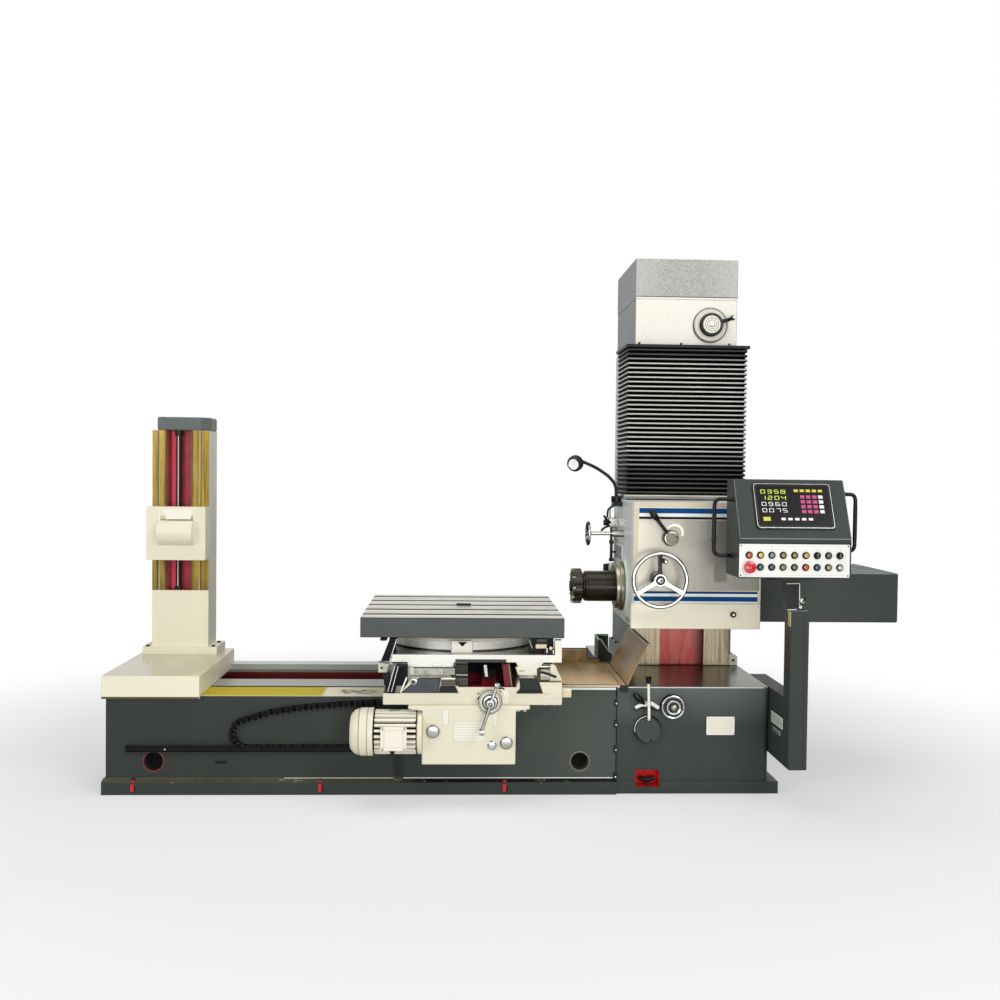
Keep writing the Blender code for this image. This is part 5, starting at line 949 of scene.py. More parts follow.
    def bolt(self, axis, centre, radius, face, out, material="bolt", socket=True, matrix=None):
        """A socket-head screw: a bevelled drum with a hexagon sunk in its face."""
        sign = 1.0 if out > 0 else -1.0
        top = face + out
        rest = [(face, 0.0), (face, radius), (top - sign * radius * 0.15, radius), (top, radius * 0.88)]
        if socket:
            rest += [(top, radius * 0.52), (top - sign * radius * 0.5, radius * 0.50)]
            rest += [(top - sign * radius * 0.5, 0.0)]
        else:
            rest += [(top + sign * radius * 0.12, radius * 0.4), (top + sign * radius * 0.14, 0.0)]
        self.lathe(rest, axis, centre, material, 18, 0.0, matrix)

    def screws(self, places_x, places_z, *size):
        """Screws on a wall across Y, where columns and rows cross."""
        for x in places_x:
            for z in places_z:
                self.bolt("Y", (x, 0.0, z), *size)

    def hexagon(self, axis, centre, radius, low, high, material="bolt", matrix=None):
        outline = []
        for step in range(6):
            angle = TAU * step / 6 + 0.3
            outline.append((radius * math.cos(angle), radius * math.sin(angle)))
        offset = {"X": (1, 2), "Y": (0, 2), "Z": (0, 1)}[axis]
        placed = [(a + centre[offset[0]], b + centre[offset[1]]) for a, b in outline]
        self.prism(placed, axis, low, high, material, radius * 0.08, 1, matrix)

    def finish(self, weighted=True, angle=32.0):
        mesh = bpy.data.meshes.new(self.name)
        self.bm.to_mesh(mesh)
        self.bm.free()
        for material in self.materials:
            mesh.materials.append(material)
        mesh.set_sharp_from_angle(angle=math.radians(angle))
        made = bpy.data.objects.new(self.name, mesh)
        bpy.context.scene.collection.objects.link(made)
        if weighted:
            normals = made.modifiers.new("weighted_normals", "WEIGHTED_NORMAL")
            normals.keep_sharp = True
        if self.body:
            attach(made, self.body)
        if self.gone:
            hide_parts(*self.gone)
        ALL.append(made)
        return made


def rounded(points, corner, steps):
    path = [points[0]]
    for before, here, after in zip(points, points[1:], points[2:]):
        reach_in = min(corner, (before - here).length * 0.49)
        reach_out = min(corner, (after - here).length * 0.49)
        start = here + (before - here).normalized() * reach_in
        end = here + (after - here).normalized() * reach_out
        for step in range(steps + 1):
            share = step / steps
            path.append(start.lerp(here, share).lerp(here.lerp(end, share), share))
    path.append(points[-1])
    return path


def arc(centre, radius, start, end, steps):
    made = []
    for step in range(steps + 1):
        angle = math.radians(start + (end - start) * step / steps)
        made.append((centre[0] + radius * math.cos(angle), centre[1] + radius * math.sin(angle)))
    return made


def round_box(x, z, radius, steps=5):
    """An outline with rounded corners in the plane across Y."""
    made = []
    for centre, start in (
        ((x[1] - radius, z[1] - radius), 0),
        ((x[0] + radius, z[1] - radius), 90),
        ((x[0] + radius, z[0] + radius), 180),
        ((x[1] - radius, z[0] + radius), 270),
    ):
        made += arc(centre, radius, start, start + 90, steps)
    return made


def refine(name, material, width=0.002, segments=2, angle=35.0):
    """Gives a solid's own mesh a finish and soft edges, without moving it."""
    node = NODES[name]
    if isinstance(material, str):
        material = M[material]
    if not node.material_slots:
        node.data.materials.append(material)
    for slot in node.material_slots:
        slot.link = "OBJECT"
        slot.material = material
    if width > 0.0:
        weld = node.modifiers.new("weld", "WELD")
        weld.merge_threshold = 0.00002
        edge = node.modifiers.new("edge", "BEVEL")
        edge.width = width
        edge.segments = segments
        edge.limit_method = "ANGLE"
        edge.angle_limit = math.radians(angle)
        edge.harden_normals = False
        normals = node.modifiers.new("weighted_normals", "WEIGHTED_NORMAL")
        normals.keep_sharp = False
    return node


# finishes of the solids that stay
for node_name, material_name, width in (
    ("bed", "bed", 0.002),
    ("chain_tray", "tray_black", 0.0008),
    ("column_base", "base", 0.0025),
    ("column", "column", 0.0015),
    ("column_cover", "cover", 0.0),
    ("column_cap", "cap", 0.0),
    ("chip_guard", "guard", 0.0008),
    ("headstock", "pale", 0.004),
    ("headstock_lower_cover", "cream", 0.0),
    ("bellows_foot", "foot", 0.002),
    ("spindle_tail_box", "dark", 0.0),
    ("lower_saddle", "saddle", 0.002),
    ("cross_screw", "trough", 0.0006),
    ("apron", "cream", 0.0),
    ("upper_saddle", "plate_top", 0.002),
    ("table", "table", 0.0012),
    ("tail_base", "tail_base", 0.003),
    ("tail_column", "tail", 0.0015),
    ("tail_cap", "cap_grey", 0.0),
    ("tail_screw", "bolt", 0.0006),
    ("tail_block", "cream", 0.003),
    ("pendant_post", "pendant", 0.0),
    ("pendant_bracket", "pendant", 0.0015),
    ("pendant_box", "pendant", 0.0),
    ("round_base", "ring", 0.0),
):
    refine(node_name, material_name, width)


# bed: levelling screws, rims of the holes, lugs and beads
def bed_details():
    piece = Piece("bed_fittings", "frame", "machine_grey")
    flange_y = FRONT_Y - 0.011
    for x in LEVEL_SCREW_X:
        piece.drum("Z", (x, flange_y, 0.0), 0.0095, 0.062, 0.072, "signal_red", 0.001, 20)
        piece.hexagon("Z", (x, flange_y, 0.0), 0.0085, 0.071, 0.079, "bolt")
        piece.box(
            (x - 0.008, x + 0.008), (FRONT_Y - 0.0245, FRONT_Y - 0.0205), (0.016, 0.052), "signal_red",
            0.0015
        )
        piece.box(
            (x + 0.008, x + 0.014), (FRONT_Y - 0.0240, FRONT_Y - 0.0205), (0.010, 0.046), "hole", 0.0010
        )
    # rims of the cleanout holes and their dark ends
    for x, radius, tone in ((-1.526, 0.048, "red"), (0.598, 0.047, "hub_face")):
        ring = [
            (FRONT_Y + 0.0004, radius - 0.0005),
            (FRONT_Y - 0.0016, radius),
            (FRONT_Y - 0.0020, radius + 0.0015),
            (FRONT_Y - 0.0014, radius + 0.0035),
            (FRONT_Y + 0.0004, radius + 0.0040),
        ]
        ring.append(ring[0])
        piece.lathe(ring, "Y", (x, 0.0, 0.163), tone, 48)
        piece.drum("Y", (x, 0.0, 0.163), radius - 0.001, FRONT_Y + 0.064, FRONT_Y + 0.0695, "hole", 0.002)
    # pull slot in the front wall
    slot = round_box((-1.226, -1.163), (0.150, 0.166), 0.006)
    piece.prism(slot, "Y", FRONT_Y - 0.0012, FRONT_Y + 0.001, "darker", 0.0004)
    inner = round_box((-1.222, -1.167), (0.154, 0.162), 0.0035)
    piece.prism(inner, "Y", FRONT_Y - 0.0018, FRONT_Y + 0.001, "hole", 0.0002)
    # black lugs at the seam to the column base
    for z in (0.505, 0.353, 0.225, 0.088):
        low = min(z - 0.020, BED_TOP_Z - 0.045) if z > 0.45 else z - 0.016
        piece.box((0.770, 0.786), (FRONT_Y - 0.012, FRONT_Y - 0.0005), (low, low + 0.034), "plastic", 0.002)
        piece.bolt("Y", (0.779, 0.0, low + 0.014), 0.0050, FRONT_Y - 0.012, -0.003, "zinc", False)
    piece.box((0.7800, 0.7835), (FRONT_Y - 0.0030, FRONT_Y - 0.0005), (0.060, 0.540), "hole", 0.0004)
    # painted highlight along the flange's top edge where it meets the wall, drawn as two light beads
    piece.tube([(-0.290, FRONT_Y - 0.003, 0.0800), (0.766, FRONT_Y - 0.003, 0.0800)], 0.0026, "white", 10)
    piece.tube(
        [(-0.880, FRONT_Y - 0.003, 0.0790), (-0.330, FRONT_Y - 0.003, 0.0800)], 0.0016, "edge_white", 8
    )
    # conduit clip under the tray's right end
    piece.box((-0.332, -0.296), (FRONT_Y - 0.0150, FRONT_Y - 0.0118), (0.090, 0.200), "darker", 0.0015)
    for z in (0.105, 0.185):
        piece.bolt("Y", (-0.314, 0.0, z), 0.0045, FRONT_Y - 0.0150, -0.003, "bolt")
    # way wiper bolts on the left end face
    for y in (-0.25, -0.14, 0.0, 0.42):
        piece.bolt("X", (0.0, y, 0.440), 0.009, -1.7602, -0.006, "bolt")
    piece.finish()


def chain_line():
    low_z = 0.215 + 0.004 + 0.0003 + 0.015
    line = [Vector((-0.360, low_z)), Vector((-1.066, low_z))]
    for step in range(1, 9):
        angle = math.radians(-90 - 22 * step)
        line.append(Vector((-1.066 + 0.070 * math.cos(angle), low_z + 0.070 * (1 + math.sin(angle)))))
    return line + [Vector(p) for p in ((-0.950, 0.411), (-0.800, 0.434), (-0.600, 0.452), (-0.405, 0.462))]


def along_line(line, pitch):
    places = []
    rest = pitch / 2
    for here, after in zip(line, line[1:]):
        step = after - here
        run = rest
        while run < step.length:
            places.append((here + step.normalized() * run, step.normalized()))
            run += pitch
        rest = run - step.length
    return places


def drag_chain():
    """Cable carrier: each link is a body with side plates, cross bars and a hinge pin."""
    piece = Piece("drag_chain_links", "frame", "black_plastic", ("drag_chain",))
    y_low, y_high = -0.3410, FRONT_Y - GAP_TO_WALL
    middle = (y_low + y_high) / 2
    for index, (place, along) in enumerate(along_line(chain_line(), 0.0285)):
        turn = Matrix.Rotation(-math.atan2(along.y, along.x), 4, "Y")
        matrix = Matrix.Translation((place.x, middle, place.y)) @ turn
        half = (y_high - y_low) / 2
        piece.box(
            (-0.0125, 0.0125), (-half + 0.003, half - 0.003), (-0.0115, 0.0115), "link", 0.002, 1, matrix
        )
        for side in (-1, 1):
            outer = sorted((side * half, side * (half - 0.0032)))
            shift = 0.004 if (index + (side > 0)) % 2 else -0.004
            piece.box((-0.0145 + shift, 0.0125 + shift), outer, (-0.0145, 0.0145), "link", 0.002, 1, matrix)
        for z in (-0.0135, 0.0105):
            piece.box(
                (-0.0045, 0.0045), (-half + 0.002, half - 0.002), (z, z + 0.003), "link", 0.001, 1, matrix
            )
        piece.box(
            (-0.0050, 0.0050), (-half - 0.0004, -half + 0.002), (-0.0128, -0.0092), "link_light", 0.0008, 1,
            matrix
        )
    piece.finish()


def chain_tray_details():
    piece = Piece("chain_tray_fittings", "frame", "black_plastic")
    piece.bolt("Y", (-1.462, 0.0, 0.2300), 0.0045, -0.3453, -0.0022, "zinc", False)
    piece.box((-1.650, -0.305), (-0.3462, -0.3440), (0.2155, 0.2163), "dark", 0.0002)
    piece.box((-1.650, -0.305), (-0.3462, -0.3440), (0.2310, 0.2318), "dark", 0.0002)
    piece.box((-1.6550, -1.6515), (-0.3412, -0.3130), (0.2195, 0.2440), "plastic", 0.0010)
    piece.box((-0.372, -0.346), (-0.3405, -0.3135), (0.2200, 0.2560), "plastic", 0.003)
    piece.finish()


# column base: pocket, small lever, plate, foot blocks
def base_details():
    piece = Piece("base_fittings", "frame", "machine_grey")
    # black hose ends inside the red pocket
    piece.tube(
        [(0.908, FRONT_Y + 0.050, 0.066), (0.940, FRONT_Y + 0.032, 0.058), (0.986, FRONT_Y + 0.040, 0.068)],
        0.012, "rubber", 14, 0.016,
    )
    piece.tube(
        [(0.950, FRONT_Y + 0.034, 0.058), (0.950, FRONT_Y + 0.012, 0.050), (0.950, FRONT_Y + 0.008, 0.038)],
        0.008, "rubber", 12, 0.008
    )
    piece.box((0.8795, 0.8815), (FRONT_Y - 0.0015, FRONT_Y + 0.002), (0.030, 0.122), "red", 0.0005)
    # bare name plate with four rivets
    piece.prism(
        round_box((1.2375, 1.3875), (0.2945, 0.3945), 0.006), "Y", FRONT_Y - 0.0014, FRONT_Y - 0.0002,
        "hole", 0.0004
    )
    piece.prism(
        round_box((1.2405, 1.3845), (0.2975, 0.3915), 0.004), "Y", FRONT_Y - 0.0018, FRONT_Y - 0.0012,
        "white", 0.0003
    )
    piece.prism(
        round_box((1.2455, 1.3795), (0.3025, 0.3865), 0.003), "Y", FRONT_Y - 0.0021, FRONT_Y - 0.0017,
        "cream_light", 0.0002
    )
    for level in range(5):
        z = 0.3170 + level * 0.0125
        piece.box(
            (1.256, 1.369 - 0.012 * (level % 2)), (FRONT_Y - 0.0024, FRONT_Y - 0.0020), (z, z + 0.0012),
            "beige", 0.0
        )
    piece.screws((1.247, 1.378), (0.304, 0.385), 0.0028, FRONT_Y - 0.0018, -0.0016, "zinc", False)
    # second small lever: a light yoke and a black oval knob
    piece.drum("Y", (0.932, 0.0, 0.452), 0.021, FRONT_Y - 0.014, FRONT_Y - 0.0002, "satin", 0.002, 32)
    piece.tube(
        [(0.872, -0.338, 0.4405), (0.903, -0.338, 0.4570), (0.930, -0.334, 0.4520)], 0.0095, "white", 14,
        0.012
    )
    piece.tube(
        [(0.934, -0.334, 0.4560), (0.952, -0.338, 0.4650), (0.990, -0.338, 0.4400)], 0.0100, "white", 14,
        0.012
    )
    piece.tube(
        [(0.872, -0.3375, 0.4310), (0.903, -0.3375, 0.4460), (0.990, -0.3375, 0.4290)], 0.0060, "rubber",
        10, 0.02
    )
    path = [Vector((0.917, -0.340, 0.4600)), Vector((0.908, -0.340, 0.4690)), Vector((0.899, -0.341, 0.4780)),
            Vector((0.882, -0.341, 0.4950)), Vector((0.868, -0.341, 0.5090)), Vector((0.863, -0.341, 0.5140))]
    piece.tube(path, 0.013, "gloss", 20, radii=[0.0070, 0.0125, 0.0160, 0.0165, 0.0115, 0.0040])
    # edge line along the base's top front
    piece.box(
        (0.786, 1.530), (FRONT_Y - 0.0010, FRONT_Y + 0.0030), (BASE_TOP_Z - 0.0040, BASE_TOP_Z + 0.0010),
        "pale", 0.0005
    )
    # light foot and dark joint of the ways
    for x0, x1 in ((0.973, 1.116), (1.365, 1.508)):
        piece.box(
            (x0, x1), (WAY_Y - 0.0012, WAY_Y + 0.002), (BASE_TOP_Z + 0.0030, BASE_TOP_Z + 0.0105),
            "edge_light", 0.0004
        )
    piece.box(
        (0.960, 1.520), (WAY_Y - 0.0030, WAY_Y + 0.002), (BASE_TOP_Z + 0.0004, BASE_TOP_Z + 0.0028), "hole",
        0.0004
    )
    # black clamp at the tray's corner
    piece.box((0.796, 0.838), (FRONT_Y - 0.012, FRONT_Y - 0.0006), (0.519, 0.551), "plastic", 0.003)
    piece.box((0.800, 0.834), (FRONT_Y - 0.014, FRONT_Y - 0.0115), (0.523, 0.530), "darker", 0.001)
    # cream block beside the column foot
    piece.prism(
        [
            (1.510, BASE_TOP_Z + 0.0005), (1.560, BASE_TOP_Z + 0.0005), (1.560, 0.590), (1.548, 0.600),
            (1.510, 0.600)
        ],
        "Y", 0.304, 0.358, "cream", 0.003
    )
    piece.bolt("Y", (1.536, 0.0, 0.570), 0.0075, 0.304, -0.006, "bolt")
    # bolts of the column foot
    for x in (0.9350, 1.5450):
        for y in (0.45, 0.60, 0.75, 0.90):
            piece.hexagon("Z", (x, y, 0.0), 0.008, 0.5955, 0.606, "bolt")
    # open chute behind the chip tray: cut off slantwise, with light rims
    y0, y1 = 0.400, 0.560
    low = BASE_TOP_Z + 0.0005
    outline = [
        (0.781, low), (0.862, low), (0.862, 0.590), (0.8430, 0.6010), (0.7950, 0.6690), (0.781, 0.6700)
    ]
    piece.prism(outline, "Y", y0, y0 + 0.004, "darker", 0.0006)
    piece.box((0.781, 0.785), (y0, y1), (low, 0.668), "dark", 0.0006)
    piece.box((0.781, 0.862), (y1 - 0.004, y1), (low, 0.672), "rubber", 0.0006)
    piece.box((0.858, 0.862), (y0, y1), (low, 0.590), "rubber", 0.0006)
    piece.tube(
        [(0.7950, y0 - 0.001, 0.6690), (0.8430, y0 - 0.001, 0.6010), (0.8600, y0 - 0.001, 0.5910)], 0.0045,
        "green_white", 10
    )
    piece.tube(
        [(0.7830, y0, 0.6700), (0.7830, y1 - 0.002, 0.6720), (0.8600, y1 - 0.002, 0.6720)], 0.0055,
        "green_white", 10, 0.006
    )
    piece.tube([(0.7830, y0, 0.6700), (0.7950, y0, 0.6690)], 0.0040, "green_white", 10)
    piece.finish()


# back panels, column screws, cover crank
def cover_plate(piece, x, z, wall, tone, screws=(2, 2)):
    """A sheet cover on a back wall, with screws along its edges."""
    face = wall + 0.0030
    piece.prism(round_box(x, z, 0.012), "Y", wall, face, tone, 0.0010)
    across, up = screws
    inset = 0.022
    for column in range(across):
        for row in range(up):
            if 0 < column < across - 1 and 0 < row < up - 1:
                continue
            px = x[0] + inset + (x[1] - x[0] - 2 * inset) * column / (across - 1)
            pz = z[0] + inset + (z[1] - z[0] - 2 * inset) * row / (up - 1)
            piece.bolt("Y", (px, 0.0, pz), 0.0065, face, 0.0035, "bolt")


def louvres(piece, x, low, count, wall, tone):
    for row in range(count):
        z = low + row * 0.032
        piece.prism(
            [(wall, z), (wall + 0.010, z), (wall + 0.0095, z + 0.004), (wall, z + 0.022)], "X", x[0], x[1],
            tone, 0.0012, 1
        )
        piece.box(
            (x[0] + 0.004, x[1] - 0.004), (wall - 0.0005, wall + 0.0040), (z - 0.0045, z + 0.0005), "hole",
            0.0
        )


def back_panels():
    """Covers, doors, louvres and levelling screws on the back of the fixed frame."""
    piece = Piece("frame_back_panels", "frame", "machine_grey")
    cover_plate(piece, (1.015, 1.465), (0.700, 1.420), COLUMN_BACK_Y, "pale_mid", (3, 4))
    cover_plate(piece, (1.015, 1.465), (1.460, 2.240), COLUMN_BACK_Y, "pale_mid", (3, 4))
    louvres(piece, (1.090, 1.390), 1.900, 8, 0.9590, "pale_mid")
    cover_plate(piece, (0.900, 1.240), (0.150, 0.470), BASE_BACK_Y, "dark", (2, 2))
    cover_plate(piece, (1.270, 1.500), (0.150, 0.470), BASE_BACK_Y, "dark", (2, 2))
    piece.drum("Y", (1.205, 0.0, 0.310), 0.0120, 0.9780, 0.9820, "zinc", 0.0010, 24)
    for x in (-1.560, -0.960, -0.360, 0.240):
        cover_plate(piece, (x, x + 0.380), (0.140, 0.400), BED_BACK_Y, "dark", (3, 2))
    for x in LEVEL_SCREW_X:
        piece.drum("Z", (x, BED_BACK_Y + 0.011, 0.0), 0.0095, 0.0600, 0.072, "zinc", 0.001, 20)
        piece.hexagon("Z", (x, BED_BACK_Y + 0.011, 0.0), 0.0085, 0.071, 0.079, "bolt")
    piece.finish()
    tail = Piece("tail_back_cover", "tail_column", "cream_paint")
    cover_plate(tail, (-1.675, -1.450), (0.720, 1.720), 0.4960, "cream", (2, 5))
    tail.finish()


def column_details():
    piece = Piece("column_fittings", "frame", "pale_paint")
    for x, z in ((1.210, 2.347), (1.482, 2.347), (0.975, 2.347)):
        piece.bolt("Y", (x, 0.0, z), 0.0065, WAY_Y, -0.005, "bolt")
    for x in (0.985, 1.495):
        piece.bolt("Y", (x, 0.0, 2.570), 0.0055, WAY_Y, -0.004, "zinc")
    # end frame over the bellows
    piece.prism(
        [
            (0.893, BELLOWS_BACK_Y), (0.893, 0.233), (1.583, 0.233), (1.583, BELLOWS_BACK_Y),
            (1.5425, BELLOWS_BACK_Y), (1.5425, 0.2972), (0.9375, 0.2972), (0.9375, BELLOWS_BACK_Y)
        ],
        "Z", 2.3173, 2.3338, "rubber", 0.0015
    )
    piece.finish()


def cover_crank():
    piece = Piece("cover_crank_handle", "cover_crank", "chrome", ("cover_crank",))
    x, z = 1.372, 2.452
    wall = WAY_Y - 0.0003
    centre = (x, 0.0, z)
    piece.lathe(
        [(wall, 0.0), (wall, 0.0968), (wall - 0.010, 0.0968), (wall - 0.011, 0.0)], "Y", centre, "plastic",
        72
    )
    piece.lathe(
        [
            (wall - 0.010, 0.0), (wall - 0.010, 0.0925), (wall - 0.016, 0.0910), (wall - 0.020, 0.0840),
            (wall - 0.022, 0.0680), (wall - 0.022, 0.0)
        ],
        "Y", centre, "edge_white", 72, 0.0008
    )
    for radius in (0.0880, 0.0790, 0.0715):
        piece.rim("Y", centre, radius, 0.0010, wall - 0.0195 - (0.0880 - radius) * 0.12, "pale_mid", 72, 6)
    piece.lathe([(wall - 0.021, 0.0), (wall - 0.021, 0.0665), (wall - 0.040, 0.0650), (wall - 0.046, 0.0600),
                 (wall - 0.046, 0.0)], "Y", centre, "gloss", 64, 0.001)
    piece.lathe([(wall - 0.045, 0.0), (wall - 0.045, 0.0490), (wall - 0.049, 0.0470), (wall - 0.050, 0.0400),
                 (wall - 0.050, 0.0)], "Y", centre, "edge_white", 56, 0.0008)
    for radius, width in ((0.0370, 0.0014), (0.0250, 0.0012)):
        piece.rim("Y", centre, radius, width, wall - 0.0500, "hole", 56, 6)
    piece.lathe([(wall - 0.049, 0.0), (wall - 0.049, 0.0150), (wall - 0.053, 0.0140), (wall - 0.056, 0.0090),
                 (wall - 0.056, 0.0)], "Y", centre, "chrome", 40, 0.0005)
    arm_y = wall - 0.038
    piece.tube([(x + 0.056, arm_y, z + 0.017), (x + 0.085, arm_y, z + 0.026), (x + 0.108, arm_y, z + 0.033)],
               0.0105, "gloss", 14, 0.01)
    grip = [Vector((x + 0.108, arm_y + 0.009, z + 0.033)), Vector((x + 0.108, arm_y - 0.012, z + 0.033)),
            Vector((x + 0.108, arm_y - 0.036, z + 0.033)), Vector((x + 0.108, arm_y - 0.052, z + 0.033)),
            Vector((x + 0.108, arm_y - 0.058, z + 0.033))]
    piece.tube(grip, 0.014, "gloss", 20, radii=[0.010, 0.0115, 0.0150, 0.0125, 0.004])
    piece.drum("Y", (x + 0.110, 0.0, z + 0.034), 0.0072, arm_y - 0.0605, arm_y - 0.0560, "white", 0.001, 20)
    piece.finish()


# bellows: pleats round the front and the sides, with painted highlights on their ridges
def ridge_highlight_tone(fold):
    """Material number of a ridge's painted highlight: the pleats near the headstock and the end frame get a
    fainter one.
    """
    if fold < 6 or fold > 29:
        return 3
    if fold < 9 or fold == 29:
        return 2
    return 1


def bellows():
    folds = 32
    low, high = 1.5006, 2.3165
    x0, x1 = 0.9035, 1.5725
    y0, y1 = 0.2415, BELLOWS_BACK_Y
    deep = 0.0205
    inner = (0.938, 1.542, 0.297)
    bm = bmesh.new()
    rows = []
    marks = []
    # mark 1 is the ridge nose, which takes a painted highlight
    pattern = (
        (0.0, 1.0, 0), (0.10, 0.88, 0), (0.22, 0.34, 0), (0.32, 0.06, 0), (0.42, 0.0, 1), (0.62, 0.0, 1),
        (0.72, 0.06, 0), (0.80, 0.34, 0), (0.90, 0.88, 0)
    )
    pitch = (high - low) / folds
    levels = []
    for fold in range(folds):
        for share, depth, mark in pattern:
            levels.append((low + (fold + share) * pitch, depth, mark * ridge_highlight_tone(fold)))
    levels.append((high, 1.0, 0))
    for z, depth, mark in levels:
        inset = deep * depth
        aside = inset * 0.42
        left, right, front = x0 + aside, x1 - aside, y0 + inset
        cut = 0.010
        outline = [
            (left, y1),
            (left, front + cut),
            (left + cut * 0.3, front + cut * 0.3),
            (left + cut, front),
            (right - cut, front),
            (right - cut * 0.3, front + cut * 0.3),
            (right, front + cut),
            (right, y1),
            (inner[1], y1),
            (inner[1], inner[2]),
            (inner[0], inner[2]),
            (inner[0], y1),
        ]
        rows.append([bm.verts.new((x, y, z)) for x, y in outline])
        marks.append(mark)
    for index, (below, above) in enumerate(zip(rows, rows[1:])):
        for side in range(len(below)):
            after = (side + 1) % len(below)
            face = bm.faces.new((below[side], below[after], above[after], above[side]))
            face.smooth = True
            face.material_index = marks[index] if side < 7 else 0
    bm.faces.new(rows[0][::-1])
    bm.faces.new(rows[-1])
    bmesh.ops.recalc_face_normals(bm, faces=bm.faces)
    mesh = bpy.data.meshes.new("bellows_pleats")
    bm.to_mesh(mesh)
    bm.free()
    for key in ("pleat", "pleat_highlight", "pleat_half_highlight", "pleat_faint_highlight"):
        mesh.materials.append(M[key])
    mesh.set_sharp_from_angle(angle=math.radians(60))
    made = bpy.data.objects.new("bellows_pleats", mesh)
    bpy.context.scene.collection.objects.link(made)
    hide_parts("bellows")
    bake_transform(made)


# chip tray and guard
def tray_details():
    """Sheet tray with a rolled front edge, an upturned back and the trims of the guard."""
    tray = Piece("chip_tray_sheet", "frame", "tan_paint", ("chip_tray",))
    left, right, back = 0.505, 0.826, 0.3795
    floor_z, sheet = 0.5403, 0.0028
    step_x = 0.7135
    tray.box((left, right), (FRONT_Y + 0.0005, back), (floor_z, floor_z + sheet), "tan", 0.0006)
    tray.box((left, right), (FRONT_Y, FRONT_Y + sheet), (floor_z, floor_z + 0.0120), "tan", 0.0008)
    tray.box((left, 0.7768), (FRONT_Y, FRONT_Y + sheet), (0.4893, floor_z + 0.0010), "dark", 0.0006)
    tray.box((left, step_x), (back - sheet, back), (0.4893, 0.6224), "tan", 0.0008)
    tray.box((step_x - 0.001, 0.7855), (back - sheet, back), (floor_z, 0.5640), "tan", 0.0008)
    # front edge: dark roll, light lip, grey strip
    front = FRONT_Y - 0.0008
    tray.box((left, 0.792), (front, front + 0.002), (0.5490, 0.5525), "rubber", 0.0006)
    tray.box((left, 0.792), (front, front + 0.002), (0.5412, 0.5490), "edge_light", 0.0006)
    tray.box((left, 0.7768), (front, front + 0.002), (0.5375, 0.5412), "rubber", 0.0006)
    tray.box((left, 0.7768), (front, front + 0.002), (0.5250, 0.5375), "pale", 0.0006)
    tray.box((left, 0.7768), (front, front + 0.002), (0.5215, 0.5250), "rubber", 0.0006)
    # painted shade line and painted highlight line along the rounded inner edge at the front and the left
    y = FRONT_Y + 0.006
    low = floor_z + sheet + 0.0030
    path = rounded(
        [Vector((left + 0.003, back - 0.006, low)), Vector((left + 0.003, y, low)), Vector((0.800, y, low))],
        0.055, 10
    )
    tray.tube(path, 0.0032, "rubber", 10)
    path = rounded(
        [
            Vector((left + 0.010, back - 0.006, low)), Vector((left + 0.010, y + 0.010, low)),
            Vector((0.800, y + 0.010, low))
        ],
        0.055, 10
    )
    tray.tube(path, 0.0018, "edge_light", 8)
    # top edges of the back
    tray.tube(
        [
            (left, back - 0.002, 0.6215), (step_x, back - 0.002, 0.6215), (step_x, back - 0.002, 0.5640),
            (0.7850, back - 0.002, 0.5640)
        ],
        0.0024, "rubber", 8, 0.006
    )
    tray.tube(
        [(left, back - 0.0035, 0.6150), (step_x - 0.004, back - 0.0035, 0.6150)], 0.0016, "edge_light", 8
    )
    tray.finish()
    piece = Piece("chip_guard_trims", "frame", "tan_paint")
    foot = Vector((0.832, 0.0, 0.5452))
    top = Vector((0.936, 0.0, 0.7620))
    front = FRONT_Y + 0.006
    piece.tube(
        [(foot.x - 0.002, front, foot.z + 0.0035), (foot.x - 0.002, 0.290, foot.z + 0.0035)], 0.0030,
        "rubber", 10
    )
    piece.tube(
        [(foot.x - 0.009, front, foot.z + 0.0030), (foot.x - 0.009, 0.290, foot.z + 0.0030)], 0.0022,
        "edge_light", 8
    )
    piece.tube(
        [(foot.x, front + 0.001, foot.z + 0.003), (top.x, front + 0.001, top.z - 0.001)], 0.0016,
        "bronze_edge", 8
    )
    piece.tube([(top.x + 0.001, front + 0.001, top.z), (top.x + 0.001, 0.290, top.z)], 0.0036, "rubber", 10)
    piece.tube(
        [(top.x - 0.004, front + 0.001, top.z - 0.006), (top.x - 0.004, 0.290, top.z - 0.006)], 0.0020,
        "white", 8
    )
    # pressed line along the guard
    slope = (top - foot).normalized()
    out = Vector((-slope.z, 0.0, slope.x)) * 0.0008
    for share, tone in ((0.30, "guard"), (0.62, "bronze_edge")):
        start = foot.lerp(top, share) + out
        piece.tube([(start.x, front + 0.004, start.z), (start.x, 0.286, start.z)], 0.0013, tone, 8)
    piece.finish()


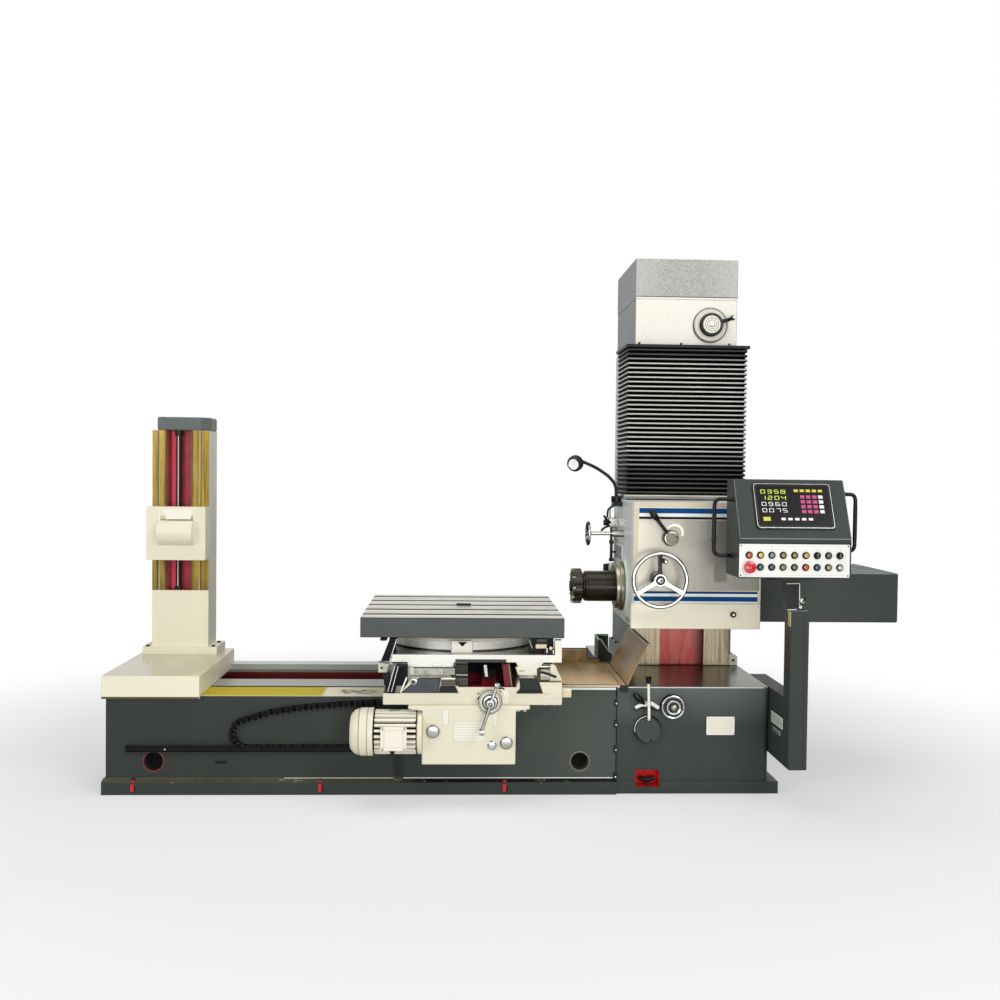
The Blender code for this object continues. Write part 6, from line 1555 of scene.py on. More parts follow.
# headstock
def head_front():
    """Everything thin on the front plate: border, panel, stripes, screws and marks."""
    piece = Piece("headstock_front_panel", "headstock", "cream_paint")
    x0, x1 = 0.8545, 1.5058
    wall = FRONT_Y
    piece.box(
        (x0, x1), (wall - 0.0012, wall - 0.0001), (PLATE_LOW_Z + 0.0005, HEAD_TOP_Z - 0.0005), "beige",
        0.0004
    )
    face = wall - 0.0012
    piece.box((0.876, 1.497), (face - 0.0010, face), (1.032, 1.386), "panel", 0.0004)
    # stripes: four above the panel, four below it
    upper, lower = (0.882, 1.5056), (0.860, 1.490)
    for x, out, z, tone in (
        (upper, 0.0008, (1.4200, 1.4455), "blue"),
        (upper, 0.0006, (1.4030, 1.4195), "white"),
        (upper, 0.0008, (1.3905, 1.4020), "navy"),
        ((0.868, 1.500), 0.0006, (1.4460, 1.4490), "cream_light"),
        (lower, 0.0008, (1.0150, 1.0265), "blue"),
        (lower, 0.0006, (1.0010, 1.0145), "white"),
        (lower, 0.0008, (0.9765, 1.0000), "blue"),
        (lower, 0.0006, (0.9690, 0.9760), "white"),
    ):
        piece.box(x, (face - out, face), z, tone, 0.0002)
    # corner screws
    piece.screws((0.868, 1.4945), (0.972, 1.466), 0.0038, face, -0.0020, "zinc")
    # bare data plate
    piece.box((1.266, 1.333), (face - 0.0020, face - 0.0009), (1.074, 1.166), "data_plate", 0.0004)
    for level in range(7):
        z = 1.152 - level * 0.0105
        piece.box((1.271, 1.328), (face - 0.0023, face - 0.0019), (z, z + 0.0016), "gunmetal", 0.0)
    piece.screws((1.2695, 1.3295), (1.0775, 1.1625), 0.0016, face - 0.0020, -0.0010, "zinc", False)
    # speed scale above the lever: a half ring with marks
    outer = arc((1.062, 1.320), 0.047, -20, 150, 20)
    inner = arc((1.062, 1.320), 0.036, 150, -20, 20)
    piece.prism(outer + inner, "Y", face - 0.0020, face - 0.0009, "steel_x", 0.0003)
    for step in range(9):
        angle = math.radians(-12 + 20 * step)
        first = Vector((1.062 + 0.038 * math.cos(angle), face - 0.0021, 1.320 + 0.038 * math.sin(angle)))
        last = Vector((1.062 + 0.045 * math.cos(angle), face - 0.0021, 1.320 + 0.045 * math.sin(angle)))
        piece.tube([first, last], 0.0006, "hole", 4)
    # small turning knob by the pendant's handle
    piece.drum("Y", (1.258, 0.0, 1.300), 0.012, face - 0.014, face - 0.0009, "satin", 0.0015, 24)
    piece.tube([(1.245, face - 0.010, 1.292), (1.262, face - 0.012, 1.308)], 0.004, "gloss", 10)
    piece.finish()


def head_edges():
    """Left side of the headstock: raised plate, bead, ring, valve block, pipes and a small cylinder."""
    piece = Piece("headstock_side_fittings", "headstock", "pale_paint")
    wall = HEAD_LEFT_X
    # raised access plate near the back
    piece.box((wall - 0.008, wall + 0.001), (0.034, 0.236), (1.146, 1.232), "pale", 0.003)
    piece.box((wall - 0.0095, wall - 0.0075), (0.046, 0.224), (1.156, 1.222), "pale_mid", 0.0008)
    for y in (0.052, 0.218):
        for z in (1.162, 1.216):
            piece.bolt("X", (0.0, y, z), 0.0045, wall - 0.0092, -0.003, "bolt")
    # bead that runs down the face beside the front plate
    piece.box((wall - 0.0035, wall + 0.001), (-0.262, -0.246), (0.845, 1.466), "pale", 0.0015)
    # rounded back corner
    piece.tube([(wall - 0.001, 0.285, 0.850), (wall - 0.001, 0.285, 1.465)], 0.0085, "pale", 12)
    # ring round the spindle nose
    centre = (0.0, 0.0, SPINDLE_Z)
    piece.lathe(
        [
            (wall - 0.0092, 0.1285), (wall - 0.0118, 0.1300), (wall - 0.0118, 0.1310),
            (wall - 0.0092, 0.1325), (wall - 0.0092, 0.1285)
        ],
        "X", centre, "darker", 96
    )
    # notch under the nose
    piece.box((wall - 0.006, wall + 0.001), (-0.215, -0.110), (0.852, 0.874), "pale_mid", 0.002)
    # oil valve block with levers, low pipe runs and a cylinder above the nose
    piece.box((wall - 0.052, wall + 0.001), (0.215, 0.268), (1.318, 1.372), "satin", 0.005)
    piece.drum("X", (0.0, 0.242, 1.345), 0.017, wall - 0.078, wall - 0.050, "bolt", 0.002, 24)
    piece.tube(
        [(wall - 0.046, 0.20, 1.345), (wall - 0.070, 0.172, 1.362), (wall - 0.088, 0.160, 1.386)], 0.0065,
        "plastic", 12, 0.01
    )
    piece.tube(
        [(wall - 0.046, 0.22, 1.330), (wall - 0.080, 0.200, 1.318), (wall - 0.098, 0.190, 1.302)], 0.0060,
        "plastic", 12, 0.01
    )
    piece.tube(
        [(wall - 0.060, 0.228, 1.372), (wall - 0.058, 0.220, 1.420), (wall - 0.034, 0.150, 1.442)], 0.0055,
        "rubber", 12, 0.02
    )
    piece.tube(
        [(wall - 0.040, 0.262, 1.372), (wall - 0.040, 0.268, 1.420), (wall - 0.020, 0.262, 1.466)], 0.0045,
        "satin", 10, 0.02
    )
    piece.tube(
        [(wall - 0.024, 0.240, 1.318), (wall - 0.024, 0.240, 1.246), (wall - 0.010, 0.240, 1.238)], 0.0060,
        "steel", 12, 0.012
    )
    piece.tube([(wall - 0.030, 0.262, 1.318), (wall - 0.030, 0.262, 1.130)], 0.0085, "gunmetal", 14)
    piece.drum("Z", (wall - 0.030, 0.262, 0.0), 0.0135, 1.226, 1.246, "bolt", 0.0015, 6)
    piece.drum("Z", (wall - 0.030, 0.262, 0.0), 0.0135, 1.128, 1.146, "bolt", 0.0015, 6)
    piece.box((wall - 0.034, wall + 0.001), (0.248, 0.276), (1.176, 1.186), "bolt", 0.001)
    piece.drum("Z", (wall - 0.034, 0.225, 0.0), 0.024, 1.074, 1.122, "steel", 0.002, 32)
    piece.drum("Z", (wall - 0.066, 0.214, 0.0), 0.015, 1.080, 1.118, "bolt", 0.002, 24)
    piece.box((wall - 0.055, wall + 0.001), (0.205, 0.235), (1.086, 1.108), "pale", 0.003)
    piece.finish()


def head_lower():
    piece = Piece("headstock_lower_fittings", "headstock", "cream_paint")
    wall = FRONT_Y - 0.018
    piece.lathe(
        [
            (wall, 0.0), (wall, 0.0150), (wall - 0.010, 0.0150), (wall - 0.0145, 0.0115),
            (wall - 0.0150, 0.0060), (wall - 0.0150, 0.0)
        ],
        "Y", (1.362, 0.0, 0.913), "gloss", 36, 0.0005
    )
    piece.drum("Y", (1.362, 0.0, 0.913), 0.0058, wall - 0.0165, wall - 0.0148, "white", 0.0004, 20)
    piece.box((1.3612, 1.3622), (wall - 0.0005, wall + 0.0005), (0.842, 0.898), "beige", 0.0)
    piece.screws((0.856, 1.490), (0.850, 0.955), 0.0036, wall, -0.0016, "zinc")
    # upper edge that casts the thin shadow below the plate
    piece.box((0.8465, 1.5000), (wall + 0.001, FRONT_Y - 0.0008), (0.9648, 0.9664), "white", 0.0003)
    piece.finish()


def foot_details():
    piece = Piece("bellows_foot_fittings", "headstock", "hammertone")
    piece.box((0.8995, 1.5765), (0.2238, 0.2252), (1.4750, 1.4790), "hole", 0.0)
    # side rails that carry the pleats beside the column
    for x0, x1 in ((0.896, 0.940), (1.540, 1.580)):
        piece.box((x0, x1), (0.400, BELLOWS_BACK_Y), (1.4730, 1.5000), "foot", 0.002)
    # guide rail with dark line along the head's top front edge
    piece.box((0.862, 1.500), (-0.296, -0.284), (1.4722, 1.4752), "satin", 0.0008)
    piece.finish()


def tail_box_details():
    piece = Piece("drive_box_fittings", "headstock", "machine_grey")
    piece.box((1.607, 2.286), (-0.1312, -0.1270), (1.1035, 1.1088), "pale_mid", 0.0012)
    for y in (-0.112, 0.420):
        for x in (1.640, 1.950, 2.260):
            piece.bolt("Z", (x, y, 0.0), 0.0050, 1.1080, 0.003, "bolt")
    piece.prism(round_box((1.69, 2.20), (0.885, 1.070), 0.010), "Y", 0.4398, 0.4422, "darker", 0.0008)
    piece.finish()


def nose_ring():
    piece = Piece("spindle_nose_ring", "headstock", "tool_steel", ("spindle_flange",))
    wall = HEAD_LEFT_X - 0.0103
    centre = (0.0, 0.0, SPINDLE_Z)
    profile = [
        (wall, 0.0820), (wall, 0.1270), (wall - 0.0100, 0.1275), (wall - 0.0180, 0.1272),
        (wall - 0.0215, 0.1240), (wall - 0.0260, 0.1185), (wall - 0.0400, 0.1160), (wall - 0.0417, 0.1140),
        (wall - 0.0417, 0.0880), (wall - 0.0390, 0.0870), (wall - 0.0390, 0.0820), (wall, 0.0820)
    ]
    piece.lathe(profile, "X", centre, "nose", 128)
    for step in range(8):
        angle = TAU * (step + 0.5) / 8
        place = (0.0, 0.101 * math.cos(angle), SPINDLE_Z + 0.101 * math.sin(angle))
        piece.bolt("X", place, 0.0075, wall - 0.0415, -0.0012, "bolt")
    piece.finish()


def sleeve():
    piece = Piece("milling_spindle_sleeve", "milling_spindle", "tool_steel", ("spindle_sleeve",))
    profile = [
        (0.6460, 0.0555), (0.6460, 0.0755), (0.6475, 0.0785), (0.6505, 0.0800), (0.6600, 0.0805),
        (0.6610, 0.0798), (0.6625, 0.0798), (0.6635, 0.0808), (0.7900, 0.0808), (0.7910, 0.0796),
        (0.7940, 0.0796), (0.7950, 0.0808), (1.1190, 0.0808), (1.1190, 0.0555), (0.6460, 0.0555)
    ]
    piece.lathe(profile, "X", (0.0, 0.0, SPINDLE_Z), "gunmetal", 128)
    for side in (-1, 1):
        piece.box(
            (0.6435, 0.6520), (-0.0125, 0.0125),
            (SPINDLE_Z + side * 0.067 - 0.008, SPINDLE_Z + side * 0.067 + 0.008), "bolt", 0.001
        )
    piece.finish()


def cutter():
    """Boring bar with a face mill: raked seats, square inserts, screws and the central bolt."""
    piece = Piece("boring_bar_and_face_mill", "boring_spindle", "tool_steel", ("boring_spindle", "face_mill"))
    centre = (0.0, 0.0, SPINDLE_Z)
    piece.lathe(
        [
            (0.6200, 0.0), (0.6200, 0.0420), (0.6335, 0.0420), (0.6345, 0.0548), (1.1090, 0.0548),
            (1.1090, 0.0)
        ],
        "X", centre, "gunmetal", 96, 0.0008
    )
    teeth = 10
    outline = []
    for tooth in range(teeth):
        for share, radius in (
            (0.0, 0.0795), (0.05, 0.0905), (0.30, 0.0925), (0.52, 0.0915), (0.68, 0.0870), (0.84, 0.0800)
        ):
            angle = TAU * (tooth + share) / teeth
            outline.append((radius * math.cos(angle), SPINDLE_Z + radius * math.sin(angle)))
    piece.prism(outline, "X", 0.5800, 0.6290, "cutter", 0.0012, 2, None, 20.0)
    piece.lathe(
        [(0.6285, 0.0), (0.6285, 0.0770), (0.6310, 0.0760), (0.6328, 0.0740), (0.6328, 0.0)], "X", centre,
        "bolt", 80, 0.001
    )
    piece.lathe(
        [
            (0.6325, 0.0), (0.6325, 0.0545), (0.6332, 0.0670), (0.6390, 0.0700), (0.6452, 0.0700),
            (0.6452, 0.0)
        ],
        "X", centre, "bolt", 80, 0.0006
    )
    piece.lathe([(0.5810, 0.0680), (0.5785, 0.0720), (0.5790, 0.0775), (0.5815, 0.0790), (0.5830, 0.0680),
                 (0.5810, 0.0680)], "X", centre, "cutter", 80)
    piece.lathe(
        [
            (0.5900, 0.0), (0.5900, 0.0300), (0.5740, 0.0300), (0.5690, 0.0270), (0.5690, 0.0160),
            (0.5760, 0.0150), (0.5760, 0.0)
        ],
        "X", centre, "bolt", 40, 0.0008
    )
    for tooth in range(teeth):
        angle = TAU * (tooth + 0.02) / teeth
        turn = Matrix.Translation((0.0, 0.0, SPINDLE_Z)) @ Matrix.Rotation(angle, 4, "X")
        tilt = turn @ Matrix.Translation((0.5835, 0.0865, 0.0010)) @ Matrix.Rotation(math.radians(8), 4, "Y")
        piece.box((-0.0072, 0.0072), (-0.0072, 0.0072), (-0.0022, 0.0022), "carbide", 0.0008, 2, tilt)
        piece.bolt("Z", (0.0, 0.0, 0.0), 0.0026, 0.0020, 0.0010, "bolt", True, tilt)
        wedge = turn @ Matrix.Translation((0.5930, 0.0845, 0.0045))
        piece.box((-0.0080, 0.0080), (-0.0040, 0.0060), (-0.0020, 0.0025), "bolt", 0.0010, 1, wedge)
    piece.finish()


def handwheel():
    piece = Piece("headstock_handwheel", "handwheel", "chrome", ("handwheel",))
    x, y, z = 0.972, -0.420, 1.092
    centre = (x, 0.0, z)
    wall = FRONT_Y - 0.0026
    piece.rim("Y", centre, 0.1325, 0.0100, y, "chrome", 120, 20)
    piece.lathe(
        [
            (wall, 0.0), (wall, 0.0345), (wall - 0.034, 0.0340), (wall - 0.041, 0.0270),
            (y + 0.016, 0.0250), (y + 0.012, 0.0300), (y - 0.006, 0.0320), (y - 0.010, 0.0300),
            (y - 0.010, 0.0)
        ],
        "Y", centre, "satin", 48, 0.0008
    )
    piece.lathe(
        [(y - 0.009, 0.0), (y - 0.009, 0.0240), (y - 0.015, 0.0235), (y - 0.018, 0.0200), (y - 0.018, 0.0)],
        "Y", centre, "gloss", 48, 0.0008
    )
    piece.lathe(
        [
            (y - 0.017, 0.0), (y - 0.017, 0.0130), (y - 0.0205, 0.0125), (y - 0.0215, 0.0070),
            (y - 0.0215, 0.0)
        ],
        "Y", centre, "chrome", 36, 0.0004
    )
    piece.hexagon("Y", centre, 0.0060, y - 0.0225, y - 0.0205, "bolt")
    # three spokes; the one at 91 degrees is dark steel as a painted dark reflection
    for degrees in (91.0, 211.0, 331.0):
        angle = math.radians(degrees)
        turn = Matrix.Translation((x, y, z)) @ Matrix.Rotation(-angle, 4, "Y")
        outline = [(0.018, -0.0150), (0.060, -0.0095), (0.112, -0.0105), (0.128, -0.0150),
                   (0.128, 0.0150), (0.112, 0.0105), (0.060, 0.0095), (0.018, 0.0150)]
        piece.prism(outline, "Y", -0.0065, 0.0065, "chrome" if degrees > 100 else "bolt", 0.0030, 3, turn)
    gx, gz = x + 0.014, z + 0.098
    piece.drum("Y", (gx, 0.0, gz), 0.0125, y - 0.014, y + 0.004, "bolt", 0.001, 24)
    grip = [Vector((gx, y - 0.012, gz)), Vector((gx, y - 0.020, gz)), Vector((gx, y - 0.040, gz)),
            Vector((gx, y - 0.060, gz)), Vector((gx, y - 0.068, gz))]
    piece.tube(grip, 0.012, "chrome", 24, radii=[0.0090, 0.0105, 0.0128, 0.0110, 0.0040])
    piece.finish()


def knob_path(end, along, long):
    return [
        end - along * long * 0.50,
        end - along * long * 0.30,
        end + along * long * 0.05,
        end + along * long * 0.35,
        end + along * long * 0.48,
        end + along * long * 0.50,
    ]


def speed_lever():
    piece = Piece("speed_lever_arm", "speed_lever", "chrome", ("speed_lever",))
    x, z = 1.039, 1.296
    centre = (x, 0.0, z)
    wall = FRONT_Y - 0.0026
    piece.lathe(
        [
            (wall, 0.0), (wall, 0.0390), (wall - 0.010, 0.0395), (wall - 0.034, 0.0380),
            (wall - 0.040, 0.0340), (wall - 0.042, 0.0250), (wall - 0.042, 0.0)
        ],
        "Y", centre, "satin", 64, 0.0010
    )
    piece.lathe(
        [(wall - 0.001, 0.0), (wall - 0.001, 0.0400), (wall - 0.006, 0.0400), (wall - 0.006, 0.0)], "Y",
        centre, "bolt", 64, 0.001
    )
    piece.lathe(
        [(wall - 0.041, 0.0), (wall - 0.041, 0.0300), (wall - 0.0435, 0.0290), (wall - 0.0440, 0.0)], "Y",
        centre, "hub_face", 56, 0.0005
    )
    piece.bolt("Y", (x + 0.024, 0.0, z + 0.006), 0.0050, wall - 0.0430, -0.002, "bolt")
    y = wall - 0.033
    start = Vector((x, y, z))
    end = Vector((0.952, y, 1.410))
    along = (end - start).normalized()
    piece.tube([start + along * 0.020, end - along * 0.020], 0.0086, "gloss", 16)
    piece.tube(
        knob_path(end, along, 0.064), 0.016, "gloss", 24,
        radii=[0.0085, 0.0140, 0.0165, 0.0150, 0.0090, 0.0030]
    )
    piece.finish()


def base_lever():
    piece = Piece("base_lever_arm", "base_lever", "machine_grey", ("base_lever",))
    x, z = 0.938, 0.330
    centre = (x, 0.0, z)
    wall = FRONT_Y - 0.0004
    piece.lathe(
        [(wall, 0.0), (wall, 0.0695), (wall - 0.014, 0.0695), (wall - 0.018, 0.0670), (wall - 0.018, 0.0)],
        "Y", centre, "hole", 80, 0.0010
    )
    piece.lathe([(wall - 0.017, 0.0), (wall - 0.017, 0.0650), (wall - 0.032, 0.0640), (wall - 0.038, 0.0610),
                 (wall - 0.039, 0.0)], "Y", centre, "dark", 80, 0.0010)
    glint = [Vector((x + 0.0665 * math.cos(a), wall - 0.0185, z + 0.0665 * math.sin(a)))
             for a in (math.radians(92 + 11 * step) for step in range(10))]
    piece.tube(glint, 0.0022, "white", 8)
    piece.drum("Y", (x + 0.014, 0.0, z - 0.052), 0.0050, wall - 0.0400, wall - 0.0380, "hole", 0.0005, 20)
    y = wall - 0.0634
    end = Vector((x - 0.008, y, z + 0.2595))
    up = (end - Vector((x, y, z))).normalized()
    foot = Vector((x, wall - 0.030, z)) + up * 0.054
    knee = Vector((x, y, z)) + up * 0.060
    piece.tube([foot, knee, end - up * 0.012], 0.0070, "white", 18, 0.016)
    shift = Vector((0.0055, 0.002, 0.0))
    piece.tube([knee + up * 0.018 + shift, end - up * 0.012 + shift], 0.0036, "rubber", 12)
    piece.tube([foot - up * 0.001, foot.lerp(knee, 0.45)], 0.0105, "darker", 20)
    piece.tube(
        knob_path(end, up, 0.038), 0.014, "gloss", 24,
        radii=[0.0090, 0.0120, 0.0132, 0.0150, 0.0152, 0.0110]
    )
    piece.finish()


def base_dial():
    piece = Piece("base_dial_rings", "frame", "chrome", ("base_dial",))
    x, z = 1.064, 0.444
    centre = (x, 0.0, z)
    wall = FRONT_Y - 0.0003
    piece.lathe(
        [
            (wall, 0.0), (wall, 0.0620), (wall - 0.024, 0.0620), (wall - 0.030, 0.0590),
            (wall - 0.032, 0.0545), (wall - 0.030, 0.0500), (wall - 0.026, 0.0490), (wall - 0.026, 0.0)
        ],
        "Y", centre, "chrome", 80, 0.0008
    )
    piece.lathe(
        [(wall - 0.025, 0.0), (wall - 0.025, 0.0485), (wall - 0.0285, 0.0480), (wall - 0.0285, 0.0)], "Y",
        centre, "bolt", 72, 0.0004
    )
    piece.lathe(
        [
            (wall - 0.027, 0.0), (wall - 0.027, 0.0400), (wall - 0.038, 0.0390), (wall - 0.042, 0.0350),
            (wall - 0.040, 0.0280), (wall - 0.038, 0.0270), (wall - 0.038, 0.0)
        ],
        "Y", centre, "chrome", 64, 0.0006
    )
    piece.lathe(
        [(wall - 0.037, 0.0), (wall - 0.037, 0.0265), (wall - 0.040, 0.0260), (wall - 0.040, 0.0)], "Y",
        centre, "bolt", 56, 0.0004
    )
    piece.lathe([(wall - 0.038, 0.0), (wall - 0.038, 0.0180), (wall - 0.046, 0.0150), (wall - 0.0495, 0.0090),
                 (wall - 0.0500, 0.0)], "Y", (x + 0.002, 0.0, z - 0.001), "nose", 40, 0.0004)
    for step in range(24):
        angle = TAU * step / 24
        inner = Vector((math.cos(angle), 0.0, math.sin(angle)))
        first = Vector((x, wall - 0.0286, z)) + inner * 0.0425
        last = Vector((x, wall - 0.0286, z)) + inner * 0.0470
        piece.tube([first, last], 0.0005, "white", 4)
    piece.finish()


def side_wheel():
    piece = Piece("side_handwheel_rim", "side_handwheel", "chrome", ("side_handwheel",))
    x, y, z = 0.668, 0.030, 1.296
    centre = (0.0, y, z)
    wall = HEAD_LEFT_X - 0.0003
    piece.rim("X", centre, 0.0575, 0.0075, x, "chrome", 96, 18)
    piece.rim("X", centre, 0.0575, 0.0030, x - 0.0052, "bolt", 96, 10)
    piece.lathe(
        [
            (x - 0.0140, 0.0), (x - 0.0140, 0.0110), (x - 0.0120, 0.0140), (x + 0.0100, 0.0140),
            (x + 0.0150, 0.0095), (wall - 0.066, 0.0090), (wall - 0.064, 0.0130), (wall - 0.056, 0.0175),
            (wall, 0.0180), (wall, 0.0)
        ],
        "X", centre, "satin", 40, 0.0006
    )
    piece.lathe([(x - 0.0140, 0.0), (x - 0.0140, 0.0070), (x - 0.0138, 0.0)], "X", centre, "bolt", 24)
    for index in range(3):
        angle = TAU * index / 3 + 0.5
        tip = (x, y + 0.0560 * math.cos(angle), z + 0.0560 * math.sin(angle))
        hub = (x - 0.002, y + 0.0100 * math.cos(angle), z + 0.0100 * math.sin(angle))
        path = [Vector(hub), Vector(hub).lerp(Vector(tip), 0.5), Vector(tip)]
        piece.tube(path, 0.005, "chrome", 14, radii=[0.0062, 0.0044, 0.0055])
    piece.finish()


# work lamp
def lamp():
    aim = Matrix.Rotation(math.radians(60.0), 4, "Z") @ Matrix.Rotation(math.radians(-14.0), 4, "Y")
    middle = Vector((0.597, 0.044, 1.670))
    head = Piece("work_lamp_head", "headstock", "black_plastic", ("lamp_head",))
    place = Matrix.Translation(middle) @ aim
    head.lathe([(-0.0240, 0.0), (-0.0240, 0.0300), (-0.0300, 0.0310), (-0.0290, 0.0365), (-0.0150, 0.0428),
                (0.0080, 0.0430), (0.0120, 0.0405), (0.0200, 0.0320), (0.0275, 0.0215), (0.0275, 0.0)],
               "X", (0.0, 0.0, 0.0), "plastic", 72, 0.0006, place)
    for offset in (0.012, 0.016, 0.020):
        head.rim("X", (0.0, 0.0, 0.0), 0.0400 - (offset - 0.010) * 0.95, 0.0014, offset, "bolt", 56, 8, place)
    head.lathe([(-0.0238, 0.0), (-0.0250, 0.0150), (-0.0262, 0.0288), (-0.0238, 0.0295), (-0.0230, 0.0)],
               "X", (0.0, 0.0, 0.0), "lens", 56, 0.0, place)
    head.rim("X", (0.0, 0.0, 0.0), 0.0300, 0.0016, -0.0268, "satin", 56, 8, place)
    head.finish()
    arm = Piece("work_lamp_neck", "headstock", "black_plastic", ("lamp_arm",))
    wall = HEAD_LEFT_X - 0.0003
    arm.box((wall - 0.052, wall), (0.070, 0.130), (1.4400, 1.4620), "plastic", 0.004)
    arm.lathe(
        [
            (1.4600, 0.0), (1.4600, 0.0260), (1.4680, 0.0280), (1.4900, 0.0285), (1.4960, 0.0250),
            (1.4960, 0.0)
        ],
        "Z", (wall - 0.030, 0.100, 0.0), "gloss", 40, 0.0008
    )
    back = aim @ Vector((1.0, 0.0, 0.0))
    rear = middle + back * 0.0283
    base = Vector((wall - 0.030, 0.100, 1.440))
    rise = Vector((0.0, 0.0, 0.060))
    knee = rear + back * 0.0344
    reach = knee - (base + rise)
    points = [base + rise * 0.92, base + rise * 1.85 + reach * 0.02, base + rise + reach * 0.20 + rise * 1.05,
              base + rise + reach * 0.55 + rise * 0.75, knee, rear]
    path = rounded([Vector(p) for p in points], 0.030, 6)
    arm.tube(path, 0.0085, "rubber", 14)
    length = 0.0
    for before, here in zip(path, path[1:]):
        length += (here - before).length
        if length > 0.0075:
            length = 0.0
            along = (here - before).normalized()
            arm.tube([here - along * 0.0018, here + along * 0.0018], 0.0098, "plastic", 14)
    arm.finish()


# saddle, apron, motor
def saddle_details():
    piece = Piece("saddle_fittings", "saddle", "cream_paint")
    front = SADDLE_Y
    # dark wipers at the front ends of the ways
    for outline, tone in (
        ([(-0.2960, 0.5478), (-0.1150, 0.5478), (-0.1030, 0.6205), (-0.2080, 0.6205)], "rubber"),
        ([(-0.1140, 0.5478), (-0.0180, 0.5478), (-0.0343, 0.5820), (-0.1043, 0.5820)], "rubber"),
        (
            [
                (0.2608, 0.5460), (0.3886, 0.5460), (0.3623, 0.6205), (0.2727, 0.6205), (0.2785, 0.5973),
                (0.2802, 0.5696)
            ],
            "rubber"
        ),
    ):
        piece.prism(outline, "Y", front - 0.0060, front - 0.0004, tone, 0.0015)
    piece.prism(
        [(-0.2850, 0.5520), (-0.1200, 0.5520), (-0.1090, 0.6160), (-0.2060, 0.6160)], "Y", front - 0.0068,
        front - 0.0058, "slate", 0.0006
    )
    piece.prism(
        [(0.2900, 0.5640), (0.3740, 0.5640), (0.3560, 0.6150), (0.2860, 0.6150)], "Y", front - 0.0068,
        front - 0.0058, "darker", 0.0006
    )
    piece.drum("Y", (-0.2330, 0.0, 0.6030), 0.0165, front - 0.0090, front + 0.0080, "satin", 0.0040, 32)
    piece.drum("Y", (-0.2350, 0.0, 0.6020), 0.0090, front - 0.0102, front - 0.0080, "bolt", 0.0010, 24)
    # end of the left way beside the wiper: painted shade over its lower part, a bright strip on top
    piece.box((-0.1020, -0.0345), (front - 0.0050, front - 0.0004), (0.5840, 0.6125), "oil_and_shade_block", 0.0010)
    piece.box((-0.1020, -0.0345), (front - 0.0050, front - 0.0004), (0.6130, 0.6205), "edge_white", 0.0010)
    piece.box((-0.0335, -0.0150), (front - 0.0040, front - 0.0004), (0.5830, 0.6000), "bolt", 0.0010)
    # parting line and lower lip of the saddle
    piece.box((-0.381, 0.484), (front - 0.0008, front + 0.001), (0.4990, 0.5005), "beige", 0.0)
    piece.box((-0.259, 0.328), (front + 0.0006, front + 0.012), (0.4875, 0.4892), "beige", 0.0)
    # small slots and round plugs round the crank disc
    piece.prism(
        round_box((0.072, 0.084), (0.5430, 0.5480), 0.0024), "Y", front - 0.0012, front + 0.001, "hole",
        0.0003
    )
    for start, end in (
        ((0.072, 0.516), (0.084, 0.528)), ((0.188, 0.550), (0.178, 0.562)), ((0.176, 0.514), (0.186, 0.506))
    ):
        piece.tube(
            [(start[0], front - 0.0010, start[1]), (end[0], front - 0.0010, end[1])], 0.0022, "hole", 8
        )
    piece.prism(
        round_box((0.196, 0.226), (0.498, 0.560), 0.008), "Y", front - 0.0030, front + 0.001, "cream_light",
        0.0010
    )
    # striped feed rod in front of the trough, and its tail
    top, bottom = Vector((0.1105, -0.476, 0.6780)), Vector((0.1180, -0.476, 0.6235))
    piece.tube([top, bottom], 0.0082, "white", 14)
    for side in (-0.0085, 0.0085):
        shift = Vector((side, -0.002, 0.0))
        piece.tube([top + shift, bottom + shift], 0.0024, "rubber", 8)
    for step in range(8):
        spot = top.lerp(bottom, (step + 0.5) / 8)
        piece.tube(
            [spot + Vector((-0.004, -0.0078, 0.0)), spot + Vector((0.004, -0.0078, 0.0))], 0.0009, "rubber",
            6
        )
    piece.tube([(0.1100, -0.474, 0.6170), (0.1040, -0.474, 0.6010)], 0.0036, "rubber", 8)
    # walls of the trough and the end block of the left way
    piece.prism(
        [(0.2050, 0.5775), (0.2360, 0.5775), (0.2215, 0.6780), (0.1930, 0.6780)], "Y", -0.482, 0.40, "rose",
        0.002
    )
    piece.prism(
        [(0.2375, 0.5775), (0.2440, 0.5775), (0.2290, 0.6780), (0.2230, 0.6780)], "Y", -0.484, 0.40,
        "bronze_edge", 0.001
    )
    # back sheet of the trough: wine red below, painted shadow above
    piece.box((0.0270, 0.2100), (-0.3440, -0.3400), (0.5770, 0.6830), "trough", 0.0)
    piece.box((-0.0300, 0.0270), (-0.480, -0.430), (0.5775, 0.6150), "oil_and_shade_block", 0.003)
    piece.box((-0.0300, 0.0270), (-0.478, -0.430), (0.6150, 0.6290), "rubber", 0.002)
    piece.box((-0.0300, 0.0270), (-0.480, -0.430), (0.6290, 0.6320), "white", 0.001)
    piece.box((-0.0300, 0.0270), (-0.478, -0.430), (0.6320, 0.6780), "gunmetal", 0.002)
    for x in (-0.016, 0.000, 0.014):
        piece.box((x - 0.002, x + 0.002), (-0.481, -0.470), (0.5850, 0.6100), "gunmetal", 0.0008)
    # grey nut on the right wall
    piece.box((0.4860, 0.5330), (-0.485, -0.436), (0.5225, 0.5630), "cream_light", 0.006, 3)
    piece.box((0.4880, 0.5290), (-0.4862, -0.4845), (0.5275, 0.5580), "edge_light", 0.0006)
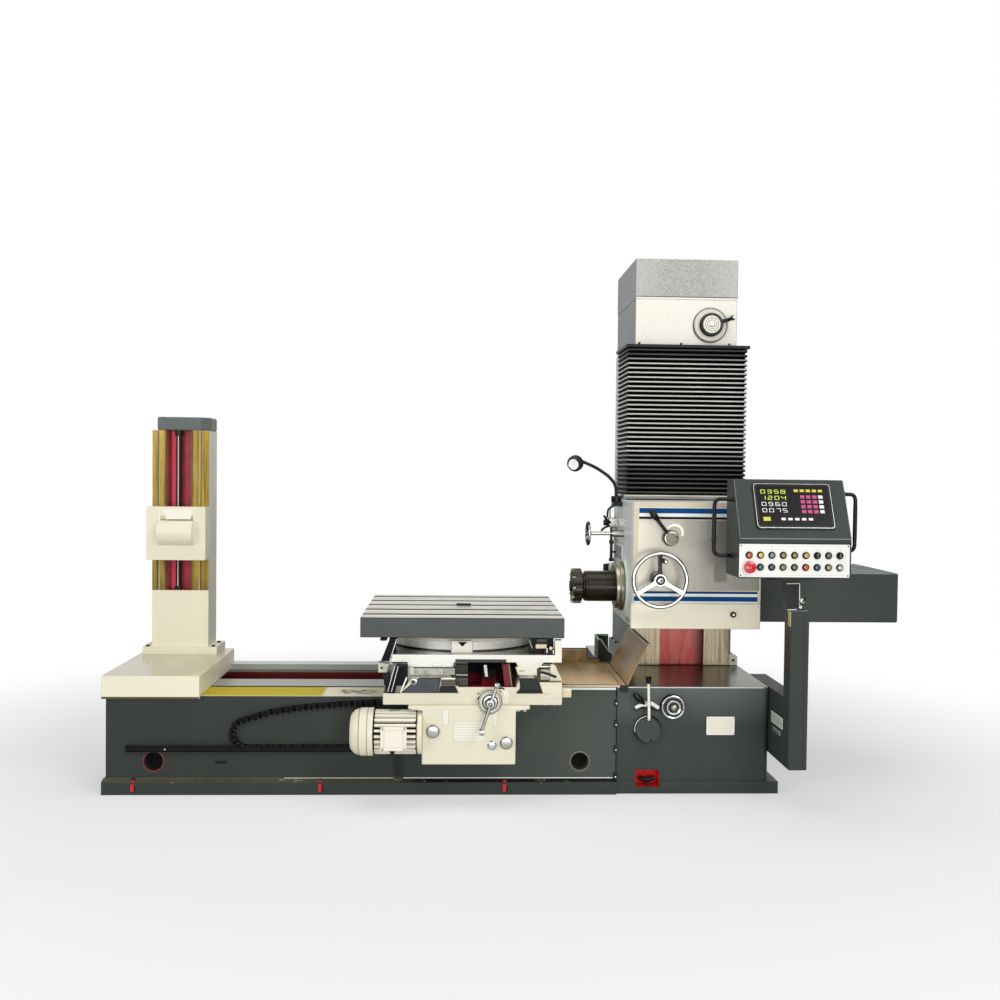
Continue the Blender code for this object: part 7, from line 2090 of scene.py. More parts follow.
    # right end: front plate, slanted wall, telescopic bars
    piece.prism(
        [(0.3925, 0.5460), (0.4838, 0.5460), (0.4838, 0.6020), (0.3730, 0.6020)], "Y", front - 0.0010,
        front + 0.012, "cream", 0.0008
    )
    piece.tube([(0.3725, front - 0.001, 0.6035), (0.4810, front - 0.001, 0.6030)], 0.0028, "rubber", 8)
    piece.prism([(0.4300, 0.6030), (0.4836, 0.6030), (0.4645, 0.6465), (0.4500, 0.6780), (0.4300, 0.6780)],
                "Y", -0.470, -0.380, "cream", 0.002)
    piece.tube(
        [(0.4836, -0.472, 0.6050), (0.4640, -0.472, 0.6460), (0.4500, -0.472, 0.6780)], 0.0026, "white", 8
    )
    piece.box((0.3850, 0.4310), (-0.455, -0.400), (0.6020, 0.6500), "beige", 0.002)
    piece.tube(
        [(0.3780, -0.476, 0.6460), (0.4115, -0.476, 0.6390), (0.4584, -0.476, 0.6205)], 0.0058, "rubber",
        12, 0.012
    )
    piece.tube(
        [(0.3800, -0.478, 0.6355), (0.4115, -0.478, 0.6280), (0.4480, -0.478, 0.6130)], 0.0026, "white", 8,
        0.012
    )
    # levelling plugs under the right end of the saddle
    for x in (0.405, 0.450):
        piece.drum("Z", (x, front + 0.018, 0.0), 0.007, 0.4855, 0.4894, "cream_light", 0.001, 20)
    # faint parting line at the right end
    piece.tube([(0.3880, front - 0.0002, 0.5155), (0.4770, front - 0.0002, 0.5250)], 0.0008, "beige", 6)
    piece.box((0.3872, 0.3880), (front - 0.0006, front + 0.001), (0.4950, 0.5455), "beige", 0.0)
    piece.finish()


def left_guards():
    """Slanted black shields and a cream block at the left of the cross slide."""
    piece = Piece("saddle_left_guards", "saddle", "cream_paint")
    front = SADDLE_Y
    piece.prism(
        [(-0.3610, 0.5475), (-0.3245, 0.5475), (-0.2925, 0.6780), (-0.3200, 0.6780)], "Y", front - 0.004,
        front + 0.060, "tray_black", 0.002
    )
    for shift in (0.0, -0.0175):
        line = [
            (-0.3430 + shift, 0.5500), (-0.3400 + shift, 0.5500), (-0.3080 + shift, 0.6760),
            (-0.3110 + shift, 0.6760)
        ]
        piece.prism(line, "Y", front - 0.0052, front - 0.0036, "white", 0.0004)
    piece.box((-0.3620, -0.3240), (front - 0.006, front + 0.02), (0.5460, 0.5530), "tray_black", 0.002)
    piece.box((-0.3300, -0.2800), (front + 0.006, front + 0.05), (0.5460, 0.5800), "hub_face", 0.002)
    piece.box((-0.3200, -0.2650), (front + 0.006, front + 0.05), (0.5800, 0.6780), "hole", 0.002)
    piece.prism(
        [(-0.3010, 0.5480), (-0.2930, 0.5480), (-0.2640, 0.6220), (-0.2720, 0.6220)], "Y", front - 0.0030,
        front + 0.001, "white", 0.0010
    )
    piece.prism(
        [(-0.4180, 0.6120), (-0.3740, 0.6120), (-0.3640, 0.6560), (-0.4180, 0.6620)], "Y", -0.330, -0.270,
        "cream_light", 0.003
    )
    piece.tube([(-0.3860, -0.300, 0.6120), (-0.3800, -0.300, 0.5440)], 0.010, "plastic", 12)
    piece.bolt("Y", (-0.4000, 0.0, 0.6360), 0.0060, -0.330, -0.004, "bolt")
    piece.box((-0.3815, -0.3600), (-0.34, -0.26), (0.5452, 0.6130), "plastic", 0.003)
    piece.finish()


def apron_details():
    piece = Piece("apron_fittings", "saddle", "cream_paint")
    face = APRON_Y
    for x, z, radius, tone in (
        (-0.139, 0.367, 0.0300, "satin"), (0.146, 0.300, 0.0200, "chrome"), (0.215, 0.312, 0.0290, "satin")
    ):
        top = face - 0.0080
        piece.lathe(
            [
                (face, 0.0), (face, radius + 0.002), (face - 0.003, radius + 0.002), (face - 0.004, radius),
                (top - 0.002, radius), (top - 0.005, radius * 0.86), (top - 0.0065, radius * 0.45),
                (top - 0.0070, 0.0)
            ],
            "Y", (x, 0.0, z), tone, 56, 0.0004
        )
        piece.rim("Y", (x, 0.0, z), radius * 0.90, 0.0012, top - 0.0035, "bolt", 56, 8)
    # bare plates
    for x, z in (
        ((-0.038, 0.107), (0.321, 0.413)), ((-0.092, -0.066), (0.398, 0.471)),
        ((0.149, 0.171), (0.394, 0.462))
    ):
        piece.prism(round_box((x[0] - 0.0010, x[1] + 0.0010), (z[0] - 0.0010, z[1] + 0.0010), 0.003), "Y",
                    face - 0.0010, face + 0.0005, "pale_mid", 0.0003)
        piece.prism(round_box(x, z, 0.003), "Y", face - 0.0013, face + 0.0005, "white", 0.0004)
        piece.prism(round_box((x[0] + 0.003, x[1] - 0.003), (z[0] + 0.003, z[1] - 0.003), 0.002), "Y",
                    face - 0.0016, face - 0.0010, "cream_light", 0.0002)
    piece.screws((-0.034, 0.103), (0.325, 0.409), 0.0022, face - 0.0012, -0.0012, "zinc", False)
    # faint rules on the big plate
    for level in range(6):
        z = 0.333 + level * 0.0135
        for mark in range(18):
            x = -0.029 + mark * 0.0071
            piece.box((x, x + 0.0036), (face - 0.0020, face - 0.0015), (z, z + 0.0018), "pale_mid", 0.0)
    # socket screws that hold the apron
    for x in (-0.236, -0.205, 0.274, 0.305):
        piece.drum("Z", (x, face + 0.022, 0.0), 0.0080, 0.4590, 0.4740, "zinc", 0.001, 20)
    # ring of marks round the crank
    for step in range(24):
        angle = TAU * step / 24
        inner = Vector((math.cos(angle), 0.0, math.sin(angle)))
        if 0.512 + 0.062 * inner.z > 0.486:
            continue
        first = Vector((0.134, face - 0.0006, 0.512)) + inner * 0.060
        last = Vector((0.134, face - 0.0006, 0.512)) + inner * 0.066
        piece.tube([first, last], 0.0008, "bolt", 4)
    piece.finish()


def motor():
    """Flange motor: ribbed barrel, ringed fan cowl, terminal box and flange bolts."""
    piece = Piece("feed_motor_housing", "saddle", "cream_paint", ("feed_motor",))
    y, z = -0.475, 0.353
    centre = (0.0, y, z)
    left, end = -0.5363, -0.1913
    piece.lathe(
        [
            (left + 0.0100, 0.0), (left + 0.0100, 0.0700), (left + 0.0020, 0.0740), (left, 0.0790),
            (left + 0.0020, 0.0850), (left + 0.0200, 0.1040), (left + 0.0400, 0.1110),
            (left + 0.0420, 0.1090), (left + 0.0450, 0.1090), (left + 0.0470, 0.1135),
            (left + 0.0800, 0.1150), (left + 0.0820, 0.1135), (left + 0.0850, 0.1135),
            (left + 0.0870, 0.1150), (left + 0.1100, 0.1148), (left + 0.1120, 0.1120), (left + 0.1120, 0.0)
        ],
        "X", centre, "cream", 96
    )
    for ring in range(4):
        radius = 0.018 + ring * 0.015
        piece.rim("X", centre, radius, 0.0028, left + 0.0085, "cream_light", 56, 8)
    for step in range(6):
        angle = TAU * step / 6
        tip = Vector((left + 0.0085, y + 0.066 * math.cos(angle), z + 0.066 * math.sin(angle)))
        piece.tube([(left + 0.0085, y, z), tip], 0.0022, "cream_light", 8)
    piece.drum("X", centre, 0.064, left + 0.0105, left + 0.0130, "hole", 0.0005, 48)
    piece.drum("X", centre, 0.0900, left + 0.1100, end - 0.0200, "hole", 0.001, 64)
    fins = 24
    for fin in range(fins):
        angle = TAU * fin / fins
        turn = Matrix.Translation((0.0, y, z)) @ Matrix.Rotation(angle, 4, "X")
        piece.box(
            (left + 0.1180, end - 0.0290), (-0.0062, 0.0062), (0.0870, 0.1065), "cream_light", 0.0022, 2,
            turn
        )
    piece.lathe(
        [
            (end - 0.0260, 0.0), (end - 0.0260, 0.0930), (end - 0.0200, 0.1070), (end - 0.0060, 0.1075),
            (end, 0.1060), (end, 0.0)
        ],
        "X", centre, "cream", 80, 0.0010
    )
    for step in range(4):
        angle = TAU * (step + 0.5) / 4
        place = (0.0, y + 0.0945 * math.cos(angle), z + 0.0945 * math.sin(angle))
        piece.bolt("X", place, 0.0095, end - 0.0255, -0.0090, "bolt")
    # terminal box: body, lid, screws and gland
    x0, x1, z0, z1 = -0.386, -0.262, 0.290, 0.404
    back, front = y - 0.085, y - 0.129
    piece.prism(
        round_box((x0 + 0.004, x1 - 0.004), (z0 + 0.004, z1 - 0.004), 0.010), "Y", front + 0.018,
        back + 0.04, "cream", 0.0015
    )
    piece.prism(round_box((x0, x1), (z0, z1), 0.013), "Y", front + 0.0060, front + 0.0200, "cream", 0.0030, 3)
    wide = 0.017
    for x, zz in (
        ((x0, x0 + wide), (z0, z1)), ((x1 - wide, x1), (z0, z1)),
        ((x0 + 0.004, x1 - 0.004), (z0, z0 + wide)), ((x0 + 0.004, x1 - 0.004), (z1 - wide, z1))
    ):
        piece.box(x, (front + 0.0004, front + 0.0080), zz, "cream_light", 0.0035, 3)
    piece.box(
        (x0 + wide - 0.001, x1 - wide + 0.001), (front + 0.0050, front + 0.0065),
        (z0 + wide - 0.001, z1 - wide + 0.001), "beige", 0.0
    )
    piece.box(
        (x0 + wide + 0.0015, x1 - wide - 0.0015), (front + 0.0030, front + 0.0060),
        (z0 + wide + 0.0015, z1 - wide - 0.0015), "cream_light", 0.0010
    )
    for x in (x0 + 0.0075, x1 - 0.0075):
        for zz in (z0 + 0.0075, z1 - 0.0075):
            piece.bolt("Y", (x, 0.0, zz), 0.0034, front + 0.0006, -0.0004, "zinc")
    piece.lathe(
        [
            (z0 - 0.022, 0.0), (z0 - 0.022, 0.0090), (z0 - 0.010, 0.0105), (z0 - 0.009, 0.0130),
            (z0 + 0.004, 0.0130), (z0 + 0.004, 0.0)
        ],
        "Z", (-0.330, y - 0.105, 0.0), "plastic", 24, 0.0006
    )
    # dark joints of the cowl
    for step in (0.0435, 0.0835, 0.1130):
        piece.rim(
            "X", centre, 0.1140 if step > 0.05 else 0.1100, 0.0010, left + step, "bronze_edge"
            if step < 0.1 else "hole", 96, 6
        )
    # bare plate on the barrel's top
    piece.box((-0.350, -0.300), (y - 0.020, y + 0.020), (z + 0.1040, z + 0.1060), "satin", 0.0006)
    piece.finish()


def apron_crank():
    piece = Piece("apron_crank_handle", "apron_crank", "chrome", ("apron_crank",))
    x, z = CRANK_X, CRANK_Z
    wall = APRON_Y - 0.0003
    centre = (x, 0.0, z)
    piece.lathe(
        [
            (wall, 0.0), (wall, 0.0560), (wall - 0.012, 0.0560), (wall - 0.017, 0.0530),
            (wall - 0.018, 0.0480), (wall - 0.018, 0.0)
        ],
        "Y", centre, "cream_light", 72, 0.0008
    )
    piece.rim("Y", centre, 0.0555, 0.0020, wall - 0.0125, "hole", 72, 8)
    piece.rim("Y", centre, 0.0500, 0.0012, wall - 0.0178, "bolt", 72, 8)
    piece.lathe([(wall - 0.017, 0.0), (wall - 0.017, 0.0400), (wall - 0.024, 0.0380), (wall - 0.029, 0.0330),
                 (wall - 0.030, 0.0250), (wall - 0.056, 0.0215), (wall - 0.061, 0.0180), (wall - 0.062, 0.0)],
                "Y", centre, "satin", 56, 0.0008)
    piece.rim("Y", centre, 0.0345, 0.0012, wall - 0.0275, "bolt", 56, 8)
    for step in range(36):
        angle = TAU * step / 36
        inner = Vector((math.cos(angle), 0.0, math.sin(angle)))
        first = Vector((x, wall - 0.0182, z)) + inner * 0.0440
        last = Vector((x, wall - 0.0182, z)) + inner * (0.0500 if step % 3 == 0 else 0.0480)
        piece.tube([first, last], 0.0005, "bolt", 4)
    arm_y = wall - 0.050
    upper = Vector((x + 0.032, arm_y, z + 0.090))
    lower = Vector((x - 0.040, arm_y, z - 0.132))
    path = [upper, upper.lerp(lower, 0.25), upper.lerp(lower, 0.42), upper.lerp(lower, 0.75), lower]
    piece.tube(path, 0.009, "chrome", 20, radii=[0.0085, 0.0080, 0.0110, 0.0080, 0.0075])
    piece.bolt("Y", centre, 0.0100, arm_y - 0.0080, -0.006, "bolt")
    knob = [
        Vector((upper.x, arm_y + 0.0115, upper.z)), Vector((upper.x, arm_y + 0.004, upper.z)),
        Vector((upper.x, arm_y - 0.010, upper.z)), Vector((upper.x, arm_y - 0.024, upper.z)),
        Vector((upper.x, arm_y - 0.030, upper.z))
    ]
    piece.tube(knob, 0.016, "chrome", 28, radii=[0.0060, 0.0150, 0.0170, 0.0130, 0.0040])
    grip = [
        Vector((lower.x, arm_y + 0.011, lower.z)), Vector((lower.x, arm_y - 0.004, lower.z)),
        Vector((lower.x, arm_y - 0.020, lower.z)), Vector((lower.x, arm_y - 0.044, lower.z)),
        Vector((lower.x, arm_y - 0.048, lower.z))
    ]
    piece.tube(grip, 0.013, "chrome", 28, radii=[0.0120, 0.0120, 0.0100, 0.0132, 0.0060])
    piece.bolt("Y", (lower.x, 0.0, lower.z), 0.0060, arm_y - 0.0478, -0.0012, "bolt")
    piece.tube(
        [
            upper + Vector((0.008, 0.004, -0.018)), upper + Vector((0.024, 0.004, -0.014)),
            upper + Vector((0.036, 0.004, -0.022))
        ],
        0.0036, "gloss", 10, 0.008
    )
    piece.finish()


# cross slide and table
def slide_details():
    piece = Piece("cross_slide_fittings", "cross_slide", "cream_paint")
    front = -0.4400
    # thickened front of the legs, the way a casting steps down
    piece.prism([(-0.268, 0.6850), (-0.262, 0.6640), (-0.140, 0.6580), (-0.046, 0.6600), (-0.040, 0.6850)],
                "Y", front - 0.0004, front + 0.060, "white", 0.002)
    piece.prism(
        [(-0.148, 0.6650), (-0.052, 0.6650), (-0.048, 0.6760), (-0.150, 0.6760)], "Y", front - 0.0030,
        front - 0.0002, "satin", 0.001
    )
    piece.prism(
        [(0.262, 0.6850), (0.276, 0.6600), (0.372, 0.6560), (0.400, 0.6850)], "Y", front - 0.0004,
        front + 0.060, "cream_light", 0.002
    )
    # ground faces of the legs behind the wipers
    piece.box((-0.2586, -0.1030), (front - 0.0012, front + 0.002), (0.6228, 0.6610), "steel_light", 0.0008)
    piece.box((-0.1005, -0.0360), (front - 0.0012, front + 0.002), (0.6228, 0.6610), "steel_light", 0.0008)
    piece.box((-0.2600, -0.0350), (front - 0.0020, front + 0.002), (0.6560, 0.6612), "tray_black", 0.0004)
    piece.box((-0.3425, -0.2690), (front + 0.0004, front + 0.004), (0.6790, 0.6848), "tray_black", 0.0004)
    piece.box((-0.2570, -0.2380), (front - 0.0022, front + 0.002), (0.6228, 0.6600), "edge_white", 0.0004)
    # right leg: light face with an oval recess
    piece.prism(
        [(0.2595, 0.6640), (0.3405, 0.6660), (0.3640, 0.6240), (0.2735, 0.6240)], "Y", front - 0.0016,
        front + 0.001, "cream_light", 0.0010
    )
    piece.prism(
        round_box((0.2760, 0.3060), (0.6440, 0.6560), 0.0055), "Y", front - 0.0024, front - 0.0010,
        "edge_white", 0.0006
    )
    piece.prism(
        round_box((0.2790, 0.3060), (0.6425, 0.6470), 0.0020), "Y", front - 0.0026, front - 0.0012,
        "bronze_edge", 0.0004
    )
    # round bar under the plate's right end
    piece.tube([(0.3500, -0.430, 0.6640), (0.4400, -0.430, 0.6640)], 0.0065, "chrome", 14)
    piece.box((0.3464, 0.4400), (-0.436, -0.400), (0.6765, 0.6848), "rubber", 0.0010)
    # dark gib screws along the right side of the plate
    for y in (-0.36, -0.20, -0.04, 0.12, 0.28, 0.44):
        piece.bolt("X", (0.0, y, 0.7030), 0.0065, 0.4880, 0.0045, "bolt")
    # angle pointer: steel face with a black triangle
    piece.box((-0.0565, 0.0505), (-0.3835, -0.3818), (0.7228, 0.7800), "cream_light", 0.0004)
    piece.prism(
        [(-0.0230, 0.7760), (0.0220, 0.7760), (-0.0005, 0.7520)], "Y", -0.3848, -0.3832, "hole", 0.0004
    )
    for x in (-0.0560, 0.0490):
        piece.box((x, x + 0.0016), (-0.3840, -0.3815), (0.7230, 0.7795), "bolt", 0.0)
    # stop bracket: lamp and trip dogs beside it
    piece.box((0.3315, 0.4535), (-0.360, -0.330), (0.7230, 0.7960), "rubber", 0.002)
    piece.box((0.4000, 0.4520), (-0.432, -0.380), (0.7226, 0.7500), "rubber", 0.003)
    piece.box((0.3601, 0.4141), (-0.425, -0.400), (0.7517, 0.7726), "edge_light", 0.003)
    piece.box((0.3660, 0.4155), (-0.400, -0.380), (0.7766, 0.7952), "slate", 0.003)
    piece.drum("Y", (0.4333, 0.0, 0.7555), 0.0088, -0.4420, -0.4300, "edge_light", 0.0040, 24)
    piece.tube([(0.3294, -0.400, 0.7926), (0.3431, -0.400, 0.7504)], 0.0036, "zinc", 10)
    piece.tube([(0.4147, -0.434, 0.7557), (0.4149, -0.434, 0.7320)], 0.0030, "white", 8)
    piece.tube([(0.4461, -0.436, 0.7465), (0.4462, -0.436, 0.7270)], 0.0030, "white", 8)
    piece.box((0.4545, 0.4875), (-0.4412, -0.4395), (0.7240, 0.7945), "cream_light", 0.0004)
    # black folded shield on the plate's left end
    piece.prism(
        [(-0.3980, 0.6880), (-0.3500, 0.6880), (-0.3165, 0.7995), (-0.3550, 0.7995)], "Y", -0.436, -0.20,
        "tray_black", 0.003
    )
    piece.prism(
        [(-0.3560, 0.6900), (-0.3525, 0.6900), (-0.3195, 0.7980), (-0.3230, 0.7980)], "Y", -0.4385, -0.4355,
        "white", 0.0006
    )
    piece.box((-0.4040, -0.3700), (-0.420, -0.340), (0.7850, 0.7990), "rubber", 0.005)
    piece.finish()


def turning_base():
    """Degree scale and clamp ring round the turning base."""
    piece = Piece("round_base_scale", "cross_slide", "cream_paint")
    centre = (0.0, TURN_Y, 0.0)
    piece.lathe([(0.7830, 0.3700), (0.7822, 0.3862), (0.7790, 0.3868), (0.7700, 0.3868), (0.7690, 0.3862),
                 (0.7690, 0.3700), (0.7830, 0.3700)], "Z", centre, "cream_light", 160)
    for step in range(180):
        angle = TAU * step / 180
        tall = 0.011 if step % 5 == 0 else 0.006
        out = Vector((math.cos(angle), math.sin(angle), 0.0)) * 0.3869
        base = Vector((0.0, TURN_Y, 0.7700)) + out
        piece.tube([base, base + Vector((0.0, 0.0, tall))], 0.0005, "bolt", 4)
    piece.lathe(
        [(0.7230, 0.3840), (0.7230, 0.3872), (0.7290, 0.3866), (0.7300, 0.3840), (0.7230, 0.3840)], "Z",
        centre, "bolt", 160
    )
    piece.finish()


def table_details():
    piece = Piece("table_fittings", "table", "machine_grey")
    front = TURN_Y - 0.480
    piece.box((-0.4985, 0.4985), (front - 0.0008, front + 0.001), (0.8055, 0.8080), "darker", 0.0003)
    # T-nut standing in a slot
    piece.box((-0.0315, 0.0465), (TURN_Y - 0.0095, TURN_Y + 0.0095), (0.8900, 0.9150), "rubber", 0.002)
    # plugs on both ends
    for side in (-1, 1):
        for y in (-0.34, 0.42):
            piece.bolt("X", (0.0, y, 0.8500), 0.0090, side * 0.4990, side * 0.004, "bolt")
    piece.finish()


# tail column
def tail_details():
    piece = Piece("tail_column_fittings", "tail_column", "cream_paint")
    # brown wiper strip under the base and pockets with screws
    front = -0.3330
    piece.box((-1.776, -1.299), (front - 0.0010, front + 0.004), (0.4772, 0.4880), "strip", 0.0008)
    for x in (-1.730, -1.372):
        piece.drum("Z", (x, 0.300, 0.0), 0.0125, 0.6352, 0.6368, "hole", 0.0006, 24)
        piece.hexagon("Z", (x, 0.300, 0.0), 0.0085, 0.6360, 0.6440, "bolt")
        piece.drum("Z", (x, 0.440, 0.0), 0.0125, 0.6352, 0.6368, "hole", 0.0006, 24)
        piece.hexagon("Z", (x, 0.440, 0.0), 0.0085, 0.6360, 0.6440, "bolt")
    # raised guide strip in the slot
    piece.box((-1.613, -1.588), (0.338, 0.3625), (0.948, 1.825), "red_bright", 0.002)
    # thread of the screw
    x, y = -1.572, 0.336
    turns = 92
    path = []
    for step in range(turns * 8):
        angle = TAU * step / 8
        z = 0.950 + (1.822 - 0.950) * step / (turns * 8)
        path.append(Vector((x + 0.0130 * math.cos(angle), y + 0.0130 * math.sin(angle), z)))
    piece.tube(path, 0.0018, "gunmetal", 5)
    # painted highlight: a thin white line down the screw's front
    piece.tube([(x - 0.001, y - 0.0158, 0.966), (x - 0.001, y - 0.0158, 1.798)], 0.0022, "white", 6)
    piece.drum("Z", (x, y, 0.0), 0.0215, 1.8000, 1.8260, "gunmetal", 0.002, 32)
    piece.drum("Z", (x, y, 0.0), 0.0200, 0.9470, 0.9640, "gunmetal", 0.002, 32)
    # cap: top screws
    for px, py in ((-1.660, 0.330), (-1.660, 0.470), (-1.425, 0.470)):
        piece.bolt("Z", (px, py, 0.0), 0.0060, 1.9000, -0.0006, "bolt")
    piece.finish()


def tail_block_details():
    piece = Piece("tail_block_fittings", "tail_block", "cream_paint")
    front = 0.2000
    # bushing ends on both sides of the boss
    for side, x in ((-1, -1.6462), (1, -1.4578)):
        piece.lathe([(x, 0.0), (x, 0.0640), (x + side * 0.002, 0.0620), (x + side * 0.002, 0.0), (x, 0.0)],
                    "X", (0.0, 0.212, 1.268), "cream_light", 56, 0.0006)
    # sloping plate over the boss
    piece.prism(
        [(-1.622, 1.3950), (-1.460, 1.3950), (-1.476, 1.3420), (-1.606, 1.3420)], "Y", front - 0.0016,
        front + 0.001, "cream_light", 0.0008
    )
    # light line down the left of the front face and a clamp screw under the boss
    piece.box((-1.6425, -1.6395), (front - 0.0008, front + 0.001), (1.128, 1.398), "cream_light", 0.0003)
    piece.drum("Z", (-1.572, 0.248, 0.0), 0.0075, 1.1120, 1.1205, "bolt", 0.001, 16)
    piece.finish()


# pendant
SLOPE_START = Vector((0.0, PENDANT_FACE_Y, 1.322))
SLOPE_END = Vector((0.0, -0.588, 1.597))
SLOPE = (SLOPE_END - SLOPE_START)
SLOPE_LONG = SLOPE.length
SLOPE_DIR = SLOPE.normalized()
SLOPE_OUT = Vector((0.0, -SLOPE_DIR.z, SLOPE_DIR.y))


def slope_matrix():
    """Takes X, distance up the slope and height over it to the pendant's sloping face."""
    rows = Matrix((
        (1.0, 0.0, 0.0, 0.0),
        (0.0, SLOPE_DIR.y, SLOPE_OUT.y, SLOPE_START.y),
        (0.0, SLOPE_DIR.z, SLOPE_OUT.z, SLOPE_START.z),
        (0.0, 0.0, 0.0, 1.0),
    ))
    return rows


def screen():
    piece = Piece("pendant_screen", "pendant", "black_plastic", ("screen_bezel",))
    place = slope_matrix()
    x0, x1 = 1.368, 1.746
    low, high = 0.15 * SLOPE_LONG, 0.93 * SLOPE_LONG

    def slab(x, up, out, material, edge=0.001, radius=0.0):
        outline = round_box(x, up, radius) if radius else [
            (x[0], up[0]), (x[1], up[0]), (x[1], up[1]), (x[0], up[1])
        ]
        piece.prism(outline, "Z", out[0], out[1], material, edge, 2, place)

    frame_wide = 0.018
    slab((x0, x1), (low, high), (0.0004, 0.0090), "darker", 0.0020, 0.020)
    slab((x0 + 0.004, x1 - 0.004), (low + 0.004, high - 0.004), (0.0088, 0.0105), "satin", 0.0008, 0.017)
    slab(
        (x0 + 0.0075, x1 - 0.0075), (low + 0.0075, high - 0.0075), (0.0100, 0.0118), "plastic", 0.0008,
        0.014
    )
    slab(
        (x0 + frame_wide, x1 - frame_wide), (low + frame_wide, high - frame_wide), (0.0115, 0.0126),
        "gloss", 0.0004, 0.006
    )
    face = 0.0126
    span_x = (x0 + frame_wide, x1 - frame_wide)
    span_z = (low + frame_wide, high - frame_wide)
    wide = span_x[1] - span_x[0]
    tall = span_z[1] - span_z[0]

    def mark(u, v, w, h, material, out=0.0006):
        a = span_x[0] + u * wide
        b = span_z[1] - v * tall
        slab((a, a + w * wide), (b - h * tall, b), (face - 0.0002, face + out), material, 0.0002)

    # four rows of digits at the left, drawn as seven-bar figures
    digits = {
        "0": "abcdef", "1": "bc", "2": "abdeg", "3": "abcdg", "4": "bcfg", "5": "acdfg", "6": "acdefg",
        "7": "abc", "8": "abcdefg", "9": "abcdfg"
    }
    bars = {
        "a": (0.1, 0.0, 0.8, 0.12), "b": (0.84, 0.04, 0.16, 0.44), "c": (0.84, 0.52, 0.16, 0.44),
        "d": (0.1, 0.88, 0.8, 0.12), "e": (0.0, 0.52, 0.16, 0.44), "f": (0.0, 0.04, 0.16, 0.44),
        "g": (0.1, 0.44, 0.8, 0.12)
    }
    for row, text in enumerate(("0358", "1204", "0960", "0075")):
        for column, letter in enumerate(text):
            left = 0.05 + column * 0.095
            top = 0.10 + row * 0.16
            for bar in digits[letter]:
                u, v, w, h = bars[bar]
                mark(
                    left + u * 0.065, top + v * 0.10, w * 0.065, h * 0.10, "digit"
                    if row < 2 else "key_white"
                )
    for row in range(4):
        mark(0.045, 0.215 + row * 0.16, 0.40, 0.006, "darker")
    # keys: a yellow row, a magenta block, a white column, a white row
    for column in range(5):
        mark(0.52 + column * 0.085, 0.09, 0.060, 0.065, "key_yellow", 0.0012)
    for row in range(4):
        for column in range(4):
            tone = "key_pink" if column < 3 else "key_white"
            mark(0.60 + column * 0.085, 0.24 + row * 0.125, 0.060, 0.080, tone, 0.0012)
    for column in range(5):
        mark(0.30 + column * 0.095, 0.82, 0.060, 0.060, "key_white", 0.0012)
    mark(0.05, 0.80, 0.10, 0.10, "key_yellow", 0.0010)
    mark(0.50, 0.05, 0.004, 0.70, "darker")
    for x in (x0 + 0.009, x1 - 0.009):
        for up in (low + 0.010, high - 0.010):
            spot = place @ Matrix.Translation((x, up, 0.0))
            piece.bolt("Z", (0.0, 0.0, 0.0), 0.0022, 0.0100, 0.0020, "zinc", True, spot)
    piece.finish()


UPPER_ROW = (
    (206, 84, 50), (214, 178, 70), (120, 132, 112), (126, 112, 60), (132, 118, 66), (206, 150, 74),
    (70, 74, 74), (84, 90, 84), (62, 68, 66)
)
LOWER_ROW = (
    None, (24, 84, 62), (52, 66, 60), (150, 116, 60), (96, 84, 66), (200, 78, 58), (44, 72, 104),
    (150, 138, 112), (196, 200, 200)
)


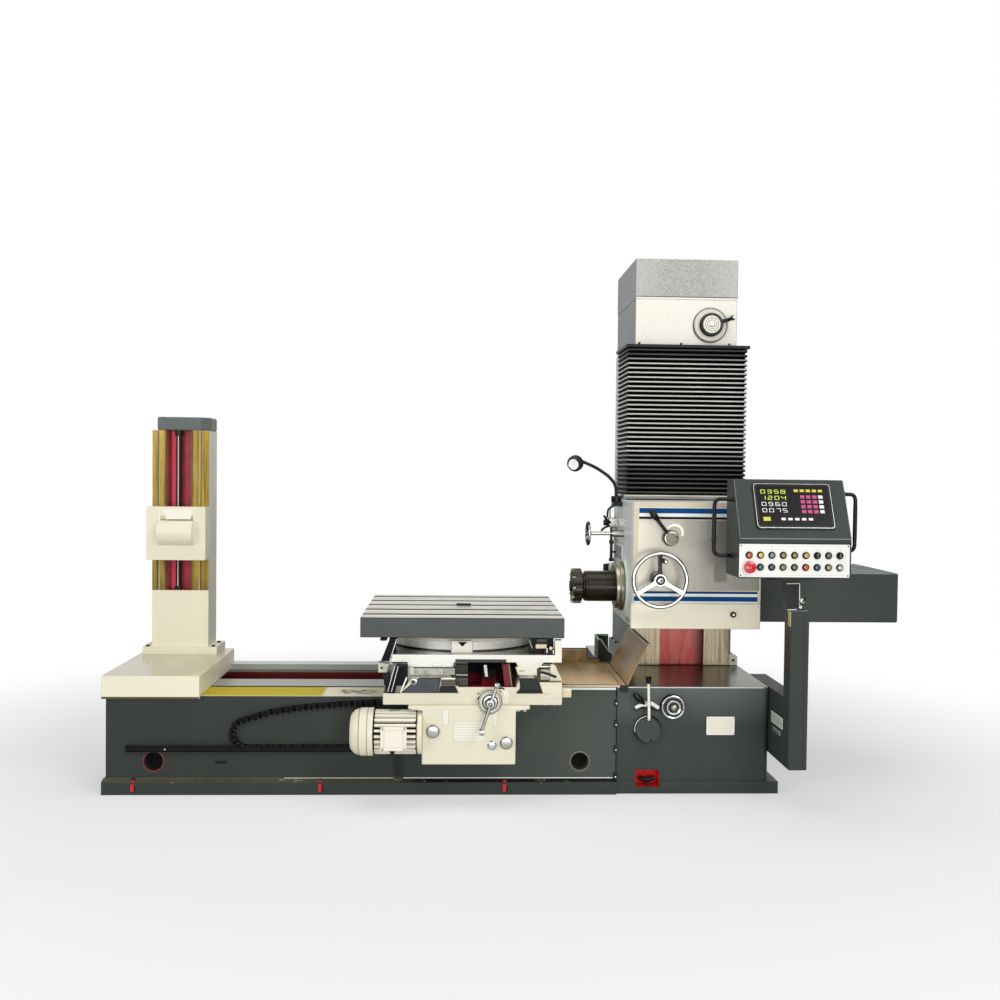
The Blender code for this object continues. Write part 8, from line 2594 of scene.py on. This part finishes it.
def button_panel():
    piece = Piece("pendant_button_panel", "pendant", "cream_paint")
    wall = PENDANT_FACE_Y
    piece.prism(
        round_box((1.283, 1.8060), (1.1412, 1.2960), 0.004), "Y", wall - 0.0022, wall - 0.0003, "white",
        0.0005
    )
    face = wall - 0.0022
    piece.screws((1.291, 1.798), (1.149, 1.288), 0.0036, face, -0.0020, "bolt")
    for z in (1.1500, 1.2860):
        piece.box((1.305, 1.785), (face - 0.0004, face + 0.0002), (z, z + 0.0012), "beige", 0.0)
    pitch = 0.0537
    for row, (z, tones) in enumerate(((1.244, UPPER_ROW), (1.188, LOWER_ROW))):
        for column, tone in enumerate(tones):
            x = 1.3290 + column * pitch
            if tone is None:
                stop = cap_colour("stop", (206, 26, 40))
                piece.lathe(
                    [
                        (face, 0.0), (face, 0.0200), (face - 0.006, 0.0190), (face - 0.007, 0.0130),
                        (face - 0.007, 0.0)
                    ],
                    "Y", (x + 0.001, 0.0, z), "plastic", 40, 0.0005
                )
                piece.lathe(
                    [
                        (face - 0.006, 0.0), (face - 0.006, 0.0120), (face - 0.014, 0.0130),
                        (face - 0.018, 0.0250), (face - 0.023, 0.0285), (face - 0.028, 0.0270),
                        (face - 0.031, 0.0200), (face - 0.032, 0.0080), (face - 0.032, 0.0)
                    ],
                    "Y", (x + 0.001, 0.0, z), stop, 56
                )
                piece.rim("Y", (x + 0.001, 0.0, z), 0.0090, 0.0012, face - 0.0322, "red_dark", 36, 8)
                continue
            colour = cap_colour(f"{row}_{column}", tone)
            piece.lathe(
                [
                    (face, 0.0), (face, 0.0175), (face - 0.003, 0.0172), (face - 0.0075, 0.0150),
                    (face - 0.0085, 0.0128), (face - 0.0060, 0.0112), (face - 0.0060, 0.0)
                ],
                "Y", (x, 0.0, z), "gloss", 40
            )
            flat = column in (6, 8) and row == 0
            if flat:
                piece.box(
                    (x - 0.0030, x + 0.0030), (face - 0.0160, face - 0.0055), (z - 0.0110, z + 0.0110),
                    colour, 0.0020
                )
                piece.drum("Y", (x, 0.0, z), 0.0100, face - 0.0100, face - 0.0055, "plastic", 0.0010, 28)
            else:
                piece.lathe(
                    [
                        (face - 0.0055, 0.0), (face - 0.0055, 0.0110), (face - 0.0100, 0.0108),
                        (face - 0.0118, 0.0090), (face - 0.0124, 0.0050), (face - 0.0125, 0.0)
                    ],
                    "Y", (x, 0.0, z), colour, 36
                )
            if row == 0:
                piece.drum(
                    "Y", (x + 0.002, 0.0, z + 0.0265), 0.0014, face - 0.0008, face + 0.0002, "hole", 0.0002,
                    10
                )
    piece.finish()


def pendant_details():
    piece = Piece("pendant_fittings", "pendant", "green_grey")
    # folded lip between the two faces
    piece.tube([(1.2855, -0.7212, 1.3212), (1.8145, -0.7212, 1.3212)], 0.0022, "pale_mid", 10)
    piece.box((1.2860, 1.8140), (-0.7212, -0.7185), (1.2985, 1.3020), "darker", 0.0006)
    # light edge round the sloping face
    place = slope_matrix()
    for x in (1.2868, 1.8132):
        piece.tube(
            [
                tuple(place @ Vector((x, 0.004, 0.0006))),
                tuple(place @ Vector((x, SLOPE_LONG - 0.004, 0.0006)))
            ],
            0.0012, "pale_mid", 8
        )
    # feet of the handles
    for x, z in ((1.2850, 1.232), (1.2850, 1.502), (1.8150, 1.258), (1.8150, 1.530)):
        side = -1 if x < 1.5 else 1
        piece.lathe(
            [
                (x, 0.0), (x, 0.0160), (x + side * 0.005, 0.0150), (x + side * 0.009, 0.0115),
                (x + side * 0.009, 0.0)
            ],
            "X", (0.0, -0.600, z), "plastic", 28, 0.0006
        )
    # back door with its hinges and lock
    piece.prism(round_box((1.305, 1.795), (1.160, 1.575), 0.008), "Y", -0.4700, -0.4672, "pendant", 0.0010)
    for z in (1.22, 1.50):
        piece.drum("Z", (1.3000, -0.4660, 0.0), 0.0055, z - 0.024, z + 0.024, "bolt", 0.0010, 16)
    piece.drum("Y", (1.775, 0.0, 1.370), 0.0090, -0.4672, -0.4630, "zinc", 0.0010, 24)
    # underside: cable gland and clamp of the swivel
    piece.lathe(
        [(1.1120, 0.0), (1.1120, 0.0130), (1.1180, 0.0160), (1.1345, 0.0160), (1.1345, 0.0)], "Z",
        (1.480, -0.560, 0.0), "plastic", 6, 0.0010
    )
    piece.box((1.5445, 1.6060), (-0.6112, -0.6092), (0.9760, 1.1000), "darker", 0.0008)
    piece.tube(
        [
            (1.5440, -0.6115, 1.1000), (1.6070, -0.6115, 1.1015), (1.6085, -0.6115, 0.9770),
            (1.5500, -0.6115, 0.9745)
        ],
        0.0022, "white", 8, 0.004
    )
    piece.drum("Y", (1.6180, 0.0, 1.0180), 0.0110, -0.6260, -0.5900, "zinc", 0.0015, 24)
    piece.tube([(1.6080, -0.6200, 1.0060), (1.6360, -0.6240, 1.0340)], 0.0055, "gloss", 12)
    piece.drum("Y", (1.6120, 0.0, 0.9880), 0.0080, -0.6220, -0.5900, "satin", 0.0010, 20)
    piece.finish()


def handles():
    for name, wall, out, low, high in (
        ("left", 1.285, 1.192, 1.232, 1.502),
        ("right", 1.815, 1.874, 1.258, 1.530),
    ):
        piece = Piece(f"pendant_grip_{name}", "pendant", "handle_cover", (f"pendant_handle_{name}",))
        side = -1 if out < wall else 1
        start = wall + side * 0.0003
        points = [(start, -0.600, low), (out, -0.600, low), (out, -0.600, high), (start, -0.600, high)]
        piece.tube(points, 0.0092, "gloss", 24, 0.034, 10)
        span = high - low
        sleeve_points = [(out, -0.600, low + span * 0.20), (out, -0.600, high - span * 0.20)]
        piece.tube(sleeve_points, 0.0100, "rubber", 24)
        piece.finish()


def post_details():
    piece = Piece("post_fittings", "frame", "green_grey")
    # painted highlight strip on the post's lit left edge, seam line at its right
    piece.box((1.5606, 1.5628), (-0.6285, -0.5900), (0.8950, 0.9690), "brass", 0.0006)
    piece.box((1.6290, 1.6302), (-0.6308, -0.6296), (0.2200, 0.9600), "darker", 0.0)
    piece.box((1.5640, 1.6500), (-0.6290, -0.5310), (0.9700, 0.9722), "pale_mid", 0.0008)
    # bare plate and latch on the bracket's left face
    face = 1.5623
    piece.box((face - 0.0030, face + 0.001), (-0.548, -0.352), (0.374, 0.440), "plastic", 0.0015)
    piece.box((face - 0.0040, face - 0.0028), (-0.543, -0.357), (0.379, 0.435), "white", 0.0006)
    piece.box((face - 0.0048, face - 0.0036), (-0.536, -0.364), (0.384, 0.430), "green_white", 0.0006)
    piece.box((face - 0.0060, face + 0.001), (-0.500, -0.390), (0.340, 0.362), "pale_mid", 0.0015)
    piece.box((face - 0.0064, face - 0.0050), (-0.492, -0.398), (0.345, 0.350), "hole", 0.0004)
    piece.finish()


for maker in (
    bed_details,
    drag_chain,
    chain_tray_details,
    base_details,
    back_panels,
    column_details,
    cover_crank,
    bellows,
    tray_details,
    head_front,
    head_edges,
    head_lower,
    foot_details,
    tail_box_details,
    nose_ring,
    sleeve,
    cutter,
    handwheel,
    speed_lever,
    base_lever,
    base_dial,
    side_wheel,
    lamp,
    saddle_details,
    left_guards,
    apron_details,
    motor,
    apron_crank,
    slide_details,
    turning_base,
    table_details,
    tail_details,
    tail_block_details,
    screen,
    button_panel,
    pendant_details,
    handles,
    post_details,
):
    maker()


# stage, light and camera
def stage():
    mesh = bpy.data.meshes.new("stage_floor")
    size = 60.0
    mesh.from_pydata(
        [(-size, -size, 0), (size, -size, 0), (size, size, 0), (-size, size, 0)], [], [(0, 1, 2, 3)]
    )
    floor = bpy.data.objects.new("stage_floor", mesh)
    floor.location = (0.0, 0.0, -0.0005)
    bpy.context.scene.collection.objects.link(floor)
    material = bpy.data.materials.new("stage_floor")
    material.use_nodes = True
    tree = material.node_tree
    tree.nodes.remove(tree.nodes["Principled BSDF"])
    output = tree.nodes["Material Output"]
    diffuse = tree.nodes.new("ShaderNodeBsdfDiffuse")
    diffuse.inputs[0].default_value = (0.86, 0.86, 0.86, 1.0)
    shine = tree.nodes.new("ShaderNodeEmission")
    shine.inputs[0].default_value = (1.0, 1.0, 1.0, 1.0)
    mixer = tree.nodes.new("ShaderNodeMixShader")
    place = tree.nodes.new("ShaderNodeTexCoord")
    length = tree.nodes.new("ShaderNodeVectorMath")
    length.operation = "LENGTH"
    spread = tree.nodes.new("ShaderNodeMapRange")
    spread.interpolation_type = "SMOOTHSTEP"
    spread.inputs["From Min"].default_value = 1.6
    spread.inputs["From Max"].default_value = 4.6
    spread.inputs["To Min"].default_value = 0.45
    spread.inputs["To Max"].default_value = 1.0
    path = tree.nodes.new("ShaderNodeLightPath")
    seen = tree.nodes.new("ShaderNodeMath")
    seen.operation = "MULTIPLY"
    tree.links.new(place.outputs["Object"], length.inputs[0])
    tree.links.new(length.outputs["Value"], spread.inputs["Value"])
    tree.links.new(spread.outputs["Result"], seen.inputs[0])
    tree.links.new(path.outputs["Is Camera Ray"], seen.inputs[1])
    tree.links.new(seen.outputs[0], mixer.inputs[0])
    tree.links.new(diffuse.outputs[0], mixer.inputs[1])
    tree.links.new(shine.outputs[0], mixer.inputs[2])
    tree.links.new(mixer.outputs[0], output.inputs[0])
    mesh.materials.append(material)


def world():
    made = bpy.data.worlds.new("studio")
    bpy.context.scene.world = made
    made.use_nodes = True
    tree = made.node_tree
    back = tree.nodes["Background"]
    back.inputs[0].default_value = (0.93, 0.95, 1.0, 1.0)
    back.inputs[1].default_value = 0.20
    white = tree.nodes.new("ShaderNodeBackground")
    white.inputs[0].default_value = (1.0, 1.0, 1.0, 1.0)
    white.inputs[1].default_value = 1.0
    path = tree.nodes.new("ShaderNodeLightPath")
    either = tree.nodes.new("ShaderNodeMath")
    either.operation = "MAXIMUM"
    more = tree.nodes.new("ShaderNodeMath")
    more.operation = "MAXIMUM"
    tree.links.new(path.outputs["Is Camera Ray"], either.inputs[0])
    tree.links.new(path.outputs["Is Glossy Ray"], either.inputs[1])
    tree.links.new(either.outputs[0], more.inputs[0])
    tree.links.new(path.outputs["Is Transmission Ray"], more.inputs[1])
    mixer = tree.nodes.new("ShaderNodeMixShader")
    tree.links.new(more.outputs[0], mixer.inputs[0])
    tree.links.new(back.outputs[0], mixer.inputs[1])
    tree.links.new(white.outputs[0], mixer.inputs[2])
    tree.links.new(mixer.outputs[0], tree.nodes["World Output"].inputs[0])


def lamp_area(name, place, target, size, power, colour=(1.0, 1.0, 1.0)):
    data = bpy.data.lights.new(name, "AREA")
    data.shape = "RECTANGLE"
    data.size, data.size_y = size
    data.energy = power
    data.color = colour
    made = bpy.data.objects.new(name, data)
    made.location = place
    made.rotation_euler = (Vector(target) - Vector(place)).to_track_quat("-Z", "Y").to_euler()
    bpy.context.scene.collection.objects.link(made)


CAMERA_PLACE = (-0.0425, -5.62, 1.61649)
CAMERA_DEGREES = (2.4033, 1.4938, 0.6658)
FOCAL_PX, FRAME_PX, SENSOR_MM = 1063.0, 1000.0, 36.0

def camera():
    """The photo's camera: turned to the right, tilted down and rolled a little."""
    yaw, pitch, roll = (math.radians(part) for part in CAMERA_DEGREES)
    place = Vector(CAMERA_PLACE)
    forward = Vector((math.sin(yaw) * math.cos(pitch), math.cos(yaw) * math.cos(pitch), -math.sin(pitch)))
    right = Vector((math.cos(yaw), -math.sin(yaw), 0.0))
    up = right.cross(forward)
    side = math.cos(roll) * right + math.sin(roll) * up
    top = -math.sin(roll) * right + math.cos(roll) * up
    data = bpy.data.cameras.new("photo_camera")
    data.sensor_fit = "HORIZONTAL"
    data.sensor_width = SENSOR_MM
    data.lens = FOCAL_PX / FRAME_PX * SENSOR_MM
    made = bpy.data.objects.new("photo_camera", data)
    made.matrix_world = Matrix.Translation(place) @ Matrix((side, top, -forward)).transposed().to_4x4()
    bpy.context.scene.collection.objects.link(made)
    bpy.context.scene.camera = made


stage()
world()
lamp_area("key_front_right", (3.4, -5.2, 4.2), (0.2, 0.0, 1.0), (3.2, 2.4), 136.0, (1.0, 0.985, 0.96))
lamp_area("fill_front_left", (-4.2, -4.2, 2.6), (-0.2, 0.0, 0.9), (2.6, 2.6), 104.0, (0.96, 0.98, 1.0))
lamp_area("low_front", (0.8, -6.4, 0.7), (0.3, 0.0, 0.8), (4.0, 1.2), 104.0)
lamp_area("top_soft", (0.0, -0.6, 5.2), (0.0, 0.0, 0.0), (4.6, 2.6), 95.0)
camera()
bpy.context.scene.view_settings.view_transform = "Standard"
